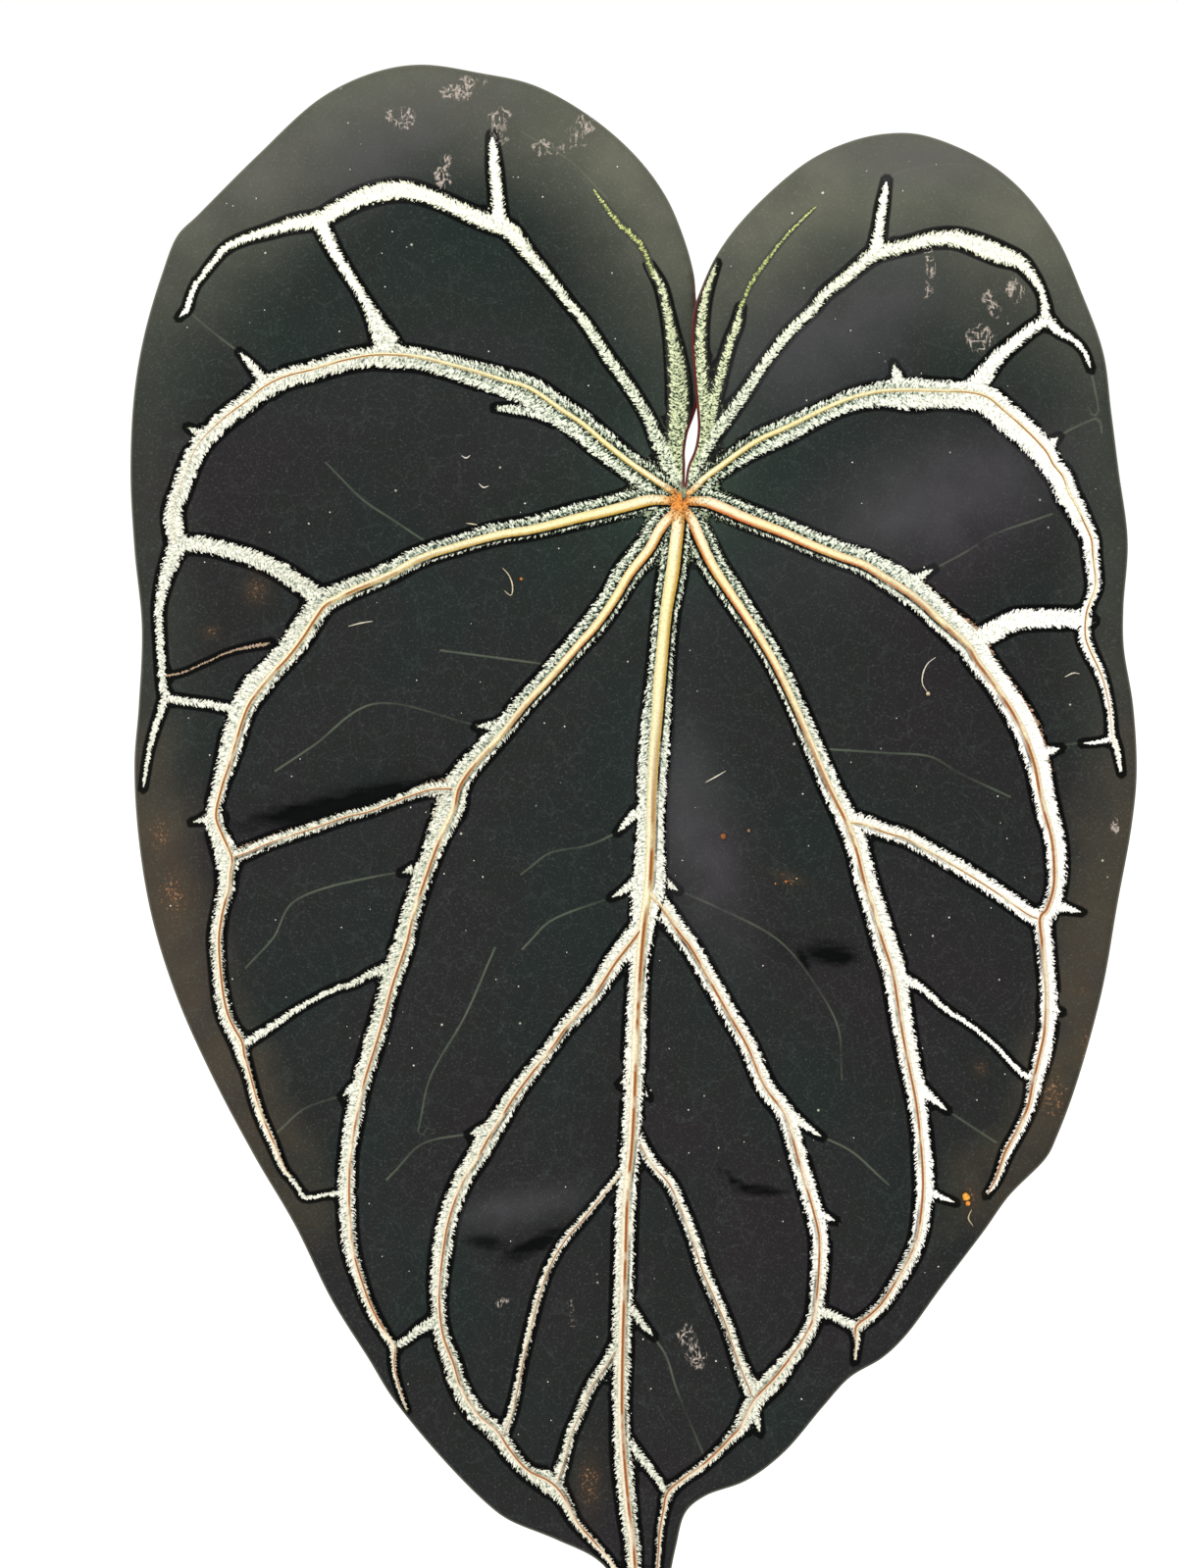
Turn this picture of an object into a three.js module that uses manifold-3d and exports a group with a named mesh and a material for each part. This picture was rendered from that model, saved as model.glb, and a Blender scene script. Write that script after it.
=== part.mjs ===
// A potted anthurium hybrid with one velvet leaf, in millimetres, +Z up.
// The origin is the centre of the flat base of the pot. The leaf faces -Y.
import * as THREE from 'three';
import { mergeVertices } from 'three/addons/utils/BufferGeometryUtils.js';
import Module from 'manifold-3d';

const wasm = await Module();
wasm.setup();

// Pot
const POT_HEIGHT = 140;
const POT_BASE_RADIUS = 60;
const POT_RIM_RADIUS = 84;
const POT_WALL = 2.5;
const POT_FLOOR = 3;
const POT_RIM_BAND = 21;
const POT_SIDES = 48;
const DRAIN_HOLES = 6;
const DRAIN_RADIUS = 5;
const DRAIN_CIRCLE_RADIUS = 36;

// Potting mix
const CLEARANCE = 0.35;
const MIX_TOP = 121;
const MIX_CROWN = 4;
const CHIP_COUNT = 28;
const CHIP_SPREAD = 65;
const CHIP_LENGTH = [15, 26];
const CHIP_WIDTH = [9, 16];
const CHIP_THICKNESS = [6, 9];

// Stem with its aerial roots
const STEM_FOOT = new THREE.Vector3(2, 2, 78);
const STEM_TOP = new THREE.Vector3(-7, 3, 170);
const STEM_RADIUS = 9.5;
const STEM_SIDES = 14;
const ROOT_RADIUS = 2.4;
const ROOT_DEPTH = 16;
const ROOT_SIDES = 6;
const ROOTS = [
  { bearing: 20, start: 138, reach: 37 },
  { bearing: 95, start: 131, reach: 30 },
  { bearing: 150, start: 144, reach: 45 },
  { bearing: 215, start: 136, reach: 33 },
  { bearing: 262, start: 143, reach: 41 },
  { bearing: 318, start: 133, reach: 34 },
];

// Dry sheath leaves round the top of the stem
const SHEATH_LEAN = 6;
const SHEATH_THICKNESS = 0.8;
const SHEATHS = [
  { bearing: 215, foot: 150, height: 50, spread: 86 },
  { bearing: 35, foot: 153, height: 33, spread: 74 },
];

// Leaf: the blade hangs from the joint of its petiole, and its face is tilted up a little
const JOINT = new THREE.Vector3(0, -100, 560);
const FACE_TILT = THREE.MathUtils.degToRad(10);
const BLADE_THICKNESS = 0.9;
const RIB_DEPTH = 2.4;
const RIB_DEPTH_END = 0.5;
const RIB_SHARE_OF_BAND = 0.45;
const PETIOLE_FOOT_RADIUS = 5;
const PETIOLE_RADIUS = 3.5;
const GENICULUM_RADIUS = 4.4;
const GENICULUM_LENGTH = 24;
const PETIOLE_SIDES = 12;

// Form of the blade: heights, and the distances over which they build up or fade
const FOLD = { height: 2, width: 18 };
const ARCH = { depth: 14, halfWidth: 130 };
const TIP_CURL = { depth: 17, start: 120, length: 175 };
const LOBE_CURL = { depth: 9, length: 111 };
const SWELL = { height: 2.2, width: 9, marginFade: 12 };
const WAVES = [
  { height: 1.8, count: 9, phase: 0.6 },
  { height: 1.2, count: 14, phase: 2 },
];
const WAVE_CENTRE = -60;
const WAVE_DEPTH = 26;
const LOBE_OVERLAP = { across: 4, fade: 14, from: 10, full: 22, easing: 56, gone: 80 };
const LOBE_LIFT = { right: 2.4, left: -1.4 };

// Raised vein net
const NET_GAP = 0.3;
const NET_SEAT = 0.5;
const NET_EDGE = 0.65;
const NET_CREST = 0.75;
const NET_THINNEST = 1;
const NET_FLAT_BELOW = 2.4;
const RAISED_FACE_DEPTH = 2.5;
const HUB_RADIUS = 5;
const HUB_HEIGHT = 2.1;

// Spacing of the points on the blade
const MARGIN_STEP = 8;
const VEIN_STEP = 10;
const BAND_STEP = 11;
const PANEL_STEP = 11.5;
const PANEL_CLEARANCE = 6.2;

// Finishes
const VELVET = { color: 0x2b2f2d, roughness: 0.85, metalness: 0 };
const SILVER_NET = { color: 0xd2d8c6, roughness: 0.6, metalness: 0 };
const PETIOLE_SKIN = { color: 0x76804a, roughness: 0.5, metalness: 0 };
const STEM_BARK = { color: 0x6d6a44, roughness: 0.8, metalness: 0 };
const DRY_SHEATH = { color: 0x9a7444, roughness: 0.85, metalness: 0 };
const BARK_MIX = { color: 0x5b3d28, roughness: 0.95, metalness: 0 };
const POT_PLASTIC = { color: 0x35373a, roughness: 0.6, metalness: 0 };

// The margins of the blade, as [across, down] from the petiole joint. Each starts in the sinus
// between the basal lobes and ends at the drip tip.
const LEFT_MARGIN = [
  [1.3, -4.5], [1.4, -10], [1.3, -12.5], [2.1, -17.6], [3.75, -22.2], [5.6, -29], [6, -36],
  [5.6, -44], [4.3, -50.5], [3.6, -58], [0.8, -68], [-3.6, -78], [-11, -88], [-22.4, -98],
  [-37, -106.2], [-51, -109.4], [-66, -111.5], [-78, -109.5], [-91.5, -103], [-108, -88],
  [-123, -73], [-128, -68], [-132, -58], [-136.4, -43], [-139, -28], [-140, -8], [-139, 12],
  [-137.1, 32], [-137.9, 52], [-139, 67], [-137.8, 87], [-134.3, 107], [-127.9, 127],
  [-118.9, 147], [-108.3, 167], [-98.2, 184.2], [-88.7, 203.5], [-79, 219], [-73.4, 228.2],
  [-60, 244.5], [-48.5, 256], [-43.7, 259.5], [-31.2, 264.7], [-20.7, 270], [-14.5, 278.2],
  [-11.7, 287], [-10.2, 294.5],
];
const RIGHT_MARGIN = [
  [1.3, -4.5], [2, -9], [3.8, -13.5], [4.6, -18.6], [4.4, -23], [3.9, -28.2], [3.4, -34.7],
  [3, -41], [3.5, -48.7], [4.9, -53], [9.4, -62.9], [17, -73], [31.7, -86.2], [41.7, -91.3],
  [51.7, -93.8], [61.7, -93.6], [76.7, -87.6], [86.7, -80], [96, -67.7], [102.6, -53],
  [108, -38], [110, -23], [111.9, -8], [114.2, 10], [113.1, 27], [113.2, 37], [115.6, 52],
  [116.5, 69], [115.3, 82], [111.6, 102.5], [107.7, 124.5], [101.1, 148.5], [96.2, 161.7],
  [93.6, 167], [83.9, 177], [77.7, 185.7], [66.5, 200.5], [57.5, 212.7], [51.7, 218.2],
  [43.4, 223.2], [36.6, 230.6], [26.5, 242.4], [17, 249.5], [6.4, 253.5], [1.6, 257.5],
  [-1, 266.6], [-4.2, 282], [-7.2, 290.7], [-10.2, 294.5],
];

// The veins, as [across, down, width of the silver band] from the petiole joint.
const MIDRIB = [
  [0, 0, 5], [-0.25, 4, 6], [-1.8, 18, 6.7], [-3.5, 28.2, 6], [-5.4, 48.7, 6.5],
  [-6.6, 64.2, 7.7], [-7.3, 81.5, 7], [-8, 97.7, 9], [-9.4, 108, 6.2], [-10.3, 118.2, 5],
  [-11.5, 142.5, 5.5], [-12.6, 165.5, 5], [-13.8, 180, 5.2], [-14.8, 214, 5], [-15, 233, 4.2],
  [-14.5, 242.7, 4.8], [-13.1, 258, 4.4], [-11.7, 271.5, 3.6], [-10.7, 282, 2.4],
  [-10.2, 290, 1.2],
];
const PRIMARY_VEINS = {
  left: [
    [[-1, -2, 3], [-8.2, -6.2, 6], [-19.7, -14.7, 7], [-30.7, -23, 7.2], [-39, -28.5, 7],
      [-51.8, -32.5, 6.2], [-67, -36.5, 5.5], [-78.2, -37, 5.2], [-93.2, -33.5, 5],
      [-105.7, -29, 5.2], [-117.7, -20, 5], [-125, -9.2, 4.9], [-129, 2, 4.8], [-128, 10.7, 5]],
    [[-1, -0.5, 3], [-7, -1, 5], [-19.7, 2, 6], [-32.6, 5.2, 6], [-45.5, 7.7, 6],
      [-58.2, 11.2, 6], [-73.2, 17.5, 6], [-91.2, 25.7, 7], [-97, 34, 7.5], [-107.7, 46.7, 7.4],
      [-114, 60.7, 6], [-117.2, 72, 4.2], [-118.9, 80.2, 4], [-116, 88.7, 6], [-115.7, 99, 4.2],
      [-118, 112, 3.4], [-116.7, 127, 3.4], [-112.2, 138, 4], [-109, 150.2, 2.3],
      [-103.7, 163.7, 2], [-99.2, 172.2, 1.2]],
    [[-1, 2, 4], [-5.7, 7, 6], [-13.4, 18, 6.5], [-22.2, 31.5, 6], [-33.2, 44.2, 5.2],
      [-46, 59, 5], [-57.5, 73.2, 6], [-60.5, 82.2, 6.5], [-66.2, 97.7, 5], [-70.2, 111.7, 5.2],
      [-76.2, 131.5, 5], [-82, 152, 4.5], [-84.9, 172.7, 4.2], [-84, 190, 3.6],
      [-78.6, 206.2, 2.5], [-73, 215.5, 1.9], [-72, 224.5, 1]],
    [[-10.5, 109.2, 6], [-16.5, 117, 5.2], [-25.5, 129.7, 4], [-35.7, 143.2, 3.8],
      [-49.2, 162.2, 5.2], [-57.1, 176.7, 5], [-61.5, 198.7, 4.6], [-61.5, 206.2, 4],
      [-58, 219.7, 4.4], [-52.2, 232.2, 4.5], [-43.7, 241.7, 4.2], [-33.2, 250.2, 5],
      [-26.5, 260, 2.4], [-17, 271.2, 1.5], [-14.2, 276, 1]],
    [[0.3, -5, 4], [-2.5, -11, 5], [-8.2, -21.7, 3], [-16, -34, 2.7], [-26.2, -48, 2.3],
      [-37, -61.5, 3], [-44.7, -70.2, 4.2], [-60.7, -76.7, 4.1], [-73.2, -79.5, 4.8],
      [-87, -74.7, 4.4], [-98.2, -71, 3.7], [-110.7, -67.2, 2], [-119.5, -60.5, 1.5],
      [-123.2, -55.5, 1.2]],
  ],
  right: [
    [[1, -1.5, 3], [6.5, -5.7, 4], [16, -12.5, 5], [26.7, -18, 6], [41.7, -25.2, 5.2],
      [51.7, -27.5, 6.2], [66.7, -27.5, 6.8], [78, -26, 7.2], [86.7, -18.7, 7.2],
      [94.7, -9.2, 6], [98.5, -2.2, 6], [104.5, 9.5, 4], [105.7, 21.5, 3.2], [103.5, 29.2, 3],
      [104.5, 38.2, 3], [109, 49.2, 1.8], [110.2, 59.5, 1.8], [112.2, 67, 1]],
    [[1, -0.5, 3], [6.5, -0.5, 5], [16, 3.2, 6], [31.5, 9.7, 6], [47.5, 15.5, 6.5],
      [57.7, 21.6, 7.3], [66.6, 29.2, 7.2], [74.6, 36.2, 8], [79.5, 44, 6.4], [88.5, 58.2, 7],
      [92.5, 73, 5.8], [96, 89, 5], [95.2, 101, 4.4], [92.8, 107, 4.8], [93.7, 120, 4.2],
      [93.6, 135, 4.2], [90.5, 148.5, 3.6], [86.2, 160.7, 2.5], [80.5, 173.2, 1.4]],
    [[1.5, 2, 4], [5.7, 10.2, 6], [13.5, 23.7, 6], [23.7, 39.7, 5], [34, 62.2, 4.9],
      [43, 81.7, 5.6], [50, 104.5, 5.8], [54.7, 119.7, 6.1], [59, 144.5, 5.2], [61.5, 160, 4.4],
      [62.2, 173.2, 4.6], [60.7, 188.2, 3.8], [54.7, 200, 3.4], [45.2, 210.5, 3],
      [44.9, 217, 1.1]],
    [[-7.7, 99.5, 6], [0, 109.7, 4.8], [9.7, 125.2, 4.4], [19.2, 143.2, 4.4], [27, 156, 4.4],
      [32.2, 173.7, 4.5], [35.7, 187.2, 4.4], [35.2, 201.5, 4], [28, 218.7, 4.2],
      [19, 229.2, 5], [10.7, 241.2, 2.8], [0.2, 249.7, 2.1], [-3.5, 254.5, 2.4],
      [-5.2, 266, 1.4], [-6.1, 275, 1]],
    [[2, -5.5, 3], [6.5, -13, 4], [12.2, -21.7, 3], [21.2, -34.7, 2.6], [30.7, -46.7, 2.5],
      [41.7, -56.7, 3], [50.5, -63.4, 3.6], [64.2, -67, 3.8], [76.7, -65.2, 4.8],
      [86.7, -61.2, 3.6], [91, -56, 2.1], [93.7, -46, 2.4]],
  ],
};
const BRANCH_VEINS = {
  left: [
    [[-128, 10.7, 5], [-131.2, 19.5, 3.3], [-132.6, 30, 2.1], [-131.2, 49.7, 2.2],
      [-134, 58.2, 1.5], [-136, 68, 1]],
    [[-128, 10.7, 4], [-114.5, 12.5, 4.2], [-100.7, 18.2, 4.6], [-91.2, 24.5, 5]],
    [[-131.2, 50, 2], [-119.5, 51.7, 2], [-112.5, 53.2, 2.4]],
    [[-58, 72.7, 5], [-68.2, 74.5, 3], [-79.2, 78.7, 2.5], [-98.2, 84.5, 3], [-115, 90.7, 3.5]],
    [[-74.2, 118.7, 3.2], [-83, 122.7, 1.5], [-97, 129, 1.4], [-111.2, 138.2, 2.6]],
    [[-99.2, 172.2, 1.2], [-95.7, 177, 1.1], [-84.9, 176.2, 1.8]],
    [[-73, 215.5, 1.9], [-69.5, 213.5, 2], [-61.5, 208.5, 3.4]],
    [[-46, -71.2, 3], [-46.6, -79, 2.4], [-47.7, -92.5, 1]],
    [[-92, -72.5, 4], [-88.2, -64.2, 3.2], [-82, -54.2, 2.6], [-77, -45, 4], [-73.5, -37.5, 6]],
    [[1, -7, 3], [0.4, -18, 3], [0, -28, 3.6], [-2.1, -43, 2.2], [-5, -55.5, 1.7],
      [-8.5, -63.5, 1]],
    [[-13, 168.5, 2.5], [-19.7, 176.7, 1.6], [-29.4, 188.2, 2], [-36, 202.5, 2],
      [-41.7, 227.2, 1.9], [-45.2, 238, 2.4]],
    [[-14.8, 214, 4], [-22.7, 225.5, 2.8], [-28, 238, 2.6], [-31.5, 250, 3]],
    [[-104.5, -29, 4], [-108.5, -34, 2.2], [-112, -38, 1]],
    [[-45.5, 57, 3], [-51.5, 57.2, 1.2]],
  ],
  right: [
    [[74.5, 36.2, 5], [85.5, 30.2, 5.2], [103.5, 29.8, 4.6]],
    [[110.2, 60.2, 1.4], [103, 61.5, 1]],
    [[74.2, -28.5, 5], [81.7, -37.5, 3.6], [93.7, -46, 3], [100.5, -41.2, 1.4], [104, -36, 1]],
    [[50, -63.4, 3], [51.7, -75.5, 1.8], [52.7, -81.2, 1]],
    [[3, -8, 2], [6, -18, 2], [5.5, -28.2, 2.2], [4.9, -41, 2], [6.5, -53, 1.8], [9.2, -60.5, 1]],
    [[4.5, -10, 2.5], [8.7, -26.2, 2.2], [12.9, -41, 2], [15.5, -49.5, 1.2]],
    [[43, 81, 5], [57.7, 85.5, 4], [72.5, 93.9, 4], [92.7, 106.3, 4.2]],
    [[57, 122, 3], [67.7, 129.2, 1.4], [81, 139.2, 1], [91, 147.5, 2]],
    [[57, 21, 4], [64.5, 17.2, 1]],
    [[95, 102, 4], [102.2, 104.5, 1]],
    [[60.5, 149, 4], [68, 155, 1]],
    [[62, 174.5, 3], [70, 178.5, 1]],
    [[28, 156, 3.4], [36, 161.7, 1]],
    [[-10, 162, 3], [-2.5, 173.7, 2.8], [6, 195.7, 3], [12.2, 210.2, 2.8], [19, 228, 4]],
    [[35, 206.4, 3], [45.2, 210.5, 2.8]],
    [[-14.2, 238, 3], [-9.2, 244.5, 2.4], [-3.4, 253, 2]],
    [[-14.2, 203, 3], [-6.9, 212.5, 1]],
    [[19, 230, 3], [20.4, 237, 1]],
  ],
};

// Repeatable random numbers, so that every build lays the bark chips alike
function seededRandom(seed) {
  let state = seed;
  return () => {
    state = (state * 1664525 + 1013904223) % 4294967296;
    return state / 4294967296;
  };
}

const { smoothstep, lerp, degToRad } = THREE.MathUtils;

// A route's points [across, down, width], evenly spaced along a smooth curve through them
function sampleRoute(route, step) {
  const corners = route.map(([across, down, width = 0]) => new THREE.Vector3(across, -down, width));
  const curve = new THREE.CatmullRomCurve3(corners, false, 'centripetal');
  const pieces = Math.max(2, Math.round(curve.getLength() / step));
  return curve.getSpacedPoints(pieces);
}

// A closed surface from positions and triangles, turned to face out
function closedGeometry(positions, triangles) {
  let volume = 0;
  for (const [a, b, c] of triangles) {
    volume += positions[a].dot(new THREE.Vector3().crossVectors(positions[b], positions[c]));
  }
  const outward = volume < 0 ? triangles.map(([a, b, c]) => [a, c, b]) : triangles;
  const geometry = new THREE.BufferGeometry().setFromPoints(positions);
  geometry.setIndex(outward.flat());
  return geometry;
}

// A closed skin over rings of equally many points, with a fan over each end
function loft(rings) {
  const sides = rings[0].length;
  const positions = rings.flat();
  const triangles = [];
  for (let ring = 0; ring + 1 < rings.length; ring += 1) {
    for (let side = 0; side < sides; side += 1) {
      const a = ring * sides + side;
      const b = ring * sides + ((side + 1) % sides);
      triangles.push([a, b, b + sides], [a, b + sides, a + sides]);
    }
  }
  const lastStart = (rings.length - 1) * sides;
  for (let side = 1; side + 1 < sides; side += 1) {
    triangles.push([0, side + 1, side]);
    triangles.push([lastStart, lastStart + side, lastStart + side + 1]);
  }
  return closedGeometry(positions, triangles);
}

// A round tube along a curve, whose radius follows radiusAt(distance, length)
function taperedTube(curve, radiusAt, steps, sides) {
  const length = curve.getLength();
  const frames = curve.computeFrenetFrames(steps, false);
  const rings = [];
  for (let step = 0; step <= steps; step += 1) {
    const centre = curve.getPointAt(step / steps);
    const radius = radiusAt((length * step) / steps, length);
    const ring = [];
    for (let side = 0; side < sides; side += 1) {
      const angle = (2 * Math.PI * side) / sides;
      ring.push(centre.clone()
        .addScaledVector(frames.normals[step], radius * Math.cos(angle))
        .addScaledVector(frames.binormals[step], radius * Math.sin(angle)));
    }
    rings.push(ring);
  }
  return loft(rings);
}

// Welds a geometry's corners by position and drops the triangles that this closes up
function weld(geometry) {
  geometry.deleteAttribute('normal');
  geometry.deleteAttribute('uv');
  const welded = mergeVertices(geometry, 1e-4);
  const corners = welded.index.array;
  const kept = [];
  for (let i = 0; i < corners.length; i += 3) {
    const [a, b, c] = [corners[i], corners[i + 1], corners[i + 2]];
    if (a !== b && b !== c && c !== a) kept.push(a, b, c);
  }
  welded.setIndex(kept);
  return welded;
}

function toSolid(geometry) {
  const welded = weld(geometry);
  return new wasm.Manifold(new wasm.Mesh({
    numProp: 3,
    vertProperties: new Float32Array(welded.attributes.position.array),
    triVerts: new Uint32Array(welded.index.array),
  }));
}

function toGeometry(solid) {
  const mesh = solid.getMesh();
  const geometry = new THREE.BufferGeometry();
  geometry.setAttribute('position', new THREE.BufferAttribute(mesh.vertProperties, 3));
  geometry.setIndex(new THREE.BufferAttribute(mesh.triVerts, 1));
  return geometry;
}

function joinAll(solids) {
  return solids.reduce((joined, solid) => joined.add(solid));
}

function makeMesh(name, geometry, finish) {
  const mesh = new THREE.Mesh(geometry, new THREE.MeshStandardMaterial(finish));
  mesh.name = name;
  return mesh;
}

function turned(profile, sides) {
  const outline = profile.map(([radius, height]) => new THREE.Vector2(radius, height));
  return weld(new THREE.LatheGeometry(outline, sides).rotateX(Math.PI / 2));
}

// Blade surface

function nearest(point, samples) {
  let best = { distance: Infinity, index: 0 };
  samples.forEach((sample, index) => {
    const distance = Math.hypot(point.x - sample.x, point.y - sample.y);
    if (distance < best.distance) best = { distance, index };
  });
  return best;
}

const FINE_STEP = 2.5;
const fineMidrib = sampleRoute(MIDRIB, FINE_STEP);

// Everything that one half of the blade is measured against
function surveyHalf(side, margin) {
  const ribs = [fineMidrib, ...PRIMARY_VEINS[side].map((route) => sampleRoute(route, FINE_STEP))];
  const branches = BRANCH_VEINS[side].map((route) => sampleRoute(route, FINE_STEP));
  return {
    side,
    margin: sampleRoute(margin, FINE_STEP),
    ribs,
    veins: [...ribs, ...branches].flat(),
  };
}

// Height of the upper face above the plane of the blade, towards the viewer. The blade arches
// back to its margins and its tip, swells between the veins and waves along the margin, and
// the right lobe lies over the left one at the sinus.
function faceHeight(point, half) {
  const { x: across, y: up } = point;
  const fold = FOLD.height * (1 - Math.exp(-Math.abs(across) / FOLD.width));
  const arch = -ARCH.depth * (across / ARCH.halfWidth) ** 2;
  const tipCurl = -TIP_CURL.depth * Math.max(0, (-up - TIP_CURL.start) / TIP_CURL.length) ** 2;
  const lobeCurl = -LOBE_CURL.depth * Math.max(0, up / LOBE_CURL.length) ** 2;
  const toMargin = nearest(point, half.margin).distance;
  const toVein = nearest(point, half.veins).distance;
  const swell = SWELL.height * (1 - Math.exp(-((toVein / SWELL.width) ** 2)))
    * smoothstep(toMargin, 0, SWELL.marginFade);
  const bearing = Math.atan2(across, up - WAVE_CENTRE);
  const ripple = WAVES.reduce(
    (sum, { height, count, phase }) => sum + height * Math.sin(count * bearing + phase),
    0,
  );
  const wave = ripple * (1 - smoothstep(toMargin, 0, WAVE_DEPTH)) * smoothstep(Math.abs(across), 10, 50);
  const { from, full, easing, gone } = LOBE_OVERLAP;
  const overlap = smoothstep(up, from, full) * (1 - smoothstep(up, easing, gone));
  const lift = LOBE_LIFT[half.side] * overlap
    * Math.exp(-Math.abs(across - LOBE_OVERLAP.across) / LOBE_OVERLAP.fade);
  return fold + arch + tipCurl + lobeCurl + swell + wave + lift;
}

// Thickness of the blade, with the main ribs standing out of its back
function bladeThickness(point, half) {
  let rib = 0;
  for (const samples of half.ribs) {
    const { distance, index } = nearest(point, samples);
    const halfWidth = Math.max(samples[index].z, 2) * RIB_SHARE_OF_BAND;
    const depth = lerp(RIB_DEPTH, RIB_DEPTH_END, index / samples.length);
    rib = Math.max(rib, depth * (1 - distance / halfWidth));
  }
  return BLADE_THICKNESS + rib;
}

// Triangulation of the blade

const FAR = 5000;

function signedArea(a, b, c) {
  return ((b.x - a.x) * (c.y - a.y) - (c.x - a.x) * (b.y - a.y)) / 2;
}

function circleThrough(a, b, c) {
  const scale = 4 * signedArea(a, b, c);
  const [aa, bb, cc] = [a, b, c].map((p) => p.x ** 2 + p.y ** 2);
  const x = (aa * (b.y - c.y) + bb * (c.y - a.y) + cc * (a.y - b.y)) / scale;
  const y = (aa * (c.x - b.x) + bb * (a.x - c.x) + cc * (b.x - a.x)) / scale;
  return { x, y, radius: Math.hypot(a.x - x, a.y - y) };
}

// Delaunay triangulation by adding one point at a time, counter-clockwise triangles
function triangulate(points) {
  const count = points.length;
  const corners = [...points];
  corners.push(new THREE.Vector2(-FAR, -FAR), new THREE.Vector2(FAR, -FAR), new THREE.Vector2(0, FAR));
  const makeTriangle = (a, b, c) => ({
    corners: [a, b, c],
    circle: circleThrough(corners[a], corners[b], corners[c]),
  });
  let triangles = [makeTriangle(count, count + 1, count + 2)];
  for (let added = 0; added < count; added += 1) {
    const point = corners[added];
    const holeEdges = new Map();
    const kept = [];
    for (const triangle of triangles) {
      const { x, y, radius } = triangle.circle;
      if (Math.hypot(point.x - x, point.y - y) >= radius) {
        kept.push(triangle);
        continue;
      }
      const [a, b, c] = triangle.corners;
      for (const [from, to] of [[a, b], [b, c], [c, a]]) {
        if (!holeEdges.delete(`${to} ${from}`)) holeEdges.set(`${from} ${to}`, [from, to]);
      }
    }
    for (const [from, to] of holeEdges.values()) kept.push(makeTriangle(from, to, added));
    triangles = kept;
  }
  return triangles.map((triangle) => triangle.corners)
    .filter((triangle) => triangle.every((corner) => corner < count));
}

function isInside(point, outline) {
  let inside = false;
  outline.forEach((a, i) => {
    const b = outline[(i + 1) % outline.length];
    const crosses = a.y > point.y !== b.y > point.y
      && point.x < ((b.x - a.x) * (point.y - a.y)) / (b.y - a.y) + a.x;
    if (crosses) inside = !inside;
  });
  return inside;
}

// The points of one half of the blade: its outline, then its ribs, branches and panels
function scatterPoints(half, seam, margin) {
  const outline = [...seam, ...margin.slice(1, -1).reverse()];
  const points = [...outline];
  const add = (point, clearance) => {
    const clear = nearest(point, points).distance > clearance;
    if (clear && isInside(point, outline)) points.push(point);
  };
  const ribCrests = PRIMARY_VEINS[half.side].map((route) => sampleRoute(route, VEIN_STEP));
  for (const crest of ribCrests.flat()) {
    if (nearest(crest, fineMidrib).distance > 2.6) add(crest, 2.6);
  }
  for (const crests of [sampleRoute(MIDRIB, MARGIN_STEP), ...ribCrests]) {
    for (let i = 1; i + 1 < crests.length; i += 1) {
      const along = crests[i + 1].clone().sub(crests[i - 1]).setZ(0).normalize();
      const rail = Math.max(crests[i].z * RIB_SHARE_OF_BAND, 1.6);
      for (const way of [rail, -rail]) {
        const point = new THREE.Vector3(crests[i].x - along.y * way, crests[i].y + along.x * way, 0);
        if (nearest(point, fineMidrib).distance > 1.4) add(point, 1.5);
      }
    }
  }
  for (const route of BRANCH_VEINS[half.side]) {
    for (const crest of sampleRoute(route, VEIN_STEP)) add(crest, 4);
  }
  const rowStep = PANEL_STEP * Math.sin(Math.PI / 3);
  for (let row = -40; row <= 40; row += 1) {
    for (let column = -20; column <= 20; column += 1) {
      const across = (column + (row % 2) / 2) * PANEL_STEP;
      add(new THREE.Vector3(across, row * rowStep, 0), PANEL_CLEARANCE);
    }
  }
  return { points, outline };
}

// One half of the blade as flat triangles, with the height and thickness at every point
function meshHalf(half, seam, margin) {
  const { points, outline } = scatterPoints(half, seam, margin);
  const random = seededRandom(7);
  const nudged = points.map((p) => new THREE.Vector2(p.x + random() * 0.01, p.y + random() * 0.01));
  const nudgedOutline = nudged.slice(0, outline.length);
  const triangles = triangulate(nudged).filter(([a, b, c]) => {
    const middle = nudged[a].clone().add(nudged[b]).add(nudged[c]).divideScalar(3);
    return isInside(middle, nudgedOutline);
  });
  const heights = points.map((point) => faceHeight(point, half));
  const thickness = points.map((point) => bladeThickness(point, half));
  return { points, triangles, heights, thickness };
}

function heightOn(sheet, point) {
  for (const [a, b, c] of sheet.triangles) {
    const [pa, pb, pc] = [sheet.points[a], sheet.points[b], sheet.points[c]];
    const whole = signedArea(pa, pb, pc);
    const shareA = signedArea(point, pb, pc) / whole;
    const shareB = signedArea(pa, point, pc) / whole;
    const shareC = 1 - shareA - shareB;
    if (Math.min(shareA, shareB, shareC) >= -1e-6) {
      return shareA * sheet.heights[a] + shareB * sheet.heights[b] + shareC * sheet.heights[c];
    }
  }
  return sheet.heights[nearest(point, sheet.points).index];
}

// Joins the two halves along the seam that they share
function joinHalves(left, right, seamCount) {
  const renumber = (corner) => (corner < seamCount ? corner : corner - seamCount + left.points.length);
  return {
    points: [...left.points, ...right.points.slice(seamCount)],
    heights: [...left.heights, ...right.heights.slice(seamCount)],
    thickness: [...left.thickness, ...right.thickness.slice(seamCount)],
    triangles: [...left.triangles, ...right.triangles.map((corners) => corners.map(renumber))],
  };
}

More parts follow.
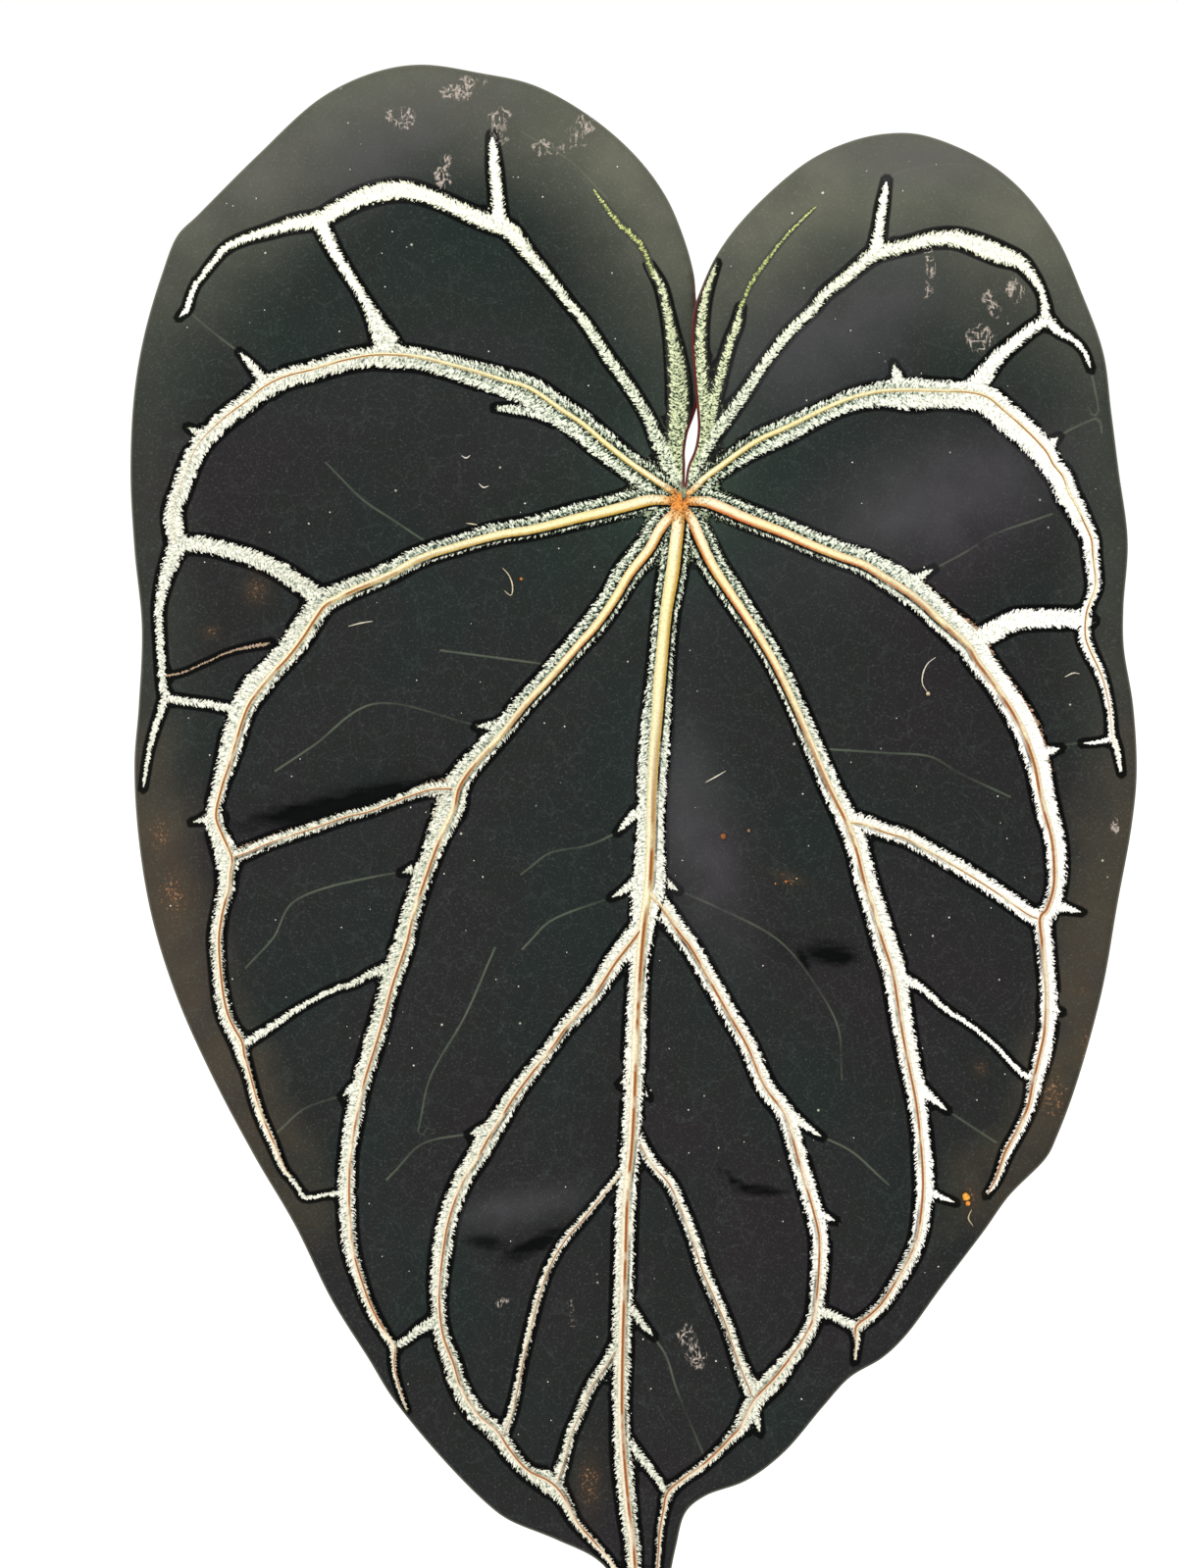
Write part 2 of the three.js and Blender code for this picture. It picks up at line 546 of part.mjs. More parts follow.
// A closed sheet between a top and a bottom that are split into triangles alike
function thicken(sheet, topAt, bottomAt) {
  const count = sheet.points.length;
  const top = sheet.points.map((p, i) => new THREE.Vector3(p.x, p.y, topAt(i)));
  const bottom = sheet.points.map((p, i) => new THREE.Vector3(p.x, p.y, bottomAt(i)));
  const triangles = [];
  const rim = new Map();
  for (const [a, b, c] of sheet.triangles) {
    triangles.push([a, b, c], [a + count, c + count, b + count]);
    for (const [from, to] of [[a, b], [b, c], [c, a]]) {
      if (!rim.delete(`${to} ${from}`)) rim.set(`${from} ${to}`, [from, to]);
    }
  }
  for (const [from, to] of rim.values()) {
    triangles.push([to, from, from + count], [to, from + count, to + count]);
  }
  return closedGeometry([...top, ...bottom], triangles);
}

const leftHalf = surveyHalf('left', LEFT_MARGIN);
const rightHalf = surveyHalf('right', RIGHT_MARGIN);
const sinusBase = new THREE.Vector3(LEFT_MARGIN[0][0], -LEFT_MARGIN[0][1], 0);
const tip = new THREE.Vector3(LEFT_MARGIN.at(-1)[0], -LEFT_MARGIN.at(-1)[1], 0);
const seam = [sinusBase, ...sampleRoute(MIDRIB, MARGIN_STEP), tip];
const leftSheet = meshHalf(leftHalf, seam, sampleRoute(LEFT_MARGIN, MARGIN_STEP));
const rightSheet = meshHalf(rightHalf, seam, sampleRoute(RIGHT_MARGIN, MARGIN_STEP));
const bladeSheet = joinHalves(leftSheet, rightSheet, seam.length);

function makeBlade() {
  const { heights, thickness } = bladeSheet;
  return thicken(bladeSheet, (i) => heights[i], (i) => heights[i] - thickness[i]);
}

// Raised vein net: bands laid on the face of the blade and joined in one piece

function makeBand(route, sheet) {
  const stations = sampleRoute(route, BAND_STEP);
  const last = stations.length - 1;
  const isThread = Math.max(...stations.map((station) => station.z)) < NET_FLAT_BELOW;
  const rings = stations.map((station, i) => {
    const along = stations[Math.min(i + 1, last)].clone().sub(stations[Math.max(i - 1, 0)]);
    along.setZ(0).normalize();
    const halfWidth = Math.max(station.z, NET_THINNEST) / 2;
    const leftEdge = new THREE.Vector3(-along.y, along.x, 0).multiplyScalar(halfWidth).add(station);
    const rightEdge = new THREE.Vector3(along.y, -along.x, 0).multiplyScalar(halfWidth).add(station);
    const [leftSeat, crestSeat, rightSeat] = [leftEdge, station, rightEdge]
      .map((point) => heightOn(sheet, point) + NET_SEAT);
    const crest = NET_EDGE + NET_CREST * Math.min(1, halfWidth / 2.5);
    const section = [
      leftEdge.clone().setZ(leftSeat),
      leftEdge.clone().setZ(leftSeat + NET_EDGE),
      station.clone().setZ(crestSeat + crest),
      rightEdge.clone().setZ(rightSeat + NET_EDGE),
      rightEdge.clone().setZ(rightSeat),
    ];
    return isThread ? section.filter((_, corner) => corner !== 2) : section;
  });
  return toSolid(loft(rings));
}

function makeNet() {
  const bands = [makeBand(MIDRIB.slice(0, -1), leftSheet)];
  for (const [side, sheet] of [['left', leftSheet], ['right', rightSheet]]) {
    for (const route of [...PRIMARY_VEINS[side], ...BRANCH_VEINS[side]]) {
      bands.push(makeBand(route, sheet));
    }
  }
  const hub = new THREE.SphereGeometry(HUB_RADIUS, 12, 6).scale(1, 1, HUB_HEIGHT / HUB_RADIUS);
  bands.push(toSolid(hub.translate(0, 0, heightOn(leftSheet, new THREE.Vector3()) + NET_GAP)));
  const raisedFace = thicken(
    bladeSheet,
    (i) => bladeSheet.heights[i] + NET_GAP,
    (i) => bladeSheet.heights[i] - RAISED_FACE_DEPTH,
  );
  const pieces = joinAll(bands).subtract(toSolid(raisedFace)).decompose();
  const whole = pieces.reduce((best, piece) => (piece.volume() > best.volume() ? piece : best));
  return toGeometry(whole);
}

// Petiole: from the top of the stem up behind the blade to its joint

const faceNormal = new THREE.Vector3(0, -Math.cos(FACE_TILT), Math.sin(FACE_TILT));

function makePetiole() {
  const jointIndex = nearest(new THREE.Vector3(), bladeSheet.points).index;
  const backOfJoint = bladeSheet.heights[jointIndex] - bladeSheet.thickness[jointIndex];
  const end = JOINT.clone().addScaledVector(faceNormal, backOfJoint - CLEARANCE);
  const route = new THREE.CatmullRomCurve3([
    STEM_TOP.clone().add(new THREE.Vector3(0, 0, CLEARANCE)),
    STEM_TOP.clone().add(new THREE.Vector3(0, 0, 12)),
    new THREE.Vector3(-11, 6, 280),
    new THREE.Vector3(-13.5, 0, 370),
    new THREE.Vector3(-11, -14, 455),
    new THREE.Vector3(-6, -38, 522),
    new THREE.Vector3(-2, -66, 549),
    end.clone().addScaledVector(faceNormal, -14),
    end,
  ], false, 'centripetal');
  const radiusAt = (distance, length) => {
    const foot = (PETIOLE_FOOT_RADIUS - PETIOLE_RADIUS) * Math.exp(-distance / 45);
    const swelling = (GENICULUM_RADIUS - PETIOLE_RADIUS)
      * smoothstep(distance, length - GENICULUM_LENGTH - 10, length - GENICULUM_LENGTH);
    return PETIOLE_RADIUS + foot + swelling;
  };
  return taperedTube(route, radiusAt, 32, PETIOLE_SIDES);
}

// Stem with leaf scars, and the aerial roots that grow from it down into the mix

function stemCurve() {
  return new THREE.CatmullRomCurve3([
    STEM_FOOT,
    new THREE.Vector3(0, 3, 112),
    new THREE.Vector3(STEM_TOP.x + 0.4, STEM_TOP.y, STEM_TOP.z - 26),
    STEM_TOP,
  ], false, 'centripetal');
}

// The stem and its roots, made fatter by growth to cut the room that they need
function makeStem(growth) {
  const stemRadius = (distance, length) => {
    const scars = 0.5 * Math.sin(distance * 0.9) ** 8;
    const plainTop = smoothstep(length - distance, 20, 30);
    return STEM_RADIUS + growth + scars * plainTop;
  };
  const pieces = [toSolid(taperedTube(stemCurve(), stemRadius, 18, STEM_SIDES))];
  for (const { bearing, start, reach } of ROOTS) {
    const out = new THREE.Vector3(Math.cos(degToRad(bearing)), Math.sin(degToRad(bearing)), 0);
    const share = (start - STEM_FOOT.z) / (STEM_TOP.z - STEM_FOOT.z);
    const origin = stemCurve().getPoint(share).setZ(start);
    const at = (distance, height) => origin.clone().addScaledVector(out, distance).setZ(height);
    const path = new THREE.CatmullRomCurve3([
      at(STEM_RADIUS * 0.5, start + 1),
      at(STEM_RADIUS + 5, start),
      at(lerp(STEM_RADIUS, reach, 0.7), lerp(start, MIX_TOP, 0.4)),
      at(reach, MIX_TOP + 2),
      at(reach + 3, MIX_TOP - ROOT_DEPTH - growth),
    ], false, 'centripetal');
    const rootRadius = (distance, length) => growth + ROOT_RADIUS * (1 - 0.35 * (distance / length));
    pieces.push(toSolid(taperedTube(path, rootRadius, 8, ROOT_SIDES)));
  }
  return joinAll(pieces);
}

// Dry sheath leaves that clasp the top of the stem

function makeSheath({ bearing, foot, height, spread }) {
  const rows = 12;
  const columns = 8;
  const inner = [];
  const outer = [];
  for (let row = 0; row <= rows; row += 1) {
    const share = row / rows;
    const rise = foot + height * share;
    const clasp = spread * Math.cos(share * Math.PI * 0.47) ** 0.7;
    const lean = SHEATH_LEAN * Math.max(0, share - 0.35) ** 2;
    for (let column = 0; column <= columns; column += 1) {
      const side = (column / columns) * 2 - 1;
      const angle = degToRad(bearing + side * clasp);
      const curl = lean * (1 - 0.5 * side ** 2);
      const radius = STEM_RADIUS + CLEARANCE + curl;
      const place = (r) => new THREE.Vector3(
        STEM_TOP.x + r * Math.cos(angle),
        STEM_TOP.y + r * Math.sin(angle),
        rise,
      );
      inner.push(place(radius));
      outer.push(place(radius + SHEATH_THICKNESS));
    }
  }
  const points = [...outer, ...inner];
  const width = columns + 1;
  const count = outer.length;
  const triangles = [];
  for (let row = 0; row < rows; row += 1) {
    for (let column = 0; column < columns; column += 1) {
      const a = row * width + column;
      const [b, c, d] = [a + 1, a + width + 1, a + width];
      triangles.push([a, b, c], [a, c, d]);
      triangles.push([a + count, c + count, b + count], [a + count, d + count, c + count]);
    }
  }
  const border = [
    ...Array.from({ length: columns }, (_, i) => [i, i + 1]),
    ...Array.from({ length: rows }, (_, i) => [i * width + columns, (i + 1) * width + columns]),
    ...Array.from({ length: columns }, (_, i) => [rows * width + i + 1, rows * width + i]),
    ...Array.from({ length: rows }, (_, i) => [(i + 1) * width, i * width]),
  ];
  for (const [from, to] of border) {
    triangles.push([to, from, from + count], [to, from + count, to + count]);
  }
  return closedGeometry(points, triangles);
}

// Pot

const bandFoot = POT_HEIGHT - POT_RIM_BAND;
const bandRadius = POT_RIM_RADIUS - 2;

function innerRadius(height) {
  const share = (height - POT_FLOOR) / (POT_HEIGHT - POT_FLOOR);
  return lerp(POT_BASE_RADIUS, POT_RIM_RADIUS - 1.5, share) - POT_WALL;
}

function makePot() {
  const body = toSolid(turned([
    [0, 0],
    [POT_BASE_RADIUS - 2, 0],
    [POT_BASE_RADIUS, 2],
    [innerRadius(bandFoot) + POT_WALL, bandFoot],
    [bandRadius, bandFoot + 1],
    [POT_RIM_RADIUS, POT_HEIGHT - 2.5],
    [POT_RIM_RADIUS - 0.8, POT_HEIGHT - 0.6],
    [POT_RIM_RADIUS - 2, POT_HEIGHT],
    [innerRadius(POT_HEIGHT) + 0.6, POT_HEIGHT],
    [innerRadius(POT_HEIGHT - 2), POT_HEIGHT - 2],
    [innerRadius(POT_FLOOR + 2), POT_FLOOR + 2],
    [innerRadius(POT_FLOOR) - 2, POT_FLOOR],
    [0, POT_FLOOR],
  ], POT_SIDES));
  const holes = Array.from({ length: DRAIN_HOLES }, (_, i) => {
    const angle = (2 * Math.PI * i) / DRAIN_HOLES;
    const drill = new THREE.CylinderGeometry(DRAIN_RADIUS, DRAIN_RADIUS, 3 * POT_FLOOR, 16);
    drill.rotateX(Math.PI / 2);
    drill.translate(DRAIN_CIRCLE_RADIUS * Math.cos(angle), DRAIN_CIRCLE_RADIUS * Math.sin(angle), 0);
    return toSolid(drill);
  });
  return toGeometry(body.subtract(joinAll(holes)));
}

// Potting mix: a filling that follows the pot, with bark chips sunk into its top

function makeMix() {
  const wellRadius = (height) => innerRadius(height) - CLEARANCE;
  const radiusAt = (height) => wellRadius(height) - 0.1;
  const mound = (radius) => MIX_TOP + MIX_CROWN * (1 - (radius / radiusAt(MIX_TOP)) ** 2);
  const body = toSolid(turned([
    [0, POT_FLOOR + CLEARANCE],
    [radiusAt(POT_FLOOR) - 2.5, POT_FLOOR + CLEARANCE],
    [radiusAt(POT_FLOOR + 3), POT_FLOOR + 3],
    [radiusAt(MIX_TOP), MIX_TOP],
    [40, mound(40)],
    [20, mound(20)],
    [0, mound(0)],
  ], POT_SIDES));
  const random = seededRandom(31);
  const between = ([low, high]) => lerp(low, high, random());
  const golden = Math.PI * (3 - Math.sqrt(5));
  const chips = Array.from({ length: CHIP_COUNT }, (_, i) => {
    const distance = CHIP_SPREAD * Math.sqrt((i + 0.5) / CHIP_COUNT);
    const angle = golden * i + random();
    const size = new THREE.Vector3(between(CHIP_LENGTH), between(CHIP_WIDTH), between(CHIP_THICKNESS));
    const chip = new THREE.BoxGeometry(size.x, size.y, size.z);
    chip.rotateX(between([-0.5, 0.5]));
    chip.rotateY(between([-0.5, 0.5]));
    chip.rotateZ(between([0, Math.PI]));
    chip.translate(
      distance * Math.cos(angle),
      distance * Math.sin(angle),
      mound(distance) + between([-1.5, 1.5]),
    );
    return toSolid(chip);
  });
  const well = toSolid(turned([
    [0, POT_FLOOR],
    [wellRadius(POT_FLOOR), POT_FLOOR],
    [wellRadius(POT_HEIGHT), POT_HEIGHT],
    [0, POT_HEIGHT],
  ], POT_SIDES));
  const filled = body.add(joinAll(chips).intersect(well)).subtract(makeStem(CLEARANCE));
  const pieces = filled.decompose();
  return toGeometry(pieces.reduce((best, piece) => (piece.volume() > best.volume() ? piece : best)));
}

// Assembly

const leaf = new THREE.Group();
leaf.rotation.x = Math.PI / 2 - FACE_TILT;
leaf.position.copy(JOINT);
leaf.add(makeMesh('leaf_blade', makeBlade(), VELVET));
leaf.add(makeMesh('leaf_veins', makeNet(), SILVER_NET));

const plant = new THREE.Group();
plant.add(leaf);
plant.add(makeMesh('petiole', makePetiole(), PETIOLE_SKIN));
plant.add(makeMesh('stem', toGeometry(makeStem(0)), STEM_BARK));
SHEATHS.forEach((sheath, i) => {
  plant.add(makeMesh(`sheath_leaf_${i + 1}`, makeSheath(sheath), DRY_SHEATH));
});

const pottedAnthurium = new THREE.Group();
pottedAnthurium.add(makeMesh('pot', makePot(), POT_PLASTIC));
pottedAnthurium.add(makeMesh('potting_mix', makeMix(), BARK_MIX));
pottedAnthurium.add(plant);

export default pottedAnthurium;
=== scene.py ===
"""Fine shapes, finishes and studio for a potted anthurium hybrid with one velvet leaf."""

import logging
import math
from collections.abc import Callable, Iterable, Sequence
from dataclasses import dataclass, field
from enum import Enum
from functools import cached_property, partial

import bmesh
import bpy
import numpy as np
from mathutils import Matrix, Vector, kdtree, noise
from mathutils.geometry import delaunay_2d_cdt


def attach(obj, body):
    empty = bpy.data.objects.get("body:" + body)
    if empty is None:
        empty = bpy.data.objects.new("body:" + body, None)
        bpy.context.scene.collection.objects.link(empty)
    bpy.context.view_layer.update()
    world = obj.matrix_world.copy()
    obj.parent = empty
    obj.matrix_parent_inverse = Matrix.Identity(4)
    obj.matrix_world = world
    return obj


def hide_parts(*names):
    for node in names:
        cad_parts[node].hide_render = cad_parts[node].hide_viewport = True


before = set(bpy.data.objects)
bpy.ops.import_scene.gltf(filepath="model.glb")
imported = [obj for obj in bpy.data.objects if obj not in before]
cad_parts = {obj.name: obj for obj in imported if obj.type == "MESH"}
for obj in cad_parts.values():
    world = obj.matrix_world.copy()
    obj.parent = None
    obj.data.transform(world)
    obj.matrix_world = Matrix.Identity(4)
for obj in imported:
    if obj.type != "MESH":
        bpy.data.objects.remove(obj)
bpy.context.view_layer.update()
MM = 0.001
LOG = logging.getLogger("anthurium")

Array = np.ndarray
Rows = Sequence[Sequence[float]]
Faces = list[Sequence[int]]
Skin = tuple[Array, Faces]
Socket = bpy.types.NodeSocket
Adder = Callable[..., Socket]


class Side(Enum):
    """The two halves of the blade, as the viewer sees them."""

    LEFT = 1
    RIGHT = -1


class Blot(Enum):
    """The kinds of mark on the blade: rust and scuffs that age leaves, painted shade in folds and
    painted sheen.
    """

    RUST = "rust"
    SCUFF = "scuff"
    HOLLOW = "hollow"
    BLOOM = "bloom"


class Node(Enum):
    """The shader nodes that the finishes are drawn with.

    Each is its type, its settings, the inputs that its values fill in order, and the output that
    comes back. The last value of a range is where it starts, and is left out where that is 0.
    """

    READ = "ShaderNodeAttribute", {}, (), "Fac"
    PLACE = "ShaderNodeAttribute", {}, (), "Vector"
    BUMP = "ShaderNodeBump", {}, ("Height", "Strength", "Distance"), "Normal"
    JOIN = "ShaderNodeCombineXYZ", {}, ("X", "Y", "Z"), 0
    PLUS = "ShaderNodeMath", {"operation": "ADD"}, (0, 1), 0
    MINUS = "ShaderNodeMath", {"operation": "SUBTRACT"}, (0, 1), 0
    TIMES = "ShaderNodeMath", {"operation": "MULTIPLY"}, (0, 1), 0
    TIMES_PLUS = "ShaderNodeMath", {"operation": "MULTIPLY_ADD"}, (0, 1, 2), 0
    DIVIDE = "ShaderNodeMath", {"operation": "DIVIDE"}, (0, 1), 0
    ABSOLUTE = "ShaderNodeMath", {"operation": "ABSOLUTE"}, (0,), 0
    MAXIMUM = "ShaderNodeMath", {"operation": "MAXIMUM"}, (0, 1), 0
    LESS = "ShaderNodeMath", {"operation": "LESS_THAN"}, (0, 1), 0
    GREATER = "ShaderNodeMath", {"operation": "GREATER_THAN"}, (0, 1), 0
    BLEND = "ShaderNodeMix", {"data_type": "FLOAT"}, (0, 2, 3), 0
    TINT = "ShaderNodeMix", {"data_type": "RGBA"}, (0, 6, 7), 2
    STAIN = "ShaderNodeMix", {"data_type": "RGBA", "blend_type": "MULTIPLY"}, (0, 6, 7), 2
    NOISE = "ShaderNodeTexNoise", {}, ("Vector", "Scale", "Detail", "Roughness", "Distortion"), 0
    NOISE_COLOUR = "ShaderNodeTexNoise", {}, ("Vector", "Scale", "Detail"), "Color"
    CELLS = "ShaderNodeTexVoronoi", {}, ("Vector", "Scale"), "Distance"
    CELL_EDGE = (
        "ShaderNodeTexVoronoi", {"feature": "DISTANCE_TO_EDGE"}, ("Vector", "Scale"), "Distance")
    RAMP = "ShaderNodeValToRGB", {}, ("Fac",), 0
    RANGE = "ShaderNodeMapRange", {}, ("Value", "From Min", "From Max", "To Max", "To Min"), 0
    SOFT_RANGE = (
        "ShaderNodeMapRange", {"interpolation_type": "SMOOTHSTEP"},
        ("Value", "From Min", "From Max", "To Max", "To Min"), 0)
    STRETCH = "ShaderNodeVectorMath", {"operation": "MULTIPLY"}, (0, 1), 0
    SHIFT = "ShaderNodeVectorMath", {"operation": "ADD"}, (0, 1), 0
    WARP = "ShaderNodeVectorMath", {"operation": "MULTIPLY_ADD"}, (0, 1, 2), 0
    SURFACE = "ShaderNodeBsdfPrincipled", {}, (), 0
    OUTPUT = "ShaderNodeOutputMaterial", {}, ("Surface",), None


# Margins of the blade in mm as (across, down) from the joint of the petiole. Each starts in the
# sinus between the basal lobes and ends at the drip tip.
MARGINS: dict[Side, Rows] = {
    Side.LEFT: (
        (1.3, -4.5), (1.4, -10), (1.3, -12.5), (2.1, -17.6), (3.75, -22.2), (5.6, -29), (6, -36),
        (5.6, -44), (4.3, -50.5), (3.6, -58), (0.8, -68), (-3.6, -78), (-11, -88), (-22.4, -98),
        (-37, -106.2), (-51, -109.4), (-66, -111.5), (-78, -109.5), (-91.5, -103), (-108, -88),
        (-123, -73), (-128, -68), (-132, -58), (-136.4, -43), (-139, -28), (-140, -8), (-139, 12),
        (-137.1, 32), (-137.9, 52), (-139, 67), (-137.8, 87), (-134.3, 107), (-127.9, 127),
        (-118.9, 147), (-108.3, 167), (-98.2, 184.2), (-88.7, 203.5), (-79, 219), (-73.4, 228.2),
        (-60, 244.5), (-48.5, 256), (-43.7, 259.5), (-31.2, 264.7), (-20.7, 270), (-14.5, 278.2),
        (-11.7, 287), (-10.2, 294.5),
    ),
    Side.RIGHT: (
        (1.3, -4.5), (2, -9), (3.8, -13.5), (4.6, -18.6), (4.4, -23), (3.9, -28.2), (3.4, -34.7),
        (3, -41), (3.5, -48.7), (4.9, -53), (9.4, -62.9), (17, -73), (31.7, -86.2), (41.7, -91.3),
        (51.7, -93.8), (61.7, -93.6), (76.7, -87.6), (86.7, -80), (96, -67.7), (102.6, -53),
        (108, -38), (110, -23), (111.9, -8), (114.2, 10), (113.1, 27), (113.2, 37), (115.6, 52),
        (116.5, 69), (115.3, 82), (111.6, 102.5), (107.7, 124.5), (101.1, 148.5), (96.2, 161.7),
        (93.6, 167), (83.9, 177), (77.7, 185.7), (66.5, 200.5), (57.5, 212.7), (51.7, 218.2),
        (43.4, 223.2), (36.6, 230.6), (26.5, 242.4), (17, 249.5), (6.4, 253.5), (1.6, 257.5),
        (-1, 266.6), (-4.2, 282), (-7.2, 290.7), (-10.2, 294.5),
    ),
}


@dataclass(frozen=True)
class Vein:
    """A vein of the blade.

    Attributes:
        route: (across, down, width of the silver band) in mm from the joint, out along the vein.
        core: width of its raised core, as a share of the usual one; 0 for a thread without one.
        offset: how far the core lies towards the lower side, as a share of half the band.
        warmth: 0 for a yellow core, 1 for an orange one; without a core, how brown it has dried.
        green: 0 for a silver band, 1 for a yellow-green one.
    """

    route: Rows
    core: float = 0.0
    offset: float = 0.15
    warmth: float = 0.5
    green: float = 0.0


MIDRIB = Vein(
    (
        (0, 0, 5), (-0.25, 4, 6), (-1.25, 13, 6.5), (-1.85, 18, 6.7), (-3.5, 28.2, 6),
        (-4.5, 38.5, 6), (-5.4, 48.7, 6.5), (-5.75, 54, 7.2), (-6.6, 64.2, 7.7), (-7.15, 74.5, 7.2),
        (-7.3, 81.5, 7), (-7.6, 91.2, 8), (-8, 97.7, 9), (-9.4, 108, 6.2), (-10.3, 118.2, 5),
        (-11, 129.7, 5.2), (-11.5, 142.5, 5.5), (-12, 155.2, 5), (-12.6, 165.5, 5),
        (-13.6, 175.7, 5.2), (-14.2, 194.7, 5.2), (-14.8, 214, 5), (-15, 233, 4.2),
        (-14.5, 242.7, 5), (-13.1, 258, 4.4), (-12.1, 265.5, 4), (-11.7, 271.5, 3.6),
        (-10.7, 282, 2.4), (-10.2, 290, 1.2),
    ),
    core=2.1, offset=0.0, warmth=0.2,
)

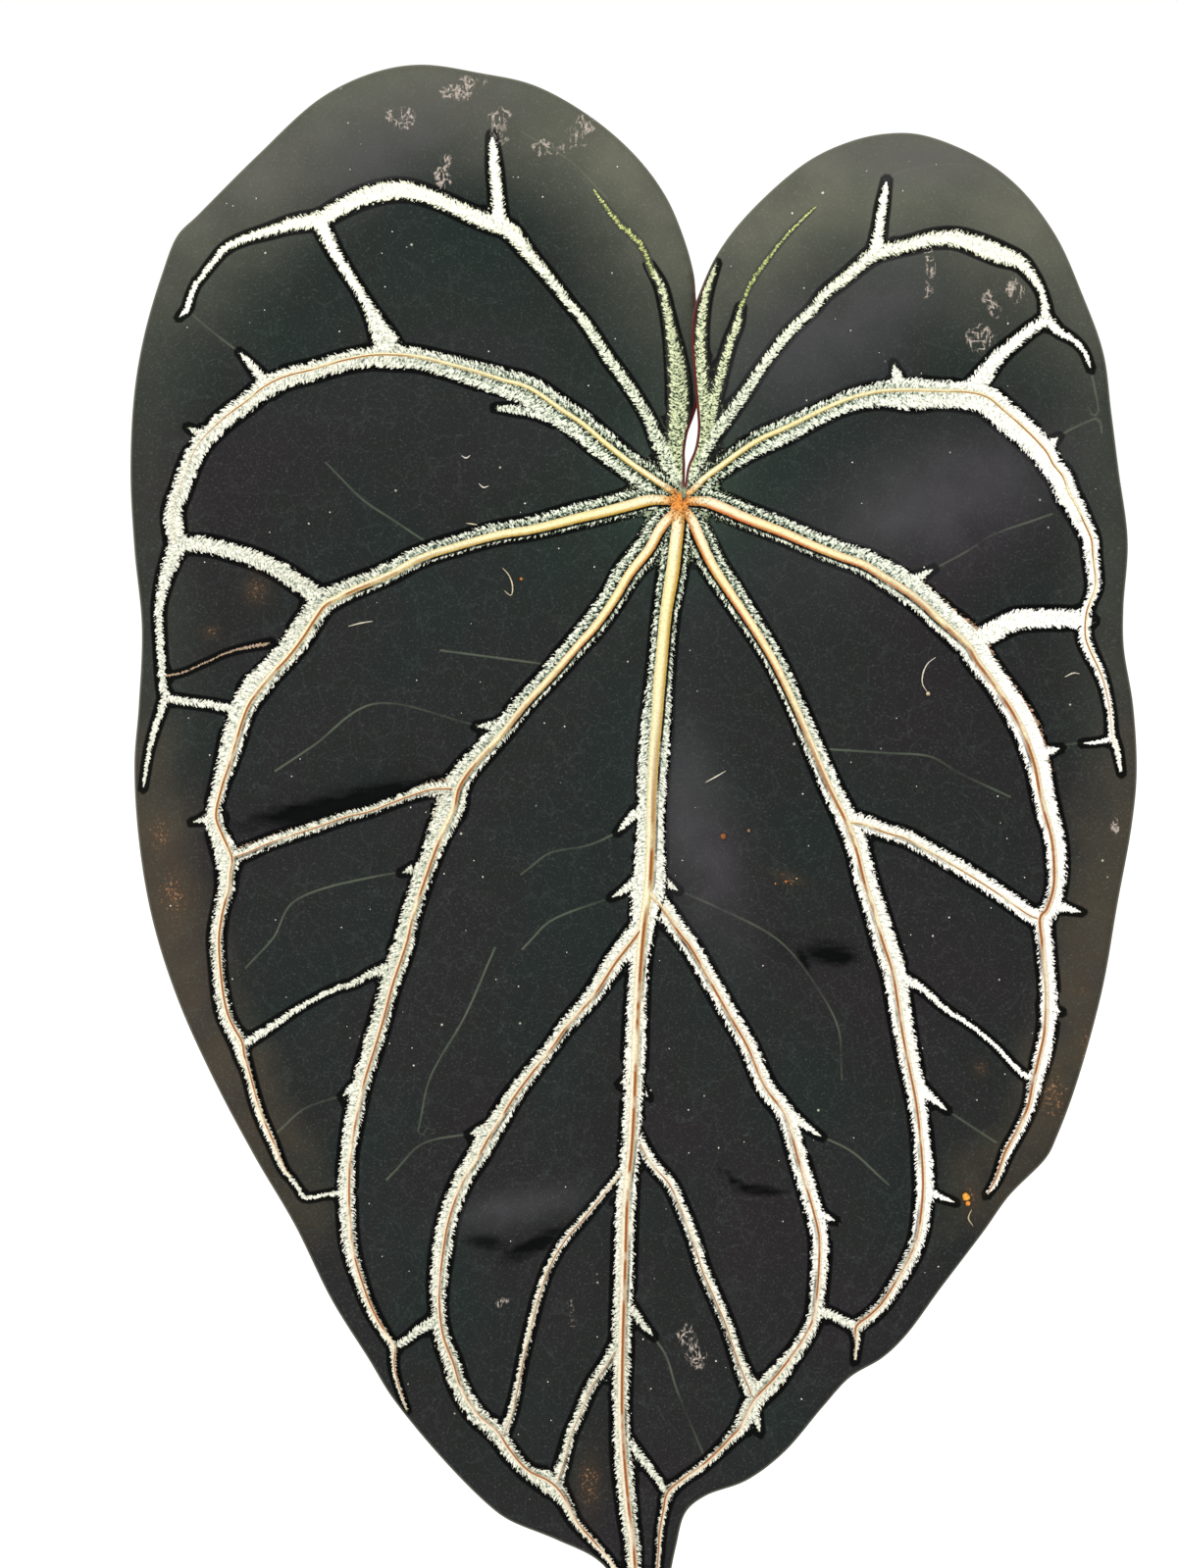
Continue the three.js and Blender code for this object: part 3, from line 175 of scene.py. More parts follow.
PRIMARIES: dict[Side, tuple[Vein, ...]] = {
    Side.LEFT: (
        Vein(
            (
                (-1, -2, 4), (-3.2, -3.1, 5), (-8.2, -6.2, 6.5), (-13.4, -9.8, 6.5),
                (-19.7, -14.7, 7), (-25, -19.2, 7.2), (-30.7, -23, 7.5), (-39, -28.5, 7.5),
                (-45.5, -30.5, 7), (-51.8, -32.5, 6.5), (-58.2, -34.4, 5.8), (-67, -36.5, 5.6),
                (-73.2, -37, 6), (-78.2, -37, 5.4), (-85.7, -35.7, 5), (-93.2, -33.5, 5),
                (-100.7, -31.5, 5.2), (-105.7, -29, 5.4), (-110.7, -25, 5), (-115.2, -21.7, 5),
                (-122, -15, 5), (-125, -9.2, 5), (-127.2, -3, 4.8), (-129, 2, 4.8),
                (-128.7, 7, 5), (-128, 10.7, 5),
            ),
            core=0.75, offset=-0.25, warmth=0.05,
        ),
        Vein(
            (
                (-1, -0.5, 4), (-7, -1, 5.2), (-13.4, 0.4, 6), (-19.7, 2, 6), (-26.2, 3.5, 6),
                (-32.6, 5.2, 5.6), (-39, 6.7, 5.2), (-45.5, 7.7, 5), (-53.2, 9.7, 4.9),
                (-58.2, 11.2, 4.8), (-63.2, 12.7, 4.8), (-68.2, 14.7, 4.9), (-73.2, 17.5, 5),
                (-78.2, 19.7, 5), (-83.2, 21.7, 5.2), (-88.2, 24, 5.6), (-91.2, 25.7, 6.4),
                (-93.7, 29, 6.4), (-97, 34, 6.8), (-100.7, 39, 6.3), (-104.5, 43, 6.4),
                (-107.7, 46.7, 7),
                (-110.7, 51, 6.6), (-112.5, 55.7, 6), (-114, 60.7, 6), (-115.7, 67, 5),
                (-117.2, 72, 4), (-118.9, 80.2, 4), (-117.6, 84.7, 5), (-116, 88.7, 6),
                (-115.2, 91.2, 6.4), (-115.4, 94.5, 5), (-115.7, 99, 4.2), (-116.7, 102.7, 3.5),
                (-118, 110.5, 3.5), (-117.6, 119.5, 3.2), (-116.7, 127, 3.5), (-115.7, 131, 3.6),
                (-114, 134.7, 3.7), (-112.2, 138, 4), (-111.5, 141.2, 3.2), (-110.2, 145, 2.3),
                (-107.3, 155.2, 2.2), (-103.7, 163.7, 2), (-100.6, 170.7, 1.3),
                (-99.2, 172.2, 1.2),
            ),
            core=1.4, offset=0.35, warmth=0.15,
        ),
        Vein(
            (
                (-1, 2, 4), (-3.2, 4, 5), (-5.7, 7, 6), (-8.2, 11.5, 6.2), (-13.4, 18, 6.5),
                (-17.2, 24.5, 6), (-22.2, 31.5, 6), (-26.2, 36, 5.6), (-33.2, 44.2, 5.2),
                (-39.7, 51.2, 5), (-46, 59, 5.2), (-52.5, 66, 5.6), (-55.7, 70, 6.2),
                (-57.5, 73.2, 7.2), (-58.6, 77.7, 8), (-60.5, 82.2, 6.6), (-62.5, 87.2, 5.5),
                (-66.2, 97.7, 5), (-69, 106.5, 5), (-70.2, 111.7, 5.3), (-71.5, 115.5, 5.7),
                (-74, 123.2, 5), (-76.2, 131.5, 5), (-78.5, 139.2, 5), (-81.1, 147.7, 4.6),
                (-83, 156.5, 4.5), (-84.6, 167, 4), (-84.9, 172.7, 4.3), (-84.8, 180.5, 4),
                (-84, 190, 3.8), (-81.5, 198.7, 3), (-78.6, 206.2, 2.5), (-75.2, 212, 2),
                (-73, 215.5, 1.9), (-73, 219.7, 1.3), (-72, 224.5, 1), (-69.6, 231.5, 0.6),
            ),
            core=1.25, offset=0.3, warmth=0.6,
        ),
        Vein(
            (
                (-10.5, 109.2, 5.5), (-13.4, 113, 5.5), (-16.5, 117, 5.2), (-22.2, 125.7, 4.4),
                (-29.5, 134.2, 3.8), (-32.6, 138.7, 3.5), (-39.7, 147.7, 4), (-42.8, 152, 4.4),
                (-46, 157.2, 5), (-49.2, 162.2, 5.5), (-51.8, 167, 5.2), (-54.5, 171.2, 4.8),
                (-57.1, 176.7, 4.8), (-59.5, 184.2, 5), (-60.5, 190, 5), (-61.5, 198.7, 4.4),
                (-61.5, 206.2, 3.6), (-60.5, 213, 4), (-58, 219.7, 4.5), (-56.2, 225.5, 4.5),
                (-52.2, 232.2, 4.5), (-46.5, 237.5, 4.5), (-43.7, 241.7, 4), (-39, 247, 3.6),
                (-33.2, 250.2, 5.6), (-30.2, 253.2, 4), (-26.5, 260, 2.4), (-21.7, 265.5, 1.8),
                (-17, 271.2, 1.5), (-14.5, 275.7, 1),
            ),
            core=1.2, offset=0.1, warmth=0.65,
        ),
        Vein(
            (
                (0.3, -5, 4), (-2, -9.5, 4.6), (-5.2, -15, 3.6), (-8.2, -21.7, 2.7),
                (-13.4, -30.2, 2.7), (-18.5, -37.2, 2.7), (-23.6, -45, 2.4), (-28.7, -51.2, 2.4),
                (-34, -58, 2.8), (-37, -61.5, 3), (-39.7, -64.7, 3.6), (-42.2, -68, 4.2),
                (-44.7, -70.2, 4.6), (-48.2, -71.2, 4.4), (-53.2, -73.2, 4.2), (-60.7, -76.7, 4),
                (-68.2, -79.2, 4.6), (-73.2, -79.5, 5), (-80.7, -77.7, 4.8), (-87, -74.7, 4.4),
                (-92, -72, 4.2), (-98.2, -71, 3.7), (-105.7, -68.7, 2.6), (-110.7, -67.2, 2.1),
                (-115.7, -64.7, 1.8), (-119.5, -60.5, 1.5), (-123.2, -55.5, 1.1),
            ),
            warmth=0.0, green=0.1,
        ),
    ),
    Side.RIGHT: (
        Vein(
            (
                (1, -1.5, 4), (3.2, -2.5, 4.2), (6.5, -5.7, 4.2), (11, -9, 4.4), (16, -12.5, 5.2),
                (21.2, -15.6, 6), (26.7, -18, 6), (31.7, -20.5, 5.6), (36.7, -23, 5.2),
                (41.7, -25.2, 5.2), (46.7, -26.7, 5.8), (51.7, -27.5, 6.4), (59.2, -27.5, 8.2),
                (66.7, -27.5, 6.8), (73, -27.2, 7.4), (78, -26, 7.4), (81.7, -23, 7.4),
                (86.7, -18.7, 7.2), (90.5, -15, 7), (93, -12.2, 6.4), (94.7, -9.2, 6),
                (97.2, -6, 6), (98.5, -2.2, 6), (100.5, 1, 5.4), (102.7, 5.5, 4.6), (104.5, 9.5, 4.2),
                (105, 14, 3.8), (105.7, 21.5, 3.3), (104.7, 24.7, 2.6), (103.5, 28.2, 2.8),
                (103.2, 34.5, 3.2), (104.5, 38.2, 3), (106.4, 42, 2.5), (108, 46, 2.1),
                (109.7, 53.7, 1.6), (110.2, 59.5, 1.9), (111.5, 63.2, 1.5), (112.5, 68.7, 0.8),
            ),
            core=0.75, offset=-0.3, warmth=0.05,
        ),
        Vein(
            (
                (1, -0.5, 4), (6.5, -0.5, 5.2), (11, 1, 5.8), (16, 3.2, 6), (21.2, 5.2, 6),
                (26.4, 7.2, 6), (34.5, 10.7, 6), (41, 13.2, 6.2), (47.5, 15.5, 6.5),
                (52.5, 18.5, 7), (57.7, 21.6, 7.5), (62.7, 25.5, 7.2), (66.6, 29.2, 7.2),
                (70.5, 32.5, 7.8), (74.6, 36.2, 8.4), (76.7, 40.2, 7.2), (79.5, 44, 6.4),
                (82.7, 48.5, 6.6), (85.7, 53, 7), (88.5, 58.2, 7), (90.2, 62.7, 7), (91.6, 67.7, 6.2),
                (92.5, 73, 5.8), (93.7, 78.5, 5.8), (95.5, 85.2, 5.2), (96.2, 92, 5),
                (95.9, 98.7, 4.4), (94, 104.5, 4.6), (92.7, 106, 4.8), (93, 112, 4.3),
                (93.5, 117.7, 4.2), (94, 123.5, 4.2), (94, 130.2, 4.3), (93.5, 136, 4.2),
                (92, 142.7, 4.2), (90.5, 148.5, 3.6), (89.2, 154.2, 2.8), (86.2, 160.7, 2.5),
                (83.5, 165.5, 2.4), (80.5, 173.2, 1.5), (78.4, 176.4, 0.8),
            ),
            core=1.4, offset=0.3, warmth=0.9,
        ),
        Vein(
            (
                (1.5, 2, 4), (3.2, 4.5, 5), (5.7, 10.2, 6.2), (8.5, 16, 6.2), (13.5, 23.7, 6),
                (18.7, 31.5, 5.4), (23.7, 39.7, 5), (26.4, 45, 4.8), (30.2, 53.2, 4.8),
                (34, 62.2, 4.9), (38.2, 72, 5.2), (40.5, 76.7, 5.4), (43, 81.7, 5.8), (45.6, 89, 5.7),
                (47.5, 96.7, 5.8), (50, 104.5, 5.9), (52.2, 112, 6.2), (54.7, 119.7, 6.2),
                (56.1, 128.2, 5.8), (57.5, 137, 5.4), (59, 144.5, 5.3), (60.5, 152.2, 4.8),
                (61.5, 160, 4.4), (62.4, 173.2, 4.7), (61.9, 181, 4.2), (60.7, 188.2, 3.8),
                (58, 194.5, 3.6), (54.7, 200, 3.4), (51.7, 204.5, 3.2), (48.7, 207.5, 3.2),
                (45.2, 210.5, 3), (45.2, 214, 1.4), (44.7, 218.7, 0.8),
            ),
            core=1.3, offset=0.1, warmth=0.75,
        ),
        Vein(
            (
                (-7.7, 99.5, 5), (-5, 102.7, 5), (-2.5, 106, 5), (0, 109.7, 4.7), (2.6, 113, 4.6),
                (7.1, 120.7, 4.5), (12.2, 129.7, 4.4), (17.4, 138.7, 4.4), (21.9, 149, 4.6),
                (27, 156, 4.6), (28.5, 160.5, 4.6), (30, 166.2, 4.5), (32.2, 173.7, 4.5),
                (34.2, 180.5, 4.5), (35.7, 187.2, 4.5), (35.7, 194.7, 4.3), (35.2, 201.5, 4),
                (34.2, 208.2, 3.8), (31.9, 213, 3.8), (28, 218.7, 4.2), (24.2, 223.5, 5.4),
                (19, 229.2, 5), (15.5, 236, 3.8), (13, 238.7, 3), (10.7, 241.2, 2.5),
                (5.5, 246, 2.2), (0.2, 249.7, 2.1), (-3, 252.7, 2.9), (-4, 257, 1.8),
                (-5, 262.7, 1.6), (-5.5, 270.5, 1.2), (-6.2, 275.7, 0.8),
            ),
            core=1.2, offset=0.0, warmth=0.9,
        ),
        Vein(
            (
                (2, -5.5, 3), (4.7, -10.5, 3.4), (7.7, -15.5, 3.2), (12.2, -21.7, 3),
                (15.5, -26.2, 2.8), (21.2, -34.7, 2.6), (27.7, -43, 2.6), (34, -49.2, 2.6),
                (37.2, -53.2, 2.8), (41.7, -56.7, 3), (46.7, -61, 3.4), (49.2, -63, 3.8),
                (53, -64.2, 3.6), (59.2, -65.7, 3.6), (64.2, -67, 3.8), (70.5, -67.2, 4.3),
                (76.7, -65.2, 5), (81.7, -63.2, 4.9), (86.7, -61.2, 3.6), (89.2, -58.5, 2.8),
                (91, -56, 2.1), (92.7, -52.2, 1.7), (93.2, -49.2, 2.4), (93.7, -46, 2.6),
            ),
            warmth=0.0, green=0.1,
        ),
    ),
}

BRANCHES: dict[Side, tuple[Vein, ...]] = {
    Side.LEFT: (
        Vein(((-128, 10.7, 5), (-131.2, 19.5, 3.5), (-132.7, 27, 2.4), (-132.5, 34.5, 2.1),
              (-131.7, 47, 2.1), (-131.2, 49.7, 2.3), (-132.7, 54.5, 1.8), (-135.2, 63.2, 1.2),
              (-136.7, 72.7, 0.7))),
        Vein(((-128, 10.7, 4), (-120.7, 11, 4.2), (-114.5, 12.5, 4.2), (-107, 15, 4.4),
              (-100.7, 18.2, 4.6), (-95.2, 22, 4.8), (-91.2, 24.5, 5))),
        Vein(((-131.2, 50, 2), (-124.5, 51, 2), (-119.5, 51.7, 2), (-112.5, 53.2, 2.4))),
        Vein(((-58, 72.7, 5), (-63.2, 73, 3.8), (-68.2, 74.5, 2.8), (-74, 76.7, 2.4),
              (-79.2, 78.7, 2.5), (-85.5, 80.2, 2.8), (-92, 82.5, 3), (-98.2, 84.5, 3),
              (-104.7, 86.7, 3.1), (-110, 89, 3.4), (-115, 90.7, 3.8)), core=0.6, warmth=0.8),
        Vein(((-74.2, 118.7, 3.2), (-79.2, 120.5, 2), (-83, 122.7, 1.6), (-87.5, 124, 1.3),
              (-97, 129, 1.4), (-105.5, 134.7, 2), (-111.2, 138.2, 2.6))),
        Vein(((-99.2, 172.2, 1.2), (-97.2, 175, 1.1), (-95.7, 177.2, 1.1), (-90.7, 176.7, 0.9),
              (-87, 176.2, 1.5), (-84.9, 176.2, 1.9))),
        Vein(((-73, 215.5, 1.8), (-69.5, 213.5, 2), (-65.7, 210.5, 2.6), (-61.8, 208.8, 3.5))),
        Vein(((-46, -71.2, 4), (-46.5, -78, 3.2), (-47.2, -85.5, 3), (-47.8, -93, 1.5))),
        Vein(((-92, -72, 4), (-88.2, -64.2, 3.2), (-85.2, -59.2, 2.8), (-82, -54.2, 2.6),
              (-78.7, -48.5, 3.4), (-75.7, -42.5, 6), (-73.7, -38.5, 7))),
        Vein(((0, -6, 3.6), (-0.8, -12, 4.2), (-0.6, -18, 5), (-0.2, -28, 5.2),
              (-1.2, -38, 4), (-2.1, -43, 3), (-3.1, -48, 2.4), (-4.2, -53, 2.2),
              (-5, -55.5, 2), (-7.6, -60.2, 1.3)), green=0.45),
        Vein(((-123, -56.2, 1.2), (-124.6, -52.6, 1.3), (-125.6, -49.2, 1.5),
              (-127.4, -47.3, 0.8))),
        Vein(((-6.6, -57.5, 1.6), (-10, -65.5, 2), (-16.4, -72.1, 1.9), (-22, -79.7, 1)),
             green=1.0),
        Vein(((-13.2, 169, 2.4), (-16, 172.2, 1.6), (-19.7, 176.7, 1.6), (-24.5, 182.5, 1.8),
              (-29.4, 188.2, 2), (-33.2, 194.7, 2), (-36, 202.5, 2), (-38, 210.2, 1.9),
              (-40, 218.7, 1.8), (-41.7, 227.2, 1.9), (-43.2, 233, 2.3), (-45, 237.5, 2.6)),
             core=0.6, warmth=0.9),
        Vein(((-14.8, 213, 4), (-18.7, 219.7, 3.2), (-22.7, 225.5, 2.8), (-25.5, 232.2, 2.6),
              (-28, 238, 2.6), (-29.7, 244.5, 3), (-31.5, 250, 3.4)), core=0.5, warmth=0.3),
        Vein(((-104.5, -29, 4), (-108.5, -34, 2.2), (-112, -38, 0.8))),
        Vein(((-45.5, 57, 3), (-51.5, 57.2, 1))),
        Vein(((-46.5, -24, 1.2), (-42, -23.6, 2.2), (-37, -22.6, 2), (-32.5, -20.2, 1))),
        Vein(((-68, 93.6, 2.6), (-70.7, 94.5, 0.8))),
        Vein(((-83, 149, 2.4), (-85.8, 151.4, 0.8))),
        Vein(((-49.5, 159.6, 2.8), (-53.4, 161.1, 0.9))),
        Vein(((-11, 79, 2.6), (-13.6, 81.8, 1.6), (-15.7, 84, 0.8))),
        Vein(((-11, 96.5, 2.8), (-14.5, 99.2, 1.6), (-17.2, 100.7, 0.8))),
        Vein(((-12.6, 146.6, 2), (-15.2, 148.2, 0.7))),
        Vein(((-117.5, 80.6, 3), (-121, 81, 1.6), (-124, 81.6, 0.7))),
        Vein(((-121, -16.8, 3), (-125.2, -18.9, 0.8))),
        Vein(((-131.6, 44.4, 0.6), (-127, 43.6, 0.4), (-121, 41, 0.4), (-114, 38, 0.5),
              (-104.5, 36, 1)), warmth=0.85),
    ),
    Side.RIGHT: (
        Vein(((74.5, 36.2, 5), (78, 34, 5.2), (81.7, 32, 5.4), (85.5, 30.2, 5.4), (91.7, 29.7, 5),
              (98, 29.7, 5), (103.5, 30.2, 4.4))),
        Vein(((110.2, 60.2, 1.4), (106.7, 61.2, 0.9), (103, 61.5, 0.7))),
        Vein(((74, -28, 5.4), (78, -33, 4.4), (81.7, -37.5, 3.6), (86.7, -41.7, 3.1),
              (90.5, -44.7, 3), (93.7, -46, 3), (96.7, -43.5, 2.1), (100.5, -41.2, 1.4),
              (103, -38.5, 1.1), (104.7, -34.2, 0.8))),
        Vein(((50, -63.4, 4), (51, -70.5, 2.6), (51.7, -75.5, 2.3), (52.7, -81.6, 1.3))),
        Vein(((3, -7, 2.6), (6.2, -18, 3.4), (5.9, -25, 3.6), (5.4, -34.7, 3.4),
              (5.2, -41, 3), (5.7, -47.5, 2.5), (6.6, -53, 2.2), (7.7, -56.5, 1.8),
              (9.2, -60.5, 1.1)), green=0.45),
        Vein(((4, -9, 2.6), (7.7, -20.7, 3), (8.9, -26.2, 2.8), (11.2, -35.2, 2.5),
              (12.9, -41, 2.3), (14.7, -45.5, 2.1), (15.5, -49.5, 1.3)), green=0.45),
        Vein(((15.5, -49.5, 1.3), (18.2, -55.7, 1.5), (23.2, -63, 1.4), (28.2, -69, 1.2),
              (35, -75.6, 0.8)), green=1.0),
        Vein(((43, 81.2, 5), (47.5, 82, 4.2), (52.7, 84, 4), (57.7, 85.5, 4), (62.7, 88.2, 4),
              (72.5, 93.9, 4), (82, 100, 4), (89.6, 105.2, 4.2), (92.7, 106.3, 4.4)),
             core=0.7, warmth=0.3),
        Vein(((57, 121.5, 3), (61, 123.5, 2), (67.7, 129.2, 1.3), (74.2, 133.5, 1.1),
              (81, 139.2, 1), (86.7, 145.2, 1.3), (90.5, 147.6, 2))),
        Vein(((57, 21, 4), (61, 19.2, 2.2), (64.5, 17.2, 0.8))),
        Vein(((92.6, 64, 3.4), (96.8, 62.8, 0.9))),
        Vein(((95, 102.3, 4), (98.5, 103.6, 2), (102.2, 104.5, 0.7))),
        Vein(((93.4, 128.6, 3), (97, 130, 0.8))),
        Vein(((61, 149.4, 4), (65, 152.6, 1.8), (68, 155, 0.8))),
        Vein(((62.2, 175, 3), (66, 177, 1.4), (70, 178.5, 0.6))),
        Vein(((28.4, 156.3, 3.2), (32.4, 159.3, 1.7), (36, 161.7, 0.8))),
        Vein(((34.8, 181.2, 2.6), (39.5, 183.2, 0.8))),
        Vein(((-12.2, 158.6, 2.6), (-10.2, 163, 3), (-6.9, 168.6, 3), (-2.5, 173.7, 3), (0.7, 180.5, 3),
              (3.7, 188.2, 3), (6, 195.7, 3), (9.4, 203.5, 3), (12.2, 210.2, 3),
              (14.7, 217.7, 3.2), (17, 223.5, 4), (19, 228, 4.4)), core=0.7, warmth=0.6),
        Vein(((34.8, 206.2, 3), (38.5, 207.2, 2.5), (42.5, 209.2, 2.5), (45.2, 210.5, 2.8))),
        Vein(((-13.8, 238.6, 3), (-9.2, 244.5, 2.4), (-6, 248.5, 1.8), (-3.3, 252.6, 1.9))),
        Vein(((-13.5, 204.2, 3), (-9.6, 209.4, 1.9), (-6.9, 212.5, 0.9))),
        Vein(((18.8, 231, 3), (20.4, 237, 0.8))),
        Vein(((-4, 96.8, 2.6), (-0.5, 99, 0.8))),
        Vein(((-9.8, 149.6, 2), (-8.1, 151.6, 0.7))),
        Vein(((93, -13.6, 4), (96.4, -16.4, 0.9))),
        Vein(((56, -30, 4), (54.6, -35, 0.9))),
    ),
}

# Faint veins that only tint the velvet, as (across, down) in mm from the joint
FAINT_VEINS: dict[Side, tuple[Rows, ...]] = {
    Side.LEFT: (
        ((-112, -38), (-119.5, -43.7), (-125, -48.5)),
        ((-70.7, 94.5), (-76.2, 95.2), (-98.5, 102), (-103.5, 111), (-108.7, 116.7)),
        ((-85.5, 151.2), (-95.7, 154.7), (-101.5, 159.7)),
        ((-53.2, 161), (-65.7, 163.7), (-72.7, 170.7)),
        ((-48.2, 116.2), (-54.7, 131), (-63.7, 147), (-66.2, 158)),
        ((-51.5, 57), (-78.2, 51.5), (-93.2, 62), (-100.7, 67)),
        ((-37, 41), (-48.2, 39.5), (-58.2, 38.2)),
        ((-65.7, 9.5), (-73.2, 4.5), (-80.7, -0.5), (-88.2, -8)),
        ((-15.7, 84.2), (-23.2, 87.5), (-33.2, 89.5), (-38.2, 93.2)),
        ((-17.2, 100.7), (-33.2, 107), (-38.2, 112)),
        ((-20.5, -79.5), (-28, -87), (-38, -93)),
    ),
    Side.RIGHT: (
        ((-0.5, 99), (9.2, 103.2), (25.5, 112), (35.5, 124.5), (40.5, 134.5), (41.2, 144.5)),
        ((96.2, -16.2), (98.7, -18), (106.7, -21.7)),
        ((64.5, 17.2), (73, 12.7), (79.2, 8.7), (92.2, 4)),
        ((37.5, 63), (53, 64), (64.2, 65), (70.5, 68.7), (81.7, 74)),
        ((36, 161.7), (43.7, 165.5), (51.2, 172.2)),
        ((-6.9, 212.5), (-3.5, 217.7), (-0.7, 226.5), (6, 242.7)),
        ((52.7, -81.2), (54.7, -83.5), (69.2, -86.2), (76.7, -85), (84.2, -80)),
        ((104.7, -34.2), (106.7, -24.2), (107.2, -20.5)),
        ((68, 155), (78.2, 161.7)),
        ((100.7, 61.6), (93.5, 62.6)),
    ),
}

# Marks as (kind, across, down, half length, half width, turn) in mm and degrees: rust and scuffs of
# age, painted fold shade and painted sheen
BLOTS: tuple[tuple[Blot, float, float, float, float, float], ...] = (
    (Blot.RUST, -132.6, 85, 3, 5, 0),
    (Blot.RUST, -119.5, 33.2, 2, 1.6, 0),
    (Blot.RUST, -108, 22.5, 3, 3.4, 0),
    (Blot.RUST, 28, 96, 3.6, 1.2, -15),
    (Blot.RUST, 95.5, 151.5, 4.5, 7, 0),
    (Blot.RUST, 76.8, 144.5, 1.6, 1.6, 0),
    (Blot.RUST, 103, 124.5, 1.6, 1.6, 0),
    (Blot.RUST, 74.4, 177, 2, 3, 0),
    (Blot.RUST, -129, 100, 4, 8, 0),
    (Blot.RUST, 104, 140, 3, 6, 0),
    (Blot.RUST, -23, 250, 3, 7, 0),
    (Blot.SCUFF, -70.8, -98, 5, 4, 0),
    (Blot.SCUFF, -55.5, -105, 8, 4, 20),
    (Blot.SCUFF, -46.5, -97, 4, 6, 0),
    (Blot.SCUFF, -60, -84, 3, 6, 0),
    (Blot.SCUFF, -35, -90, 4, 3, 0),
    (Blot.SCUFF, -26, -93.5, 7, 4, 40),
    (Blot.SCUFF, 63.6, -60.5, 2.5, 12, 0),
    (Blot.SCUFF, 77, -42, 6, 5, 0),
    (Blot.SCUFF, 80, -50, 3, 6, 20),
    (Blot.SCUFF, 86, -54, 3.5, 4, 0),
    (Blot.SCUFF, -45.7, 204, 3, 2.2, 45),
    (Blot.SCUFF, -27.6, 206.4, 2, 7, 0),
    (Blot.SCUFF, 3, 214.5, 4.5, 8, 0),
    (Blot.SCUFF, 111.2, 83.2, 1.6, 3.4, 0),
    # painted shade in the folds beside the creases
    (Blot.HOLLOW, -86, 77, 31, 3.6, 13),
    (Blot.HOLLOW, 38, 115, 8, 3.4, -6),
    (Blot.HOLLOW, 31, 116.5, 5, 0.8, -55),
    (Blot.HOLLOW, -49.5, 188.6, 6.5, 2.3, -4),
    (Blot.HOLLOW, -37, 189.5, 10.5, 2.6, 26),
    (Blot.HOLLOW, 21, 175.6, 7, 1.5, -4),
    (Blot.HOLLOW, 13.5, 172.6, 6, 1.1, -38),
    (Blot.HOLLOW, 11, 177, 3, 0.6, 12),
    # painted sheen: pale grey-violet patches where the face catches light
    (Blot.BLOOM, -43, 180.5, 14, 3.6, 12),
    (Blot.BLOOM, 66, -1, 26, 13, 20),
    (Blot.BLOOM, 4, 83, 8, 22, 15),
    (Blot.BLOOM, 40, -44, 26, 12, 35),
    (Blot.BLOOM, -77, -92, 30, 10, 20),
    (Blot.BLOOM, 60, -88, 26, 7, -6),
)

# Soft creases of the face as (across, down) of both ends, depth and half width in mm, where a
# negative depth is a raised fold
CREASES: tuple[tuple[float, ...], ...] = (
    (-107, 82, -68, 70, 2.6, 3.2),
    (27, 113, 46, 115, 2.2, 3.6),
    (11.7, 174.5, 25, 176.5, 1.5, 3.0),
    (-52, 186, -42, 183, 1.6, 2.6),
    (-44, 192, -29, 185.5, 2.2, 3.0),
    (26.5, 111, 30.5, 118, 1.0, 0.9),
    (-30, 150, -22, 205, -1.6, 9.0),
    (15, 125, 24, 150, -1.4, 10.0),
    (-52, 180, -32, 178, -1.2, 4.0),
    (-90, 60, -60, 60, -1.2, 9.0),
    (50, 0, 85, 5, -1.3, 10.0),
)

# Fibres that lie on the blade as (shade, route): 0 is bleached, 0.5 brown and 1 amber
FIBRES: tuple[tuple[float, Rows], ...] = (
    (0.25, ((-45.2, 16.8), (-43.6, 18.6), (-42.6, 21.4), (-43, 23.8), (-44.7, 22.6))),
    (0.1, ((65.2, 39.6), (63.2, 41.2), (62, 43.8), (61.9, 46.4), (63, 48.3))),
    (0.1, ((-84.4, 31.7), (-81.4, 30.9), (-78.3, 30.4))),
    (0.1, ((6.6, 71.5), (9.3, 70), (11.7, 68.6))),
    (0.2, ((-54.4, 5.4), (-51.6, 5.8))),
    (0.1, ((98.2, 44.6), (100.4, 43.6), (101.9, 43.8))),
    (0.35, ((74.4, 180.4), (73.6, 182.6), (74.8, 184.6))),
    (0.05, ((-55.6, -11.8), (-54.4, -11.2), (-53.4, -11.9))),
    (0.05, ((-51.2, -4.7), (-50, -3.7), (-48.7, -4.1))),
)

# Drops and lumps on the blade as (shade, across, down, width in mm)
DROPS: tuple[tuple[float, float, float, float], ...] = (
    (0.8, -40.4, 19.6, 0.8),
    (0.3, 63.3, 48.8, 1.1),
    (0.6, 11.1, 85.2, 1.5),
    (0.5, 17.6, 83.8, 0.9),
    (1.0, 73, 177.2, 2.0),
    (0.9, 73.5, 178.8, 1.3),
    (0.0, 36.5, -78.8, 0.7),
    (0.0, 28.7, -73.6, 0.6),
    (0.1, 30.6, -71.6, 0.5),
    (0.9, 24.4, 97.3, 0.4),
    (0.8, 27.1, 96.8, 0.6),
    (0.3, 29.8, 96, 0.4),
    (0.7, 28.4, 97.4, 0.4),
)


# Small tools


def tone(code: str) -> tuple[float, float, float, float]:
    """Turns an sRGB hex colour into the linear colour that a shader takes.

    Args:
        code: the colour, such as "#c8d2c3".

    Returns:
        Red, green, blue and alpha, with an alpha of 1.
    """
    channels = [int(code[i:i + 2], 16) / 255 for i in (1, 3, 5)]
    linear = [c / 12.92 if c <= 0.04045 else ((c + 0.055) / 1.055) ** 2.4 for c in channels]
    return (*linear, 1.0)


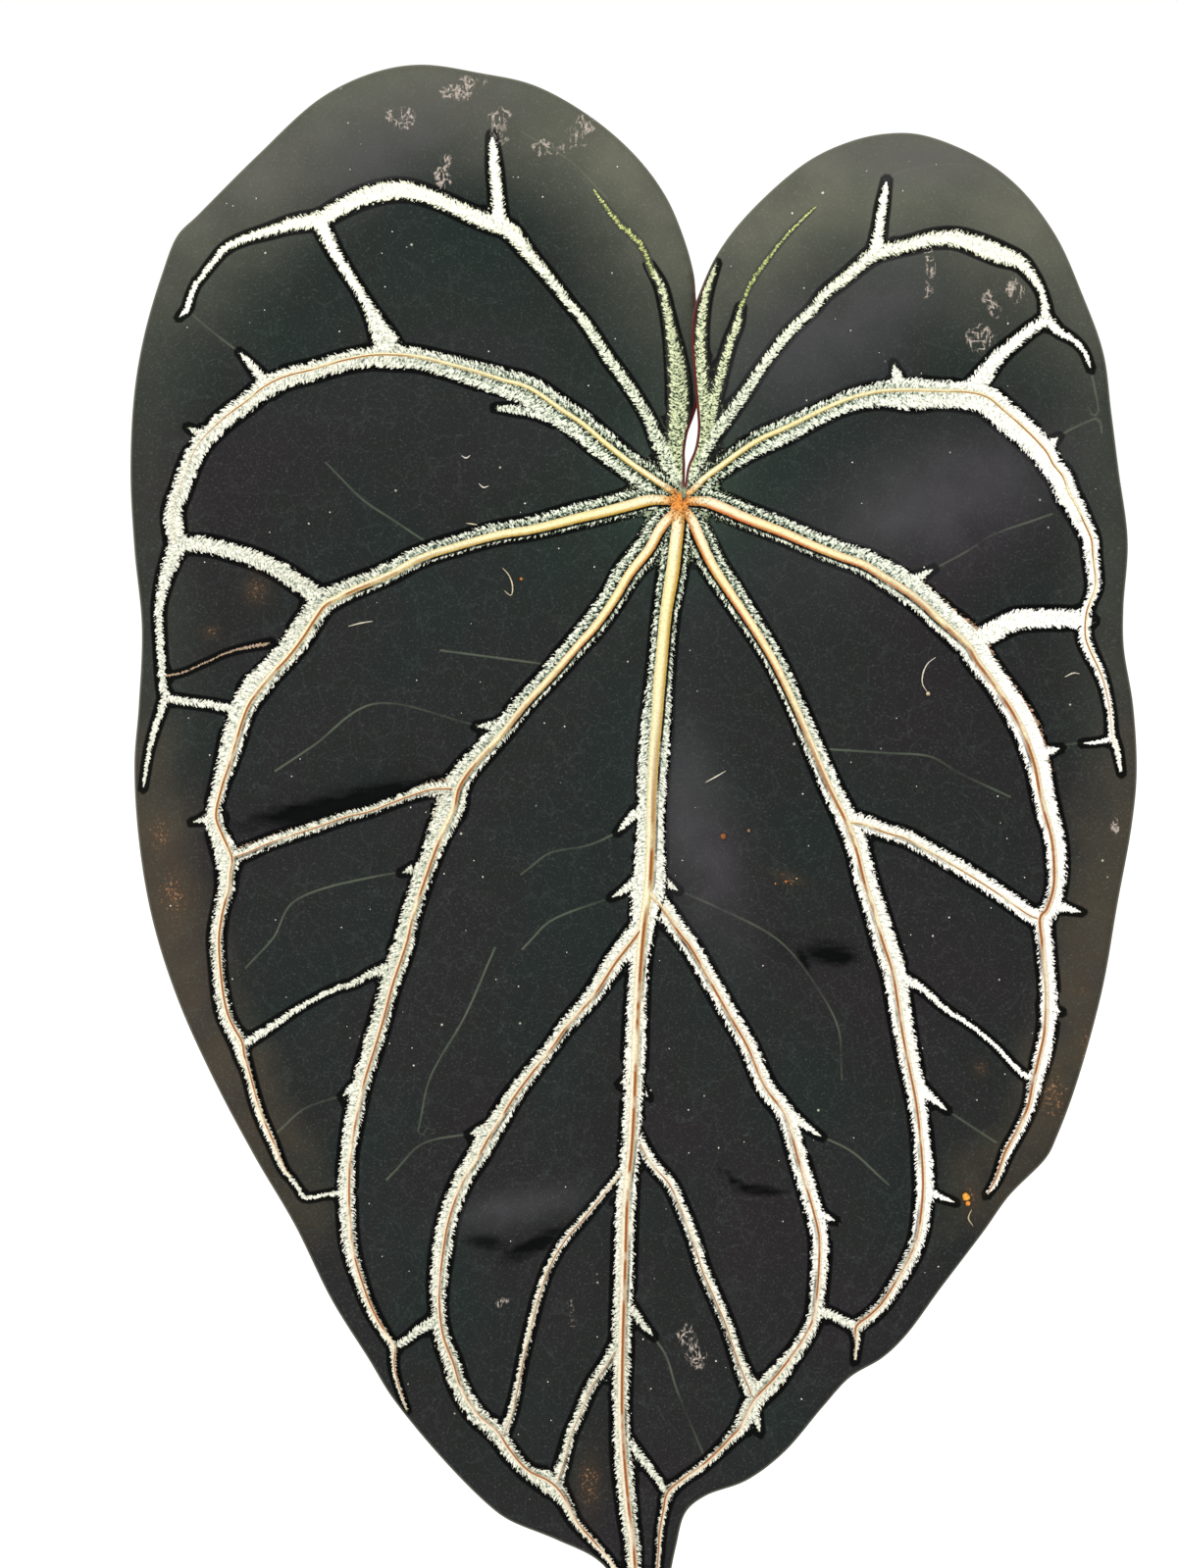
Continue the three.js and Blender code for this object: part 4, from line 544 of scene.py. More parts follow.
def ease(value: Array, low: float, high: float) -> Array:
    """Rises smoothly from 0 at low to 1 at high, or falls where low is the larger.

    Args:
        value: what is measured.
        low: the value that gives 0.
        high: the value that gives 1.

    Returns:
        Numbers from 0 to 1.
    """
    share = np.clip((value - low) / (high - low), 0, 1)
    return share * share * (3 - 2 * share)


def travelled(line: Array) -> Array:
    """Returns the distance along a line at each of its points."""
    return np.concatenate([[0], np.cumsum(np.linalg.norm(np.diff(line, axis=0), axis=1))])


def headings(line: Array) -> Array:
    """Returns the unit direction of travel at each point of a line."""
    steps = np.gradient(line, axis=0)
    return steps / np.linalg.norm(steps, axis=1, keepdims=True)


def smooth_line(corners: Rows, step: float, axes: int = 2) -> Array:
    """Draws a smooth curve through corners and walks along it in even steps.

    Args:
        corners: points, with any further columns such as a width after their place.
        step: distance between the points that come back.
        axes: how many columns hold the place.

    Returns:
        Evenly spaced points with all their columns.
    """
    points = np.asarray(corners, float)
    points = np.vstack([2 * points[0] - points[1], points, 2 * points[-1] - points[-2]])
    knots = np.concatenate(
        [[0], np.cumsum(np.sqrt(np.linalg.norm(np.diff(points[:, :axes], axis=0), axis=1)))]
    )
    stretches = []
    for i in range(1, len(points) - 2):
        a, b, c, d = points[i - 1:i + 3]
        ta, tb, tc, td = knots[i - 1:i + 3]
        t = np.linspace(tb, tc, 16, endpoint=False)[:, None]
        ab = ((tb - t) * a + (t - ta) * b) / (tb - ta)
        bc = ((tc - t) * b + (t - tb) * c) / (tc - tb)
        cd = ((td - t) * c + (t - tc) * d) / (td - tc)
        abc = ((tc - t) * ab + (t - ta) * bc) / (tc - ta)
        bcd = ((td - t) * bc + (t - tb) * cd) / (td - tb)
        stretches.append(((tc - t) * abc + (t - tb) * bcd) / (tc - tb))
    curve = np.vstack([*stretches, points[-2:-1]])
    reached = travelled(curve[:, :axes])
    stops = np.linspace(0, reached[-1], max(2, round(reached[-1] / step)) + 1)
    return np.column_stack([np.interp(stops, reached, column) for column in curve.T])


def upwards(route: Rows) -> Array:
    """Returns a route as an array with its second column counted up instead of down."""
    points = np.array(route, float)
    points[:, 1] *= -1
    return points


def rough(points: Array, size: float, seed: float = 0.0) -> Array:
    """Smooth random values at points.

    Args:
        points: places in mm.
        size: how wide a bump is, in mm.
        seed: moves the pattern.

    Returns:
        A value from about -1 to 1 for each point.
    """
    padded = np.zeros((len(points), 3))
    padded[:, :points.shape[1]] = points / size
    padded[:, 2] += seed
    return np.array([noise.noise(Vector(p)) for p in padded])


def loft_faces(rings: int, sides: int) -> Faces:
    """Faces of a closed skin over rings of equally many points.

    Args:
        rings: number of rings.
        sides: number of points in a ring.

    Returns:
        Four-sided faces, and one face over each end.
    """
    faces: Faces = []
    for ring in range(rings - 1):
        for side in range(sides):
            a = ring * sides + side
            b = ring * sides + (side + 1) % sides
            faces.append((a, b, b + sides, a + sides))
    last = (rings - 1) * sides
    faces.append(tuple(range(sides - 1, -1, -1)))
    faces.append(tuple(range(last, last + sides)))
    return faces


def sweep(path: Array, radii: Array, sides: int) -> Array:
    """Rings of a round tube along a path.

    Args:
        path: points of the centreline.
        radii: one radius for each, or one for each point of each ring.
        sides: points in a ring.

    Returns:
        The points of all rings, in order.
    """
    ahead = headings(path)
    across = np.cross(ahead[0], (0.0, 1.0, 0.0))
    angles = np.linspace(0, 2 * math.pi, sides, endpoint=False)
    rings = []
    for centre, way, radius in zip(path, ahead, radii):
        across = across - way * across.dot(way)
        across = across / np.linalg.norm(across)
        beside = np.cross(way, across)
        ring = np.outer(np.cos(angles), across) + np.outer(np.sin(angles), beside)
        rings.append(centre + ring * np.reshape(radius, (-1, 1)))
    return np.vstack(rings)


def turned(profile: Rows, sides: int) -> Array:
    """Rings of points round the upright axis.

    Args:
        profile: (radius, height) of each ring in mm.
        sides: points in a ring.

    Returns:
        The points of all rings, in order.
    """
    angles = np.linspace(0, 2 * math.pi, sides, endpoint=False)
    return np.vstack([
        np.column_stack([r * np.cos(angles), r * np.sin(angles), np.full(sides, z)])
        for r, z in profile])


def together(parts: Iterable[Skin]) -> Skin:
    """Joins skins into one, with their corners numbered on."""
    points, faces, start = [], [], 0
    for part, part_faces in parts:
        points.append(part)
        faces += [tuple(corner + start for corner in face) for face in part_faces]
        start += len(part)
    return np.vstack(points), faces


def taken_from(shaped: bmesh.types.BMesh) -> Skin:
    """Returns the points and faces of an edited mesh, and frees it."""
    shaped.verts.ensure_lookup_table()
    points = np.array([v.co for v in shaped.verts])
    faces = [tuple(v.index for v in face.verts) for face in shaped.faces]
    shaped.free()
    return points, faces


def unit_ball() -> Skin:
    """Returns the points and faces of a ball one unit wide."""
    shaped = bmesh.new()
    bmesh.ops.create_icosphere(shaped, subdivisions=2, radius=0.5)
    return taken_from(shaped)


def apply_modifiers(piece: bpy.types.Object) -> None:
    """Turns what the modifiers of a piece make into its mesh."""
    bpy.context.view_layer.update()
    evaluated = piece.evaluated_get(bpy.context.evaluated_depsgraph_get())
    piece.data = bpy.data.meshes.new_from_object(evaluated)
    piece.modifiers.clear()


def make_piece(name: str, points: Array, faces: Faces) -> bpy.types.Object:
    """Makes a smooth closed piece that rides with the plant.

    Args:
        name: name of the piece.
        points: places in mm.
        faces: corners of each face.

    Returns:
        The new object, with its faces turned out.
    """
    mesh = bpy.data.meshes.new(name)
    mesh.from_pydata((np.asarray(points) * MM).tolist(), [], faces)
    shaped = bmesh.new()
    shaped.from_mesh(mesh)
    bmesh.ops.recalc_face_normals(shaped, faces=shaped.faces)
    shaped.to_mesh(mesh)
    shaped.free()
    mesh.shade_smooth()
    piece = bpy.data.objects.new(name, mesh)
    bpy.context.scene.collection.objects.link(piece)
    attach(piece, "root")
    return piece


def mark(piece: bpy.types.Object, **values: Array) -> None:
    """Stores a number or a place for each point of a piece, for its finish to read."""
    for name, numbers in values.items():
        numbers = np.asarray(numbers, np.float32)
        flat = numbers.ndim == 1
        layer = piece.data.attributes.new(name, "FLOAT" if flat else "FLOAT_VECTOR", "POINT")
        layer.data.foreach_set("value" if flat else "vector", numbers.ravel())


def report(piece: bpy.types.Object) -> None:
    """Logs a finished piece with its number of triangles."""
    triangles = sum(len(face.vertices) - 2 for face in piece.data.polygons)
    LOG.info("%s: %d triangles", piece.name, triangles)


def add_node(
    tree: bpy.types.NodeTree,
    kind: Node,
    *values: object,
    inputs: dict[str, object] | None = None,
    stops: Sequence[tuple[float, str]] = (),
    **settings: object,
) -> Socket | None:
    """Adds a node, sets it up and links it.

    Args:
        tree: the material's nodes.
        kind: the node.
        values: for its inputs in order, the socket that feeds each, its value or a hex colour.
        inputs: the same for inputs by name.
        stops: the (place, colour) pairs of a ramp, in order.
        settings: further properties of the node.

    Returns:
        The output socket, if it has one.
    """
    type_name, presets, order, output = kind.value
    node = tree.nodes.new(type_name)
    for name, value in {**presets, **settings}.items():
        setattr(node, name, value)
    if stops:
        elements = node.color_ramp.elements
        for element, (place, colour) in zip((elements[0], elements[1]), (stops[0], stops[-1])):
            element.position, element.color = place, tone(colour)
        for place, colour in stops[1:-1]:
            elements.new(place).color = tone(colour)
    for key, value in {**dict(zip(order, values)), **(inputs or {})}.items():
        if isinstance(value, Socket):
            tree.links.new(value, node.inputs[key])
        else:
            node.inputs[key].default_value = tone(value) if isinstance(value, str) else value
    return None if output is None else node.outputs[output]


# Finishes


@dataclass(frozen=True)
class Finish:
    """A finish: its uniform values, and the pattern that each subclass draws.

    Patterns are drawn on places in mm, so a scale is the number of bumps in a millimetre.
    """

    name: str = "finish"
    roughness: float = 0.6
    ior: float = 1.45
    sheen: float = 0.0
    sheen_roughness: float = 0.5
    sheen_tint: str = "#ffffff"
    specular: float = 0.5
    relief: float = 0.5
    relief_mm: float = 0.1

    def pattern(self, add: Adder) -> dict[str, Socket]:
        """Draws the pattern.

        Args:
            add: adds a node to this material.

        Returns:
            The sockets that feed the shader, by the name of its input, and the height of the
            relief.
        """
        raise NotImplementedError

    def material(self) -> bpy.types.Material:
        """Returns the finish as a new material."""
        material = bpy.data.materials.new(self.name)
        material.use_nodes = True
        material.node_tree.nodes.clear()
        add = partial(add_node, material.node_tree)
        drawn = self.pattern(add)
        bump = add(Node.BUMP, drawn.pop("Height"), self.relief, self.relief_mm * MM)
        uniform = {
            "Roughness": self.roughness,
            "IOR": self.ior,
            "Specular IOR Level": self.specular,
            "Sheen Weight": self.sheen,
            "Sheen Roughness": self.sheen_roughness,
            "Sheen Tint": self.sheen_tint,
        }
        add(Node.OUTPUT, add(Node.SURFACE, inputs={**uniform, **drawn, "Normal": bump}))
        return material


@dataclass(frozen=True)
class VelvetSkin(Finish):
    """Upper skin of the leaf: domed cells grow into a near-black velvet.

    The domes scatter light; the eye sees a soft dark ground with a faint sparkle of cells, painted as
    glints, drifting between green and purple, and going grey-green in the lobes and rusty at the rim.
    """

    name: str = "leaf epidermis, velvet of domed cells"
    roughness: float = 0.62
    sheen: float = 0.015
    sheen_tint: str = "#b9c6c0"
    specular: float = 0.04
    relief: float = 0.3
    relief_mm: float = 0.15
    cell_mm: float = 0.55
    drift_mm: float = 48.0
    patch_mm: float = 16.0
    wander_mm: float = 6.25
    wander_reach_mm: float = 9.0
    net_mm: float = 8.5
    speck_mm: float = 12.0
    faint_reach_mm: float = 2.6
    spray_per_mm: float = 1.9
    crumbs_per_mm: float = 1.3
    curls_per_mm: float = 0.24
    patches_per_mm: float = 0.17
    rucks_per_mm: tuple[float, float, float] = (0.12, 0.34, 0.2)
    hatches_per_mm: tuple[float, float, float] = (1.5, 0.3, 0.3)

    def pattern(self, add: Adder) -> dict[str, Socket]:
        """Draws colour drift, cells, fine veins, age marks, and painted glints, shade and sheen."""
        place = add(Node.PLACE, attribute_name="place")
        read = {name: add(Node.READ, attribute_name=name) for name in (
            "band_edge", "margin", "lobe", "ember", "fringe", "sinus", "faint", "faint_across",
            *(blot.value for blot in Blot))}
        drift = add(Node.NOISE, place, 1 / self.drift_mm, 3.0)
        patch = add(Node.NOISE, place, 1 / self.patch_mm, 5.0)
        paler = add(Node.TIMES, read["lobe"], add(Node.TIMES_PLUS, patch, 0.6, 0.2))
        browner = add(Node.RANGE, add(Node.TIMES, read["ember"], patch), 0.2, 0.75, 0.85)
        glow = add(Node.TIMES, read["fringe"], drift)
        wander = add(Node.NOISE_COLOUR, place, 1 / self.wander_mm, 2.0)
        net = add(Node.WARP, wander, (self.wander_reach_mm,) * 3, place)
        net = add(Node.RANGE, add(Node.CELL_EDGE, net, 1 / self.net_mm), 0.035, 0.0, 0.13)
        line = add(Node.SOFT_RANGE, add(Node.ABSOLUTE, read["faint_across"]), 0.42, 0.08, 0.46)
        line = add(Node.TIMES, line, add(Node.LESS, read["faint"], self.faint_reach_mm))
        line = add(Node.TIMES, line, add(Node.RANGE, patch, 0.28, 0.6))
        cells = add(Node.NOISE, place, 1 / self.cell_mm, 2.0, 0.7)
        # painted glints: light specks on the velvet cells, stronger in the lobes
        glint = add(Node.TIMES, add(Node.RANGE, cells, 0.56, 0.84, 0.28),
                    add(Node.TIMES_PLUS, read["lobe"], 1.5, 1.0))
        speck = add(Node.RANGE, add(Node.CELLS, place, 1 / self.speck_mm), 0.032, 0.018, 0.85)
        # painted shade: a near-black outline on the velvet just outside each silver band
        rim = add(Node.RANGE, read["band_edge"], -1.3, -0.9, 0.94)
        spray = add(Node.MINUS, add(Node.NOISE, place, self.spray_per_mm, 3.0, 0.75), 0.3)
        reach = add(Node.TIMES_PLUS, read["fringe"], 4.5, 1.0)
        near = add(Node.PLUS, add(Node.DIVIDE, read["band_edge"], reach), 1.0, use_clamp=True)
        lift = add(Node.TIMES_PLUS, read["fringe"], 0.28, 0.31)
        grains = add(Node.RANGE, add(Node.TIMES_PLUS, near, lift, spray), 0.64, 0.70, 0.85)
        grain_tint = add(Node.TINT, patch, "#a9bbae", "#a3ac66")
        # painted shade: near-black in the folds, its outline broken by stretched noise
        ruck = add(Node.NOISE, add(Node.STRETCH, place, self.rucks_per_mm), 1.0, 3.0, 0.5, 0.8)
        torn = add(Node.TIMES, read["hollow"], add(Node.TIMES_PLUS, ruck, 1.3, 0.3))
        painted_fold_shade = add(Node.RANGE, torn, 0.34, 0.78, 0.96)
        # painted sheen patches, mottled by the patch noise
        bloom = add(Node.TIMES, read["bloom"], patch)
        ground = add(Node.RAMP, drift, stops=(
            (0.36, "#1e2422"), (0.5, "#212221"), (0.64, "#242123")))
        for amount, colour in (
            (paler, "#7c7b6a"), (browner, "#453d30"), (glow, "#26483a"), (net, "#46504b"),
            (line, "#69725f"), (glint, "#777d78"), (speck, "#b9b8a8"), (rim, "#030403"),
            (grains, grain_tint), (painted_fold_shade, "#040505"), (bloom, "#4c4a4d"),
        ):
            ground = add(Node.TINT, amount, ground, colour)
        ground = self._age(add, place, read, ground)
        return {"Base Color": ground, "Height": add(Node.MINUS, cells, net)}

    def _age(self, add: Adder, place: Socket, read: dict[str, Socket], ground: Socket) -> Socket:
        """Adds rust spots, scuffs, the pale rim of the blade and the red line in the sinus.

        Args:
            add: adds a node to this material.
            place: the point in mm on the plane of the blade.
            read: the stored values of the blade.
            ground: the colour so far.

        Returns:
            The colour with the marks.
        """
        crumbs = add(Node.NOISE, place, self.crumbs_per_mm, 5.0, 0.75)
        stain = add(Node.TIMES, read["rust"], 0.35)
        rust = add(Node.RANGE, add(Node.TIMES_PLUS, read["rust"], 0.16, crumbs), 0.68, 0.76, 0.85)
        rust = add(Node.TIMES, rust, read["rust"])
        rust_tint = add(Node.RAMP, crumbs, stops=((0.5, "#7a5638"), (0.75, "#c09068")))
        curls = add(Node.NOISE, place, self.curls_per_mm, 2.0, 0.6, 0.7)
        curls = add(Node.RANGE, add(Node.ABSOLUTE, add(Node.MINUS, curls, 0.5)), 0.034, 0.012)
        hatch = add(Node.NOISE, add(Node.STRETCH, place, self.hatches_per_mm), 1.0, 2.0)
        hatch = add(Node.RANGE, hatch, 0.55, 0.62, 0.9)
        here = add(Node.NOISE, place, self.patches_per_mm, 3.0)
        scuff = add(Node.MAXIMUM, curls, hatch)
        for share in (
            add(Node.RANGE, add(Node.TIMES_PLUS, read["scuff"], 0.67, here), 0.94, 1.04),
            add(Node.RANGE, crumbs, 0.42, 0.52, 0.8),
            add(Node.RANGE, read["scuff"], 0.08, 0.3),
        ):
            scuff = add(Node.TIMES, scuff, share)
        rim = add(Node.RANGE, read["margin"], 0.6, 0.05, 0.6)
        lip = add(Node.TIMES, add(Node.RANGE, read["margin"], 1.3, 0.5, 0.9), read["sinus"])
        for amount, colour in (
            (stain, "#4a3a2b"), (rust, rust_tint), (scuff, "#c2b3a6"), (rim, "#7c7a6a"),
            (lip, "#5c1e22"),
        ):
            ground = add(Node.TINT, amount, ground, colour)
        return ground


@dataclass(frozen=True)
class SilverBand(Finish):
    """Silver bands: air under the skin whitens the cells along each vein.

    The eye sees chalky grains and strands that thin out to the ragged edge, round a raised core
    that goes from orange at the joint over yellow to a pinkish cream. The grains are drawn about
    twice their real size, so that they show.
    """

    name: str = "leaf epidermis, silvered by air below it"
    roughness: float = 0.72
    specular: float = 0.05
    relief: float = 0.6
    relief_mm: float = 0.25
    grain_mm: float = 0.62
    strand_mm: float = 0.42
    whisker_mm: float = 1.5
    whisker_slant: float = -0.45
    reach_mm: float = 300.0
    # how often the painted shadow line beside the core breaks
    breaks_per_mm: float = 0.12
    blushes_per_mm: float = 0.09

    def pattern(self, add: Adder) -> dict[str, Socket]:
        """Draws the silver grains and strands, the coloured core and a painted shadow line beside it.
        """
        place = add(Node.PLACE, attribute_name="place")
        read = {name: add(Node.READ, attribute_name=name) for name in (
            "along", "across", "edge", "core", "beside", "joint", "warmth", "green", "outer",
            "lobe")}
        slant = add(Node.TIMES_PLUS, add(Node.ABSOLUTE, read["across"]), self.whisker_slant,
                    read["along"])
        strands = add(Node.JOIN, add(Node.TIMES, slant, 1 / self.strand_mm),
                      add(Node.TIMES, read["across"], 1 / self.whisker_mm))
        strands = add(Node.NOISE, strands, 1.0, 2.0)
        grains = add(Node.NOISE, place, 1 / self.grain_mm, 3.0, 0.75)
        near = add(Node.RANGE, read["joint"], 95.0, 12.0)
        far_off = add(Node.MINUS, 1.0, near)
        silver, mottle = self._silver(add, read, (strands, grains, near, far_off))
        ragged = read["edge"]
        for part, weight in (
            (strands, 3.7), (grains, 2.4), (near, 0.14), (read["green"], -0.8),
            (read["outer"], 0.08),
        ):
            ragged = add(Node.TIMES_PLUS, part, weight, ragged)
        # painted shade: the skirt outside the silver is a near-black outline, grey-green round
        # yellow-green bands
        outline_shade = add(Node.TINT, read["green"], "#020302", "#45473f")
        silver = add(Node.TINT, add(Node.RANGE, ragged, 3.36, 3.5), outline_shade, silver)
        faded = add(Node.TIMES, add(Node.RANGE, read["joint"], 114.0, 138.0, 1.1),
                    add(Node.RANGE, read["warmth"], 0.14, 0.06))
        kept = add(Node.MINUS, 1.0, faded, use_clamp=True)
        raised = add(Node.TIMES, add(Node.RANGE, read["beside"], 0.06, -0.06), kept)
        colour = add(Node.TINT, raised, silver, self._core(add, place, read, grains))
        # painted shadow: a dark line on the lower side of the core, broken by noise
        shade = add(Node.RAMP, add(Node.TIMES_PLUS, read["beside"], 0.5, 0.5), stops=(
            (0.49, "#000000"), (0.53, "#ffffff"), (0.76, "#ffffff"), (0.86, "#000000")))
        shadow_breaks = add(Node.NOISE, place, self.breaks_per_mm, 3.0)
        for share in (
            add(Node.GREATER, read["core"], 0.0),
            add(Node.RANGE, add(Node.TIMES_PLUS, near, 0.5, shadow_breaks), 0.42, 0.72, 0.97, 0.1),
            add(Node.RANGE, read["warmth"], 0.05, 0.12, 1.0, 0.1),
        ):
            shade = add(Node.TIMES, shade, share)
        return {"Base Color": add(Node.TINT, shade, colour, "#0a0604"), "Height": mottle}

    def _silver(
        self, add: Adder, read: dict[str, Socket], drawn: tuple[Socket, ...]
    ) -> tuple[Socket, Socket]:
        """Draws the silver as if it had no end.

        Args:
            add: adds a node to this material.
            read: the stored values of the band.
            drawn: the strands, the grains, and how near the joint is and how far off.

        Returns:
            The colour of the silver and the pattern that it is drawn with.
        """
        strands, grains, near, far_off = drawn
        inward = add(Node.TIMES, add(Node.RANGE, read["beside"], 1.9, 0.3, 0.19), near)
        loss = add(Node.TIMES_PLUS, read["green"], 0.1, inward)
        loss = add(Node.TIMES_PLUS, read["outer"], -0.035, loss)
        mottle = add(Node.BLEND, 0.45, grains, strands)
        contrast = add(Node.TIMES, add(Node.MINUS, mottle, 0.5), near)
        mottle = add(Node.MINUS, add(Node.TIMES_PLUS, contrast, 1.1, mottle), loss)
        calm = add(Node.TIMES, add(Node.TIMES_PLUS, read["outer"], 0.4, 0.05), far_off)
        mottle = add(Node.BLEND, calm, mottle, 0.575)
        silver = add(Node.RAMP, mottle, stops=(
            (0.34, "#0e1411"), (0.4, "#4c5a52"), (0.45, "#96a295"), (0.5, "#cdcfc1"),
            (0.54, "#ece9dd"), (0.6, "#fffdf5")))
        dull = add(Node.TIMES, add(Node.MINUS, 1.0, read["outer"]), far_off)
        dried = add(Node.TIMES, add(Node.LESS, read["core"], -5.0),
                    add(Node.RANGE, read["warmth"], 0.5, 0.95))
        limed = add(Node.TIMES, add(Node.RANGE, read["edge"], 0.95, 0.45, 0.5), read["lobe"])
        limed = add(Node.TIMES, limed, grains)
        for amount, colour in (
            (near, "#e6eddd"), (read["green"], "#dfe39a"), (dull, "#e9e9e0"),
            (dried, "#a87f60"), (limed, "#c3cc72"),
        ):
            silver = add(Node.STAIN, amount, silver, colour)
        return silver, mottle

    def _core(
        self, add: Adder, place: Socket, read: dict[str, Socket], grains: Socket
    ) -> Socket:
        """Draws the raised core: a cream crest, partly painted highlight, between ochre or orange
        flanks, partly painted shade.

        Args:
            add: adds a node to this material.
            place: the point in mm on the plane of the blade.
            read: the stored values of the band.
            grains: the pattern of cells.

        Returns:
            The colour of the core.
        """
        far = add(Node.DIVIDE, read["joint"], self.reach_mm)
        # the crest: the core's own cream, laid pale as a painted highlight
        crest, cool, warm = (add(Node.RAMP, far, stops=stops) for stops in (
            ((0.006, "#e08e42"), (0.012, "#eec084"), (0.02, "#f9efca"), (0.08, "#f1e9b2"),
             (0.22, "#eae4bc"), (0.5, "#e9e2ca"), (1.0, "#e4dbc6")),
            ((0.006, "#b86a30"), (0.012, "#bc9040"), (0.04, "#b89a38"), (0.2, "#b8a052"),
             (0.45, "#c4b082"), (1.0, "#c4ac88")),
            ((0.006, "#a85026"), (0.014, "#c07c38"), (0.05, "#bd5a24"), (0.25, "#a8642c"),
             (0.5, "#a67844"), (1.0, "#b0906c")),
        ))
        blush = add(Node.NOISE, place, self.blushes_per_mm, 3.0)
        warmer = add(Node.TIMES, read["warmth"], add(Node.RANGE, blush, 0.3, 0.7, 1.5, 0.5),
                     use_clamp=True)
        shaded_flank = add(Node.TINT, warmer, cool, warm)
        # the flanks: the vein's own ochre and orange, laid heavier on the lower side as painted shade
        aside = add(Node.MAXIMUM, add(Node.RANGE, read["core"], 0.1, 0.8),
                    add(Node.RANGE, read["core"], -0.4, -1.0, 0.6))
        tired = add(Node.TIMES, warmer, add(Node.RANGE, far, 0.1, 0.4, 0.34))
        aside = add(Node.MAXIMUM, aside, tired)
        streak = add(Node.ABSOLUTE, add(Node.MINUS, read["core"], 0.3))
        streak = add(Node.TIMES, add(Node.RANGE, streak, 0.55, 0.2),
                     add(Node.RANGE, blush, 0.36, 0.5))
        streak = add(Node.TIMES, streak, add(Node.RANGE, far, 0.16, 0.3))
        dots = add(Node.TIMES, add(Node.RANGE, grains, 0.51, 0.41),
                   add(Node.RANGE, far, 0.03, 0.01, 1.0, 0.25))
        core = crest
        for amount, colour in ((aside, shaded_flank), (streak, "#8f5024"), (dots, "#6f4a1e")):
            core = add(Node.TINT, amount, core, colour)
        return core


@dataclass(frozen=True)
class DriedBits(Finish):
    """Shed fibres, crumbs and drops: dried in the air, so the eye sees bleached or amber bits."""

    name: str = "plant fibre and sap, shed and air-dried"
    specular: float = 0.3
    grains_per_mm: float = 2.4

    def pattern(self, add: Adder) -> dict[str, Socket]:
        """Draws each bit in its own shade, with darker grains."""
        place = add(Node.PLACE, attribute_name="place")
        body = add(Node.RAMP, add(Node.READ, attribute_name="shade"), stops=(
            (0.0, "#d4d0c2"), (0.3, "#c9b894"), (0.55, "#6e4424"), (0.8, "#c06e2c"),
            (1.0, "#f0a53c")))
        grain = add(Node.NOISE, place, self.grains_per_mm, 4.0)
        body = add(Node.TINT, add(Node.RANGE, grain, 0.52, 0.7, 0.6), body, "#4d3722")
        return {"Base Color": body, "Height": grain}


@dataclass(frozen=True)
class LeafBack(Finish):
    """Lower skin of the leaf: smooth and matt, so the eye sees a pale green with paler ribs."""

    name: str = "leaf underside, smooth waxy cuticle"
    roughness: float = 0.55
    specular: float = 0.35
    relief_mm: float = 0.3
    net_mm: float = 7.0
    wander_mm: float = 5.0
    reach_mm: float = 260.0
    drifts_per_mm: float = 0.03
    cells_per_mm: float = 1.6

    def pattern(self, add: Adder) -> dict[str, Socket]:
        """Draws the ribs, the net between them and a faint flush."""
        place = add(Node.PLACE, attribute_name="place")
        rib, joint = (add(Node.READ, attribute_name=name) for name in ("rib", "joint"))
        drift = add(Node.NOISE, place, self.drifts_per_mm, 5.0)
        wander = add(Node.NOISE_COLOUR, place, 1 / self.wander_mm, 2.0)
        net = add(Node.WARP, wander, (self.net_mm,) * 3, place)
        line = add(Node.RANGE, add(Node.CELL_EDGE, net, 1 / self.net_mm), 0.07, 0.0, 0.7)
        rib_tint = add(Node.RAMP, add(Node.DIVIDE, joint, self.reach_mm), stops=(
            (0.0, "#9c5a3c"), (0.12, "#b08e5c"), (0.45, "#b5ac76"), (1.0, "#b3b383")))
        over = add(Node.RANGE, rib, 0.06, 0.35)
        cells = add(Node.NOISE, place, self.cells_per_mm, 3.0)
        spots = add(Node.RANGE, cells, 0.35, 0.7, 0.25)
        skin = add(Node.RAMP, drift, stops=(
            (0.3, "#5f7047"), (0.5, "#6c7b50"), (0.72, "#7d8a5c")))
        for amount, colour in ((line, "#a3a877"), (over, rib_tint), (spots, "#4f5f3b")):
            skin = add(Node.TINT, amount, skin, colour)
        return {"Base Color": skin, "Height": add(Node.TIMES_PLUS, line, cells, line)}


@dataclass(frozen=True)
class WaxyStalk(Finish):
    """Skin of the petiole: smooth and waxy, so the eye sees a soft streaky gloss on green."""

    name: str = "petiole, smooth waxy cuticle"
    roughness: float = 0.38
    specular: float = 0.45
    relief: float = 0.35
    relief_mm: float = 0.3
    streaks_per_mm: float = 0.045
    streaks_across: float = 5.0
    pores_per_mm: float = 0.16
    pores_across: float = 3.2

    def pattern(self, add: Adder) -> dict[str, Socket]:
        """Draws streaks along the stalk, pale pores and a red flush towards both ends."""
        along, flush = (add(Node.READ, attribute_name=name) for name in ("along", "flush"))
        ring = add(Node.PLACE, attribute_name="ring")
        streaks, pores = (
            add(Node.SHIFT, ring, add(Node.JOIN, 0.0, 0.0, add(Node.TIMES, along, rate)))
            for rate in (self.streaks_per_mm, self.pores_per_mm))
        streaks = add(Node.NOISE, streaks, self.streaks_across, 5.0, 0.6)
        reddened = add(Node.RANGE, add(Node.TIMES, flush, streaks), 0.12, 0.55, 0.85)
        speck = add(Node.RANGE, add(Node.CELLS, pores, self.pores_across), 0.17, 0.07, 0.55)
        skin = add(Node.RAMP, streaks, stops=(
            (0.3, "#59633a"), (0.5, "#737c47"), (0.7, "#8a9256")))
        for amount, colour in ((reddened, "#84432c"), (speck, "#b2b384")):
            skin = add(Node.TINT, amount, skin, colour)
        return {"Base Color": skin, "Height": streaks}


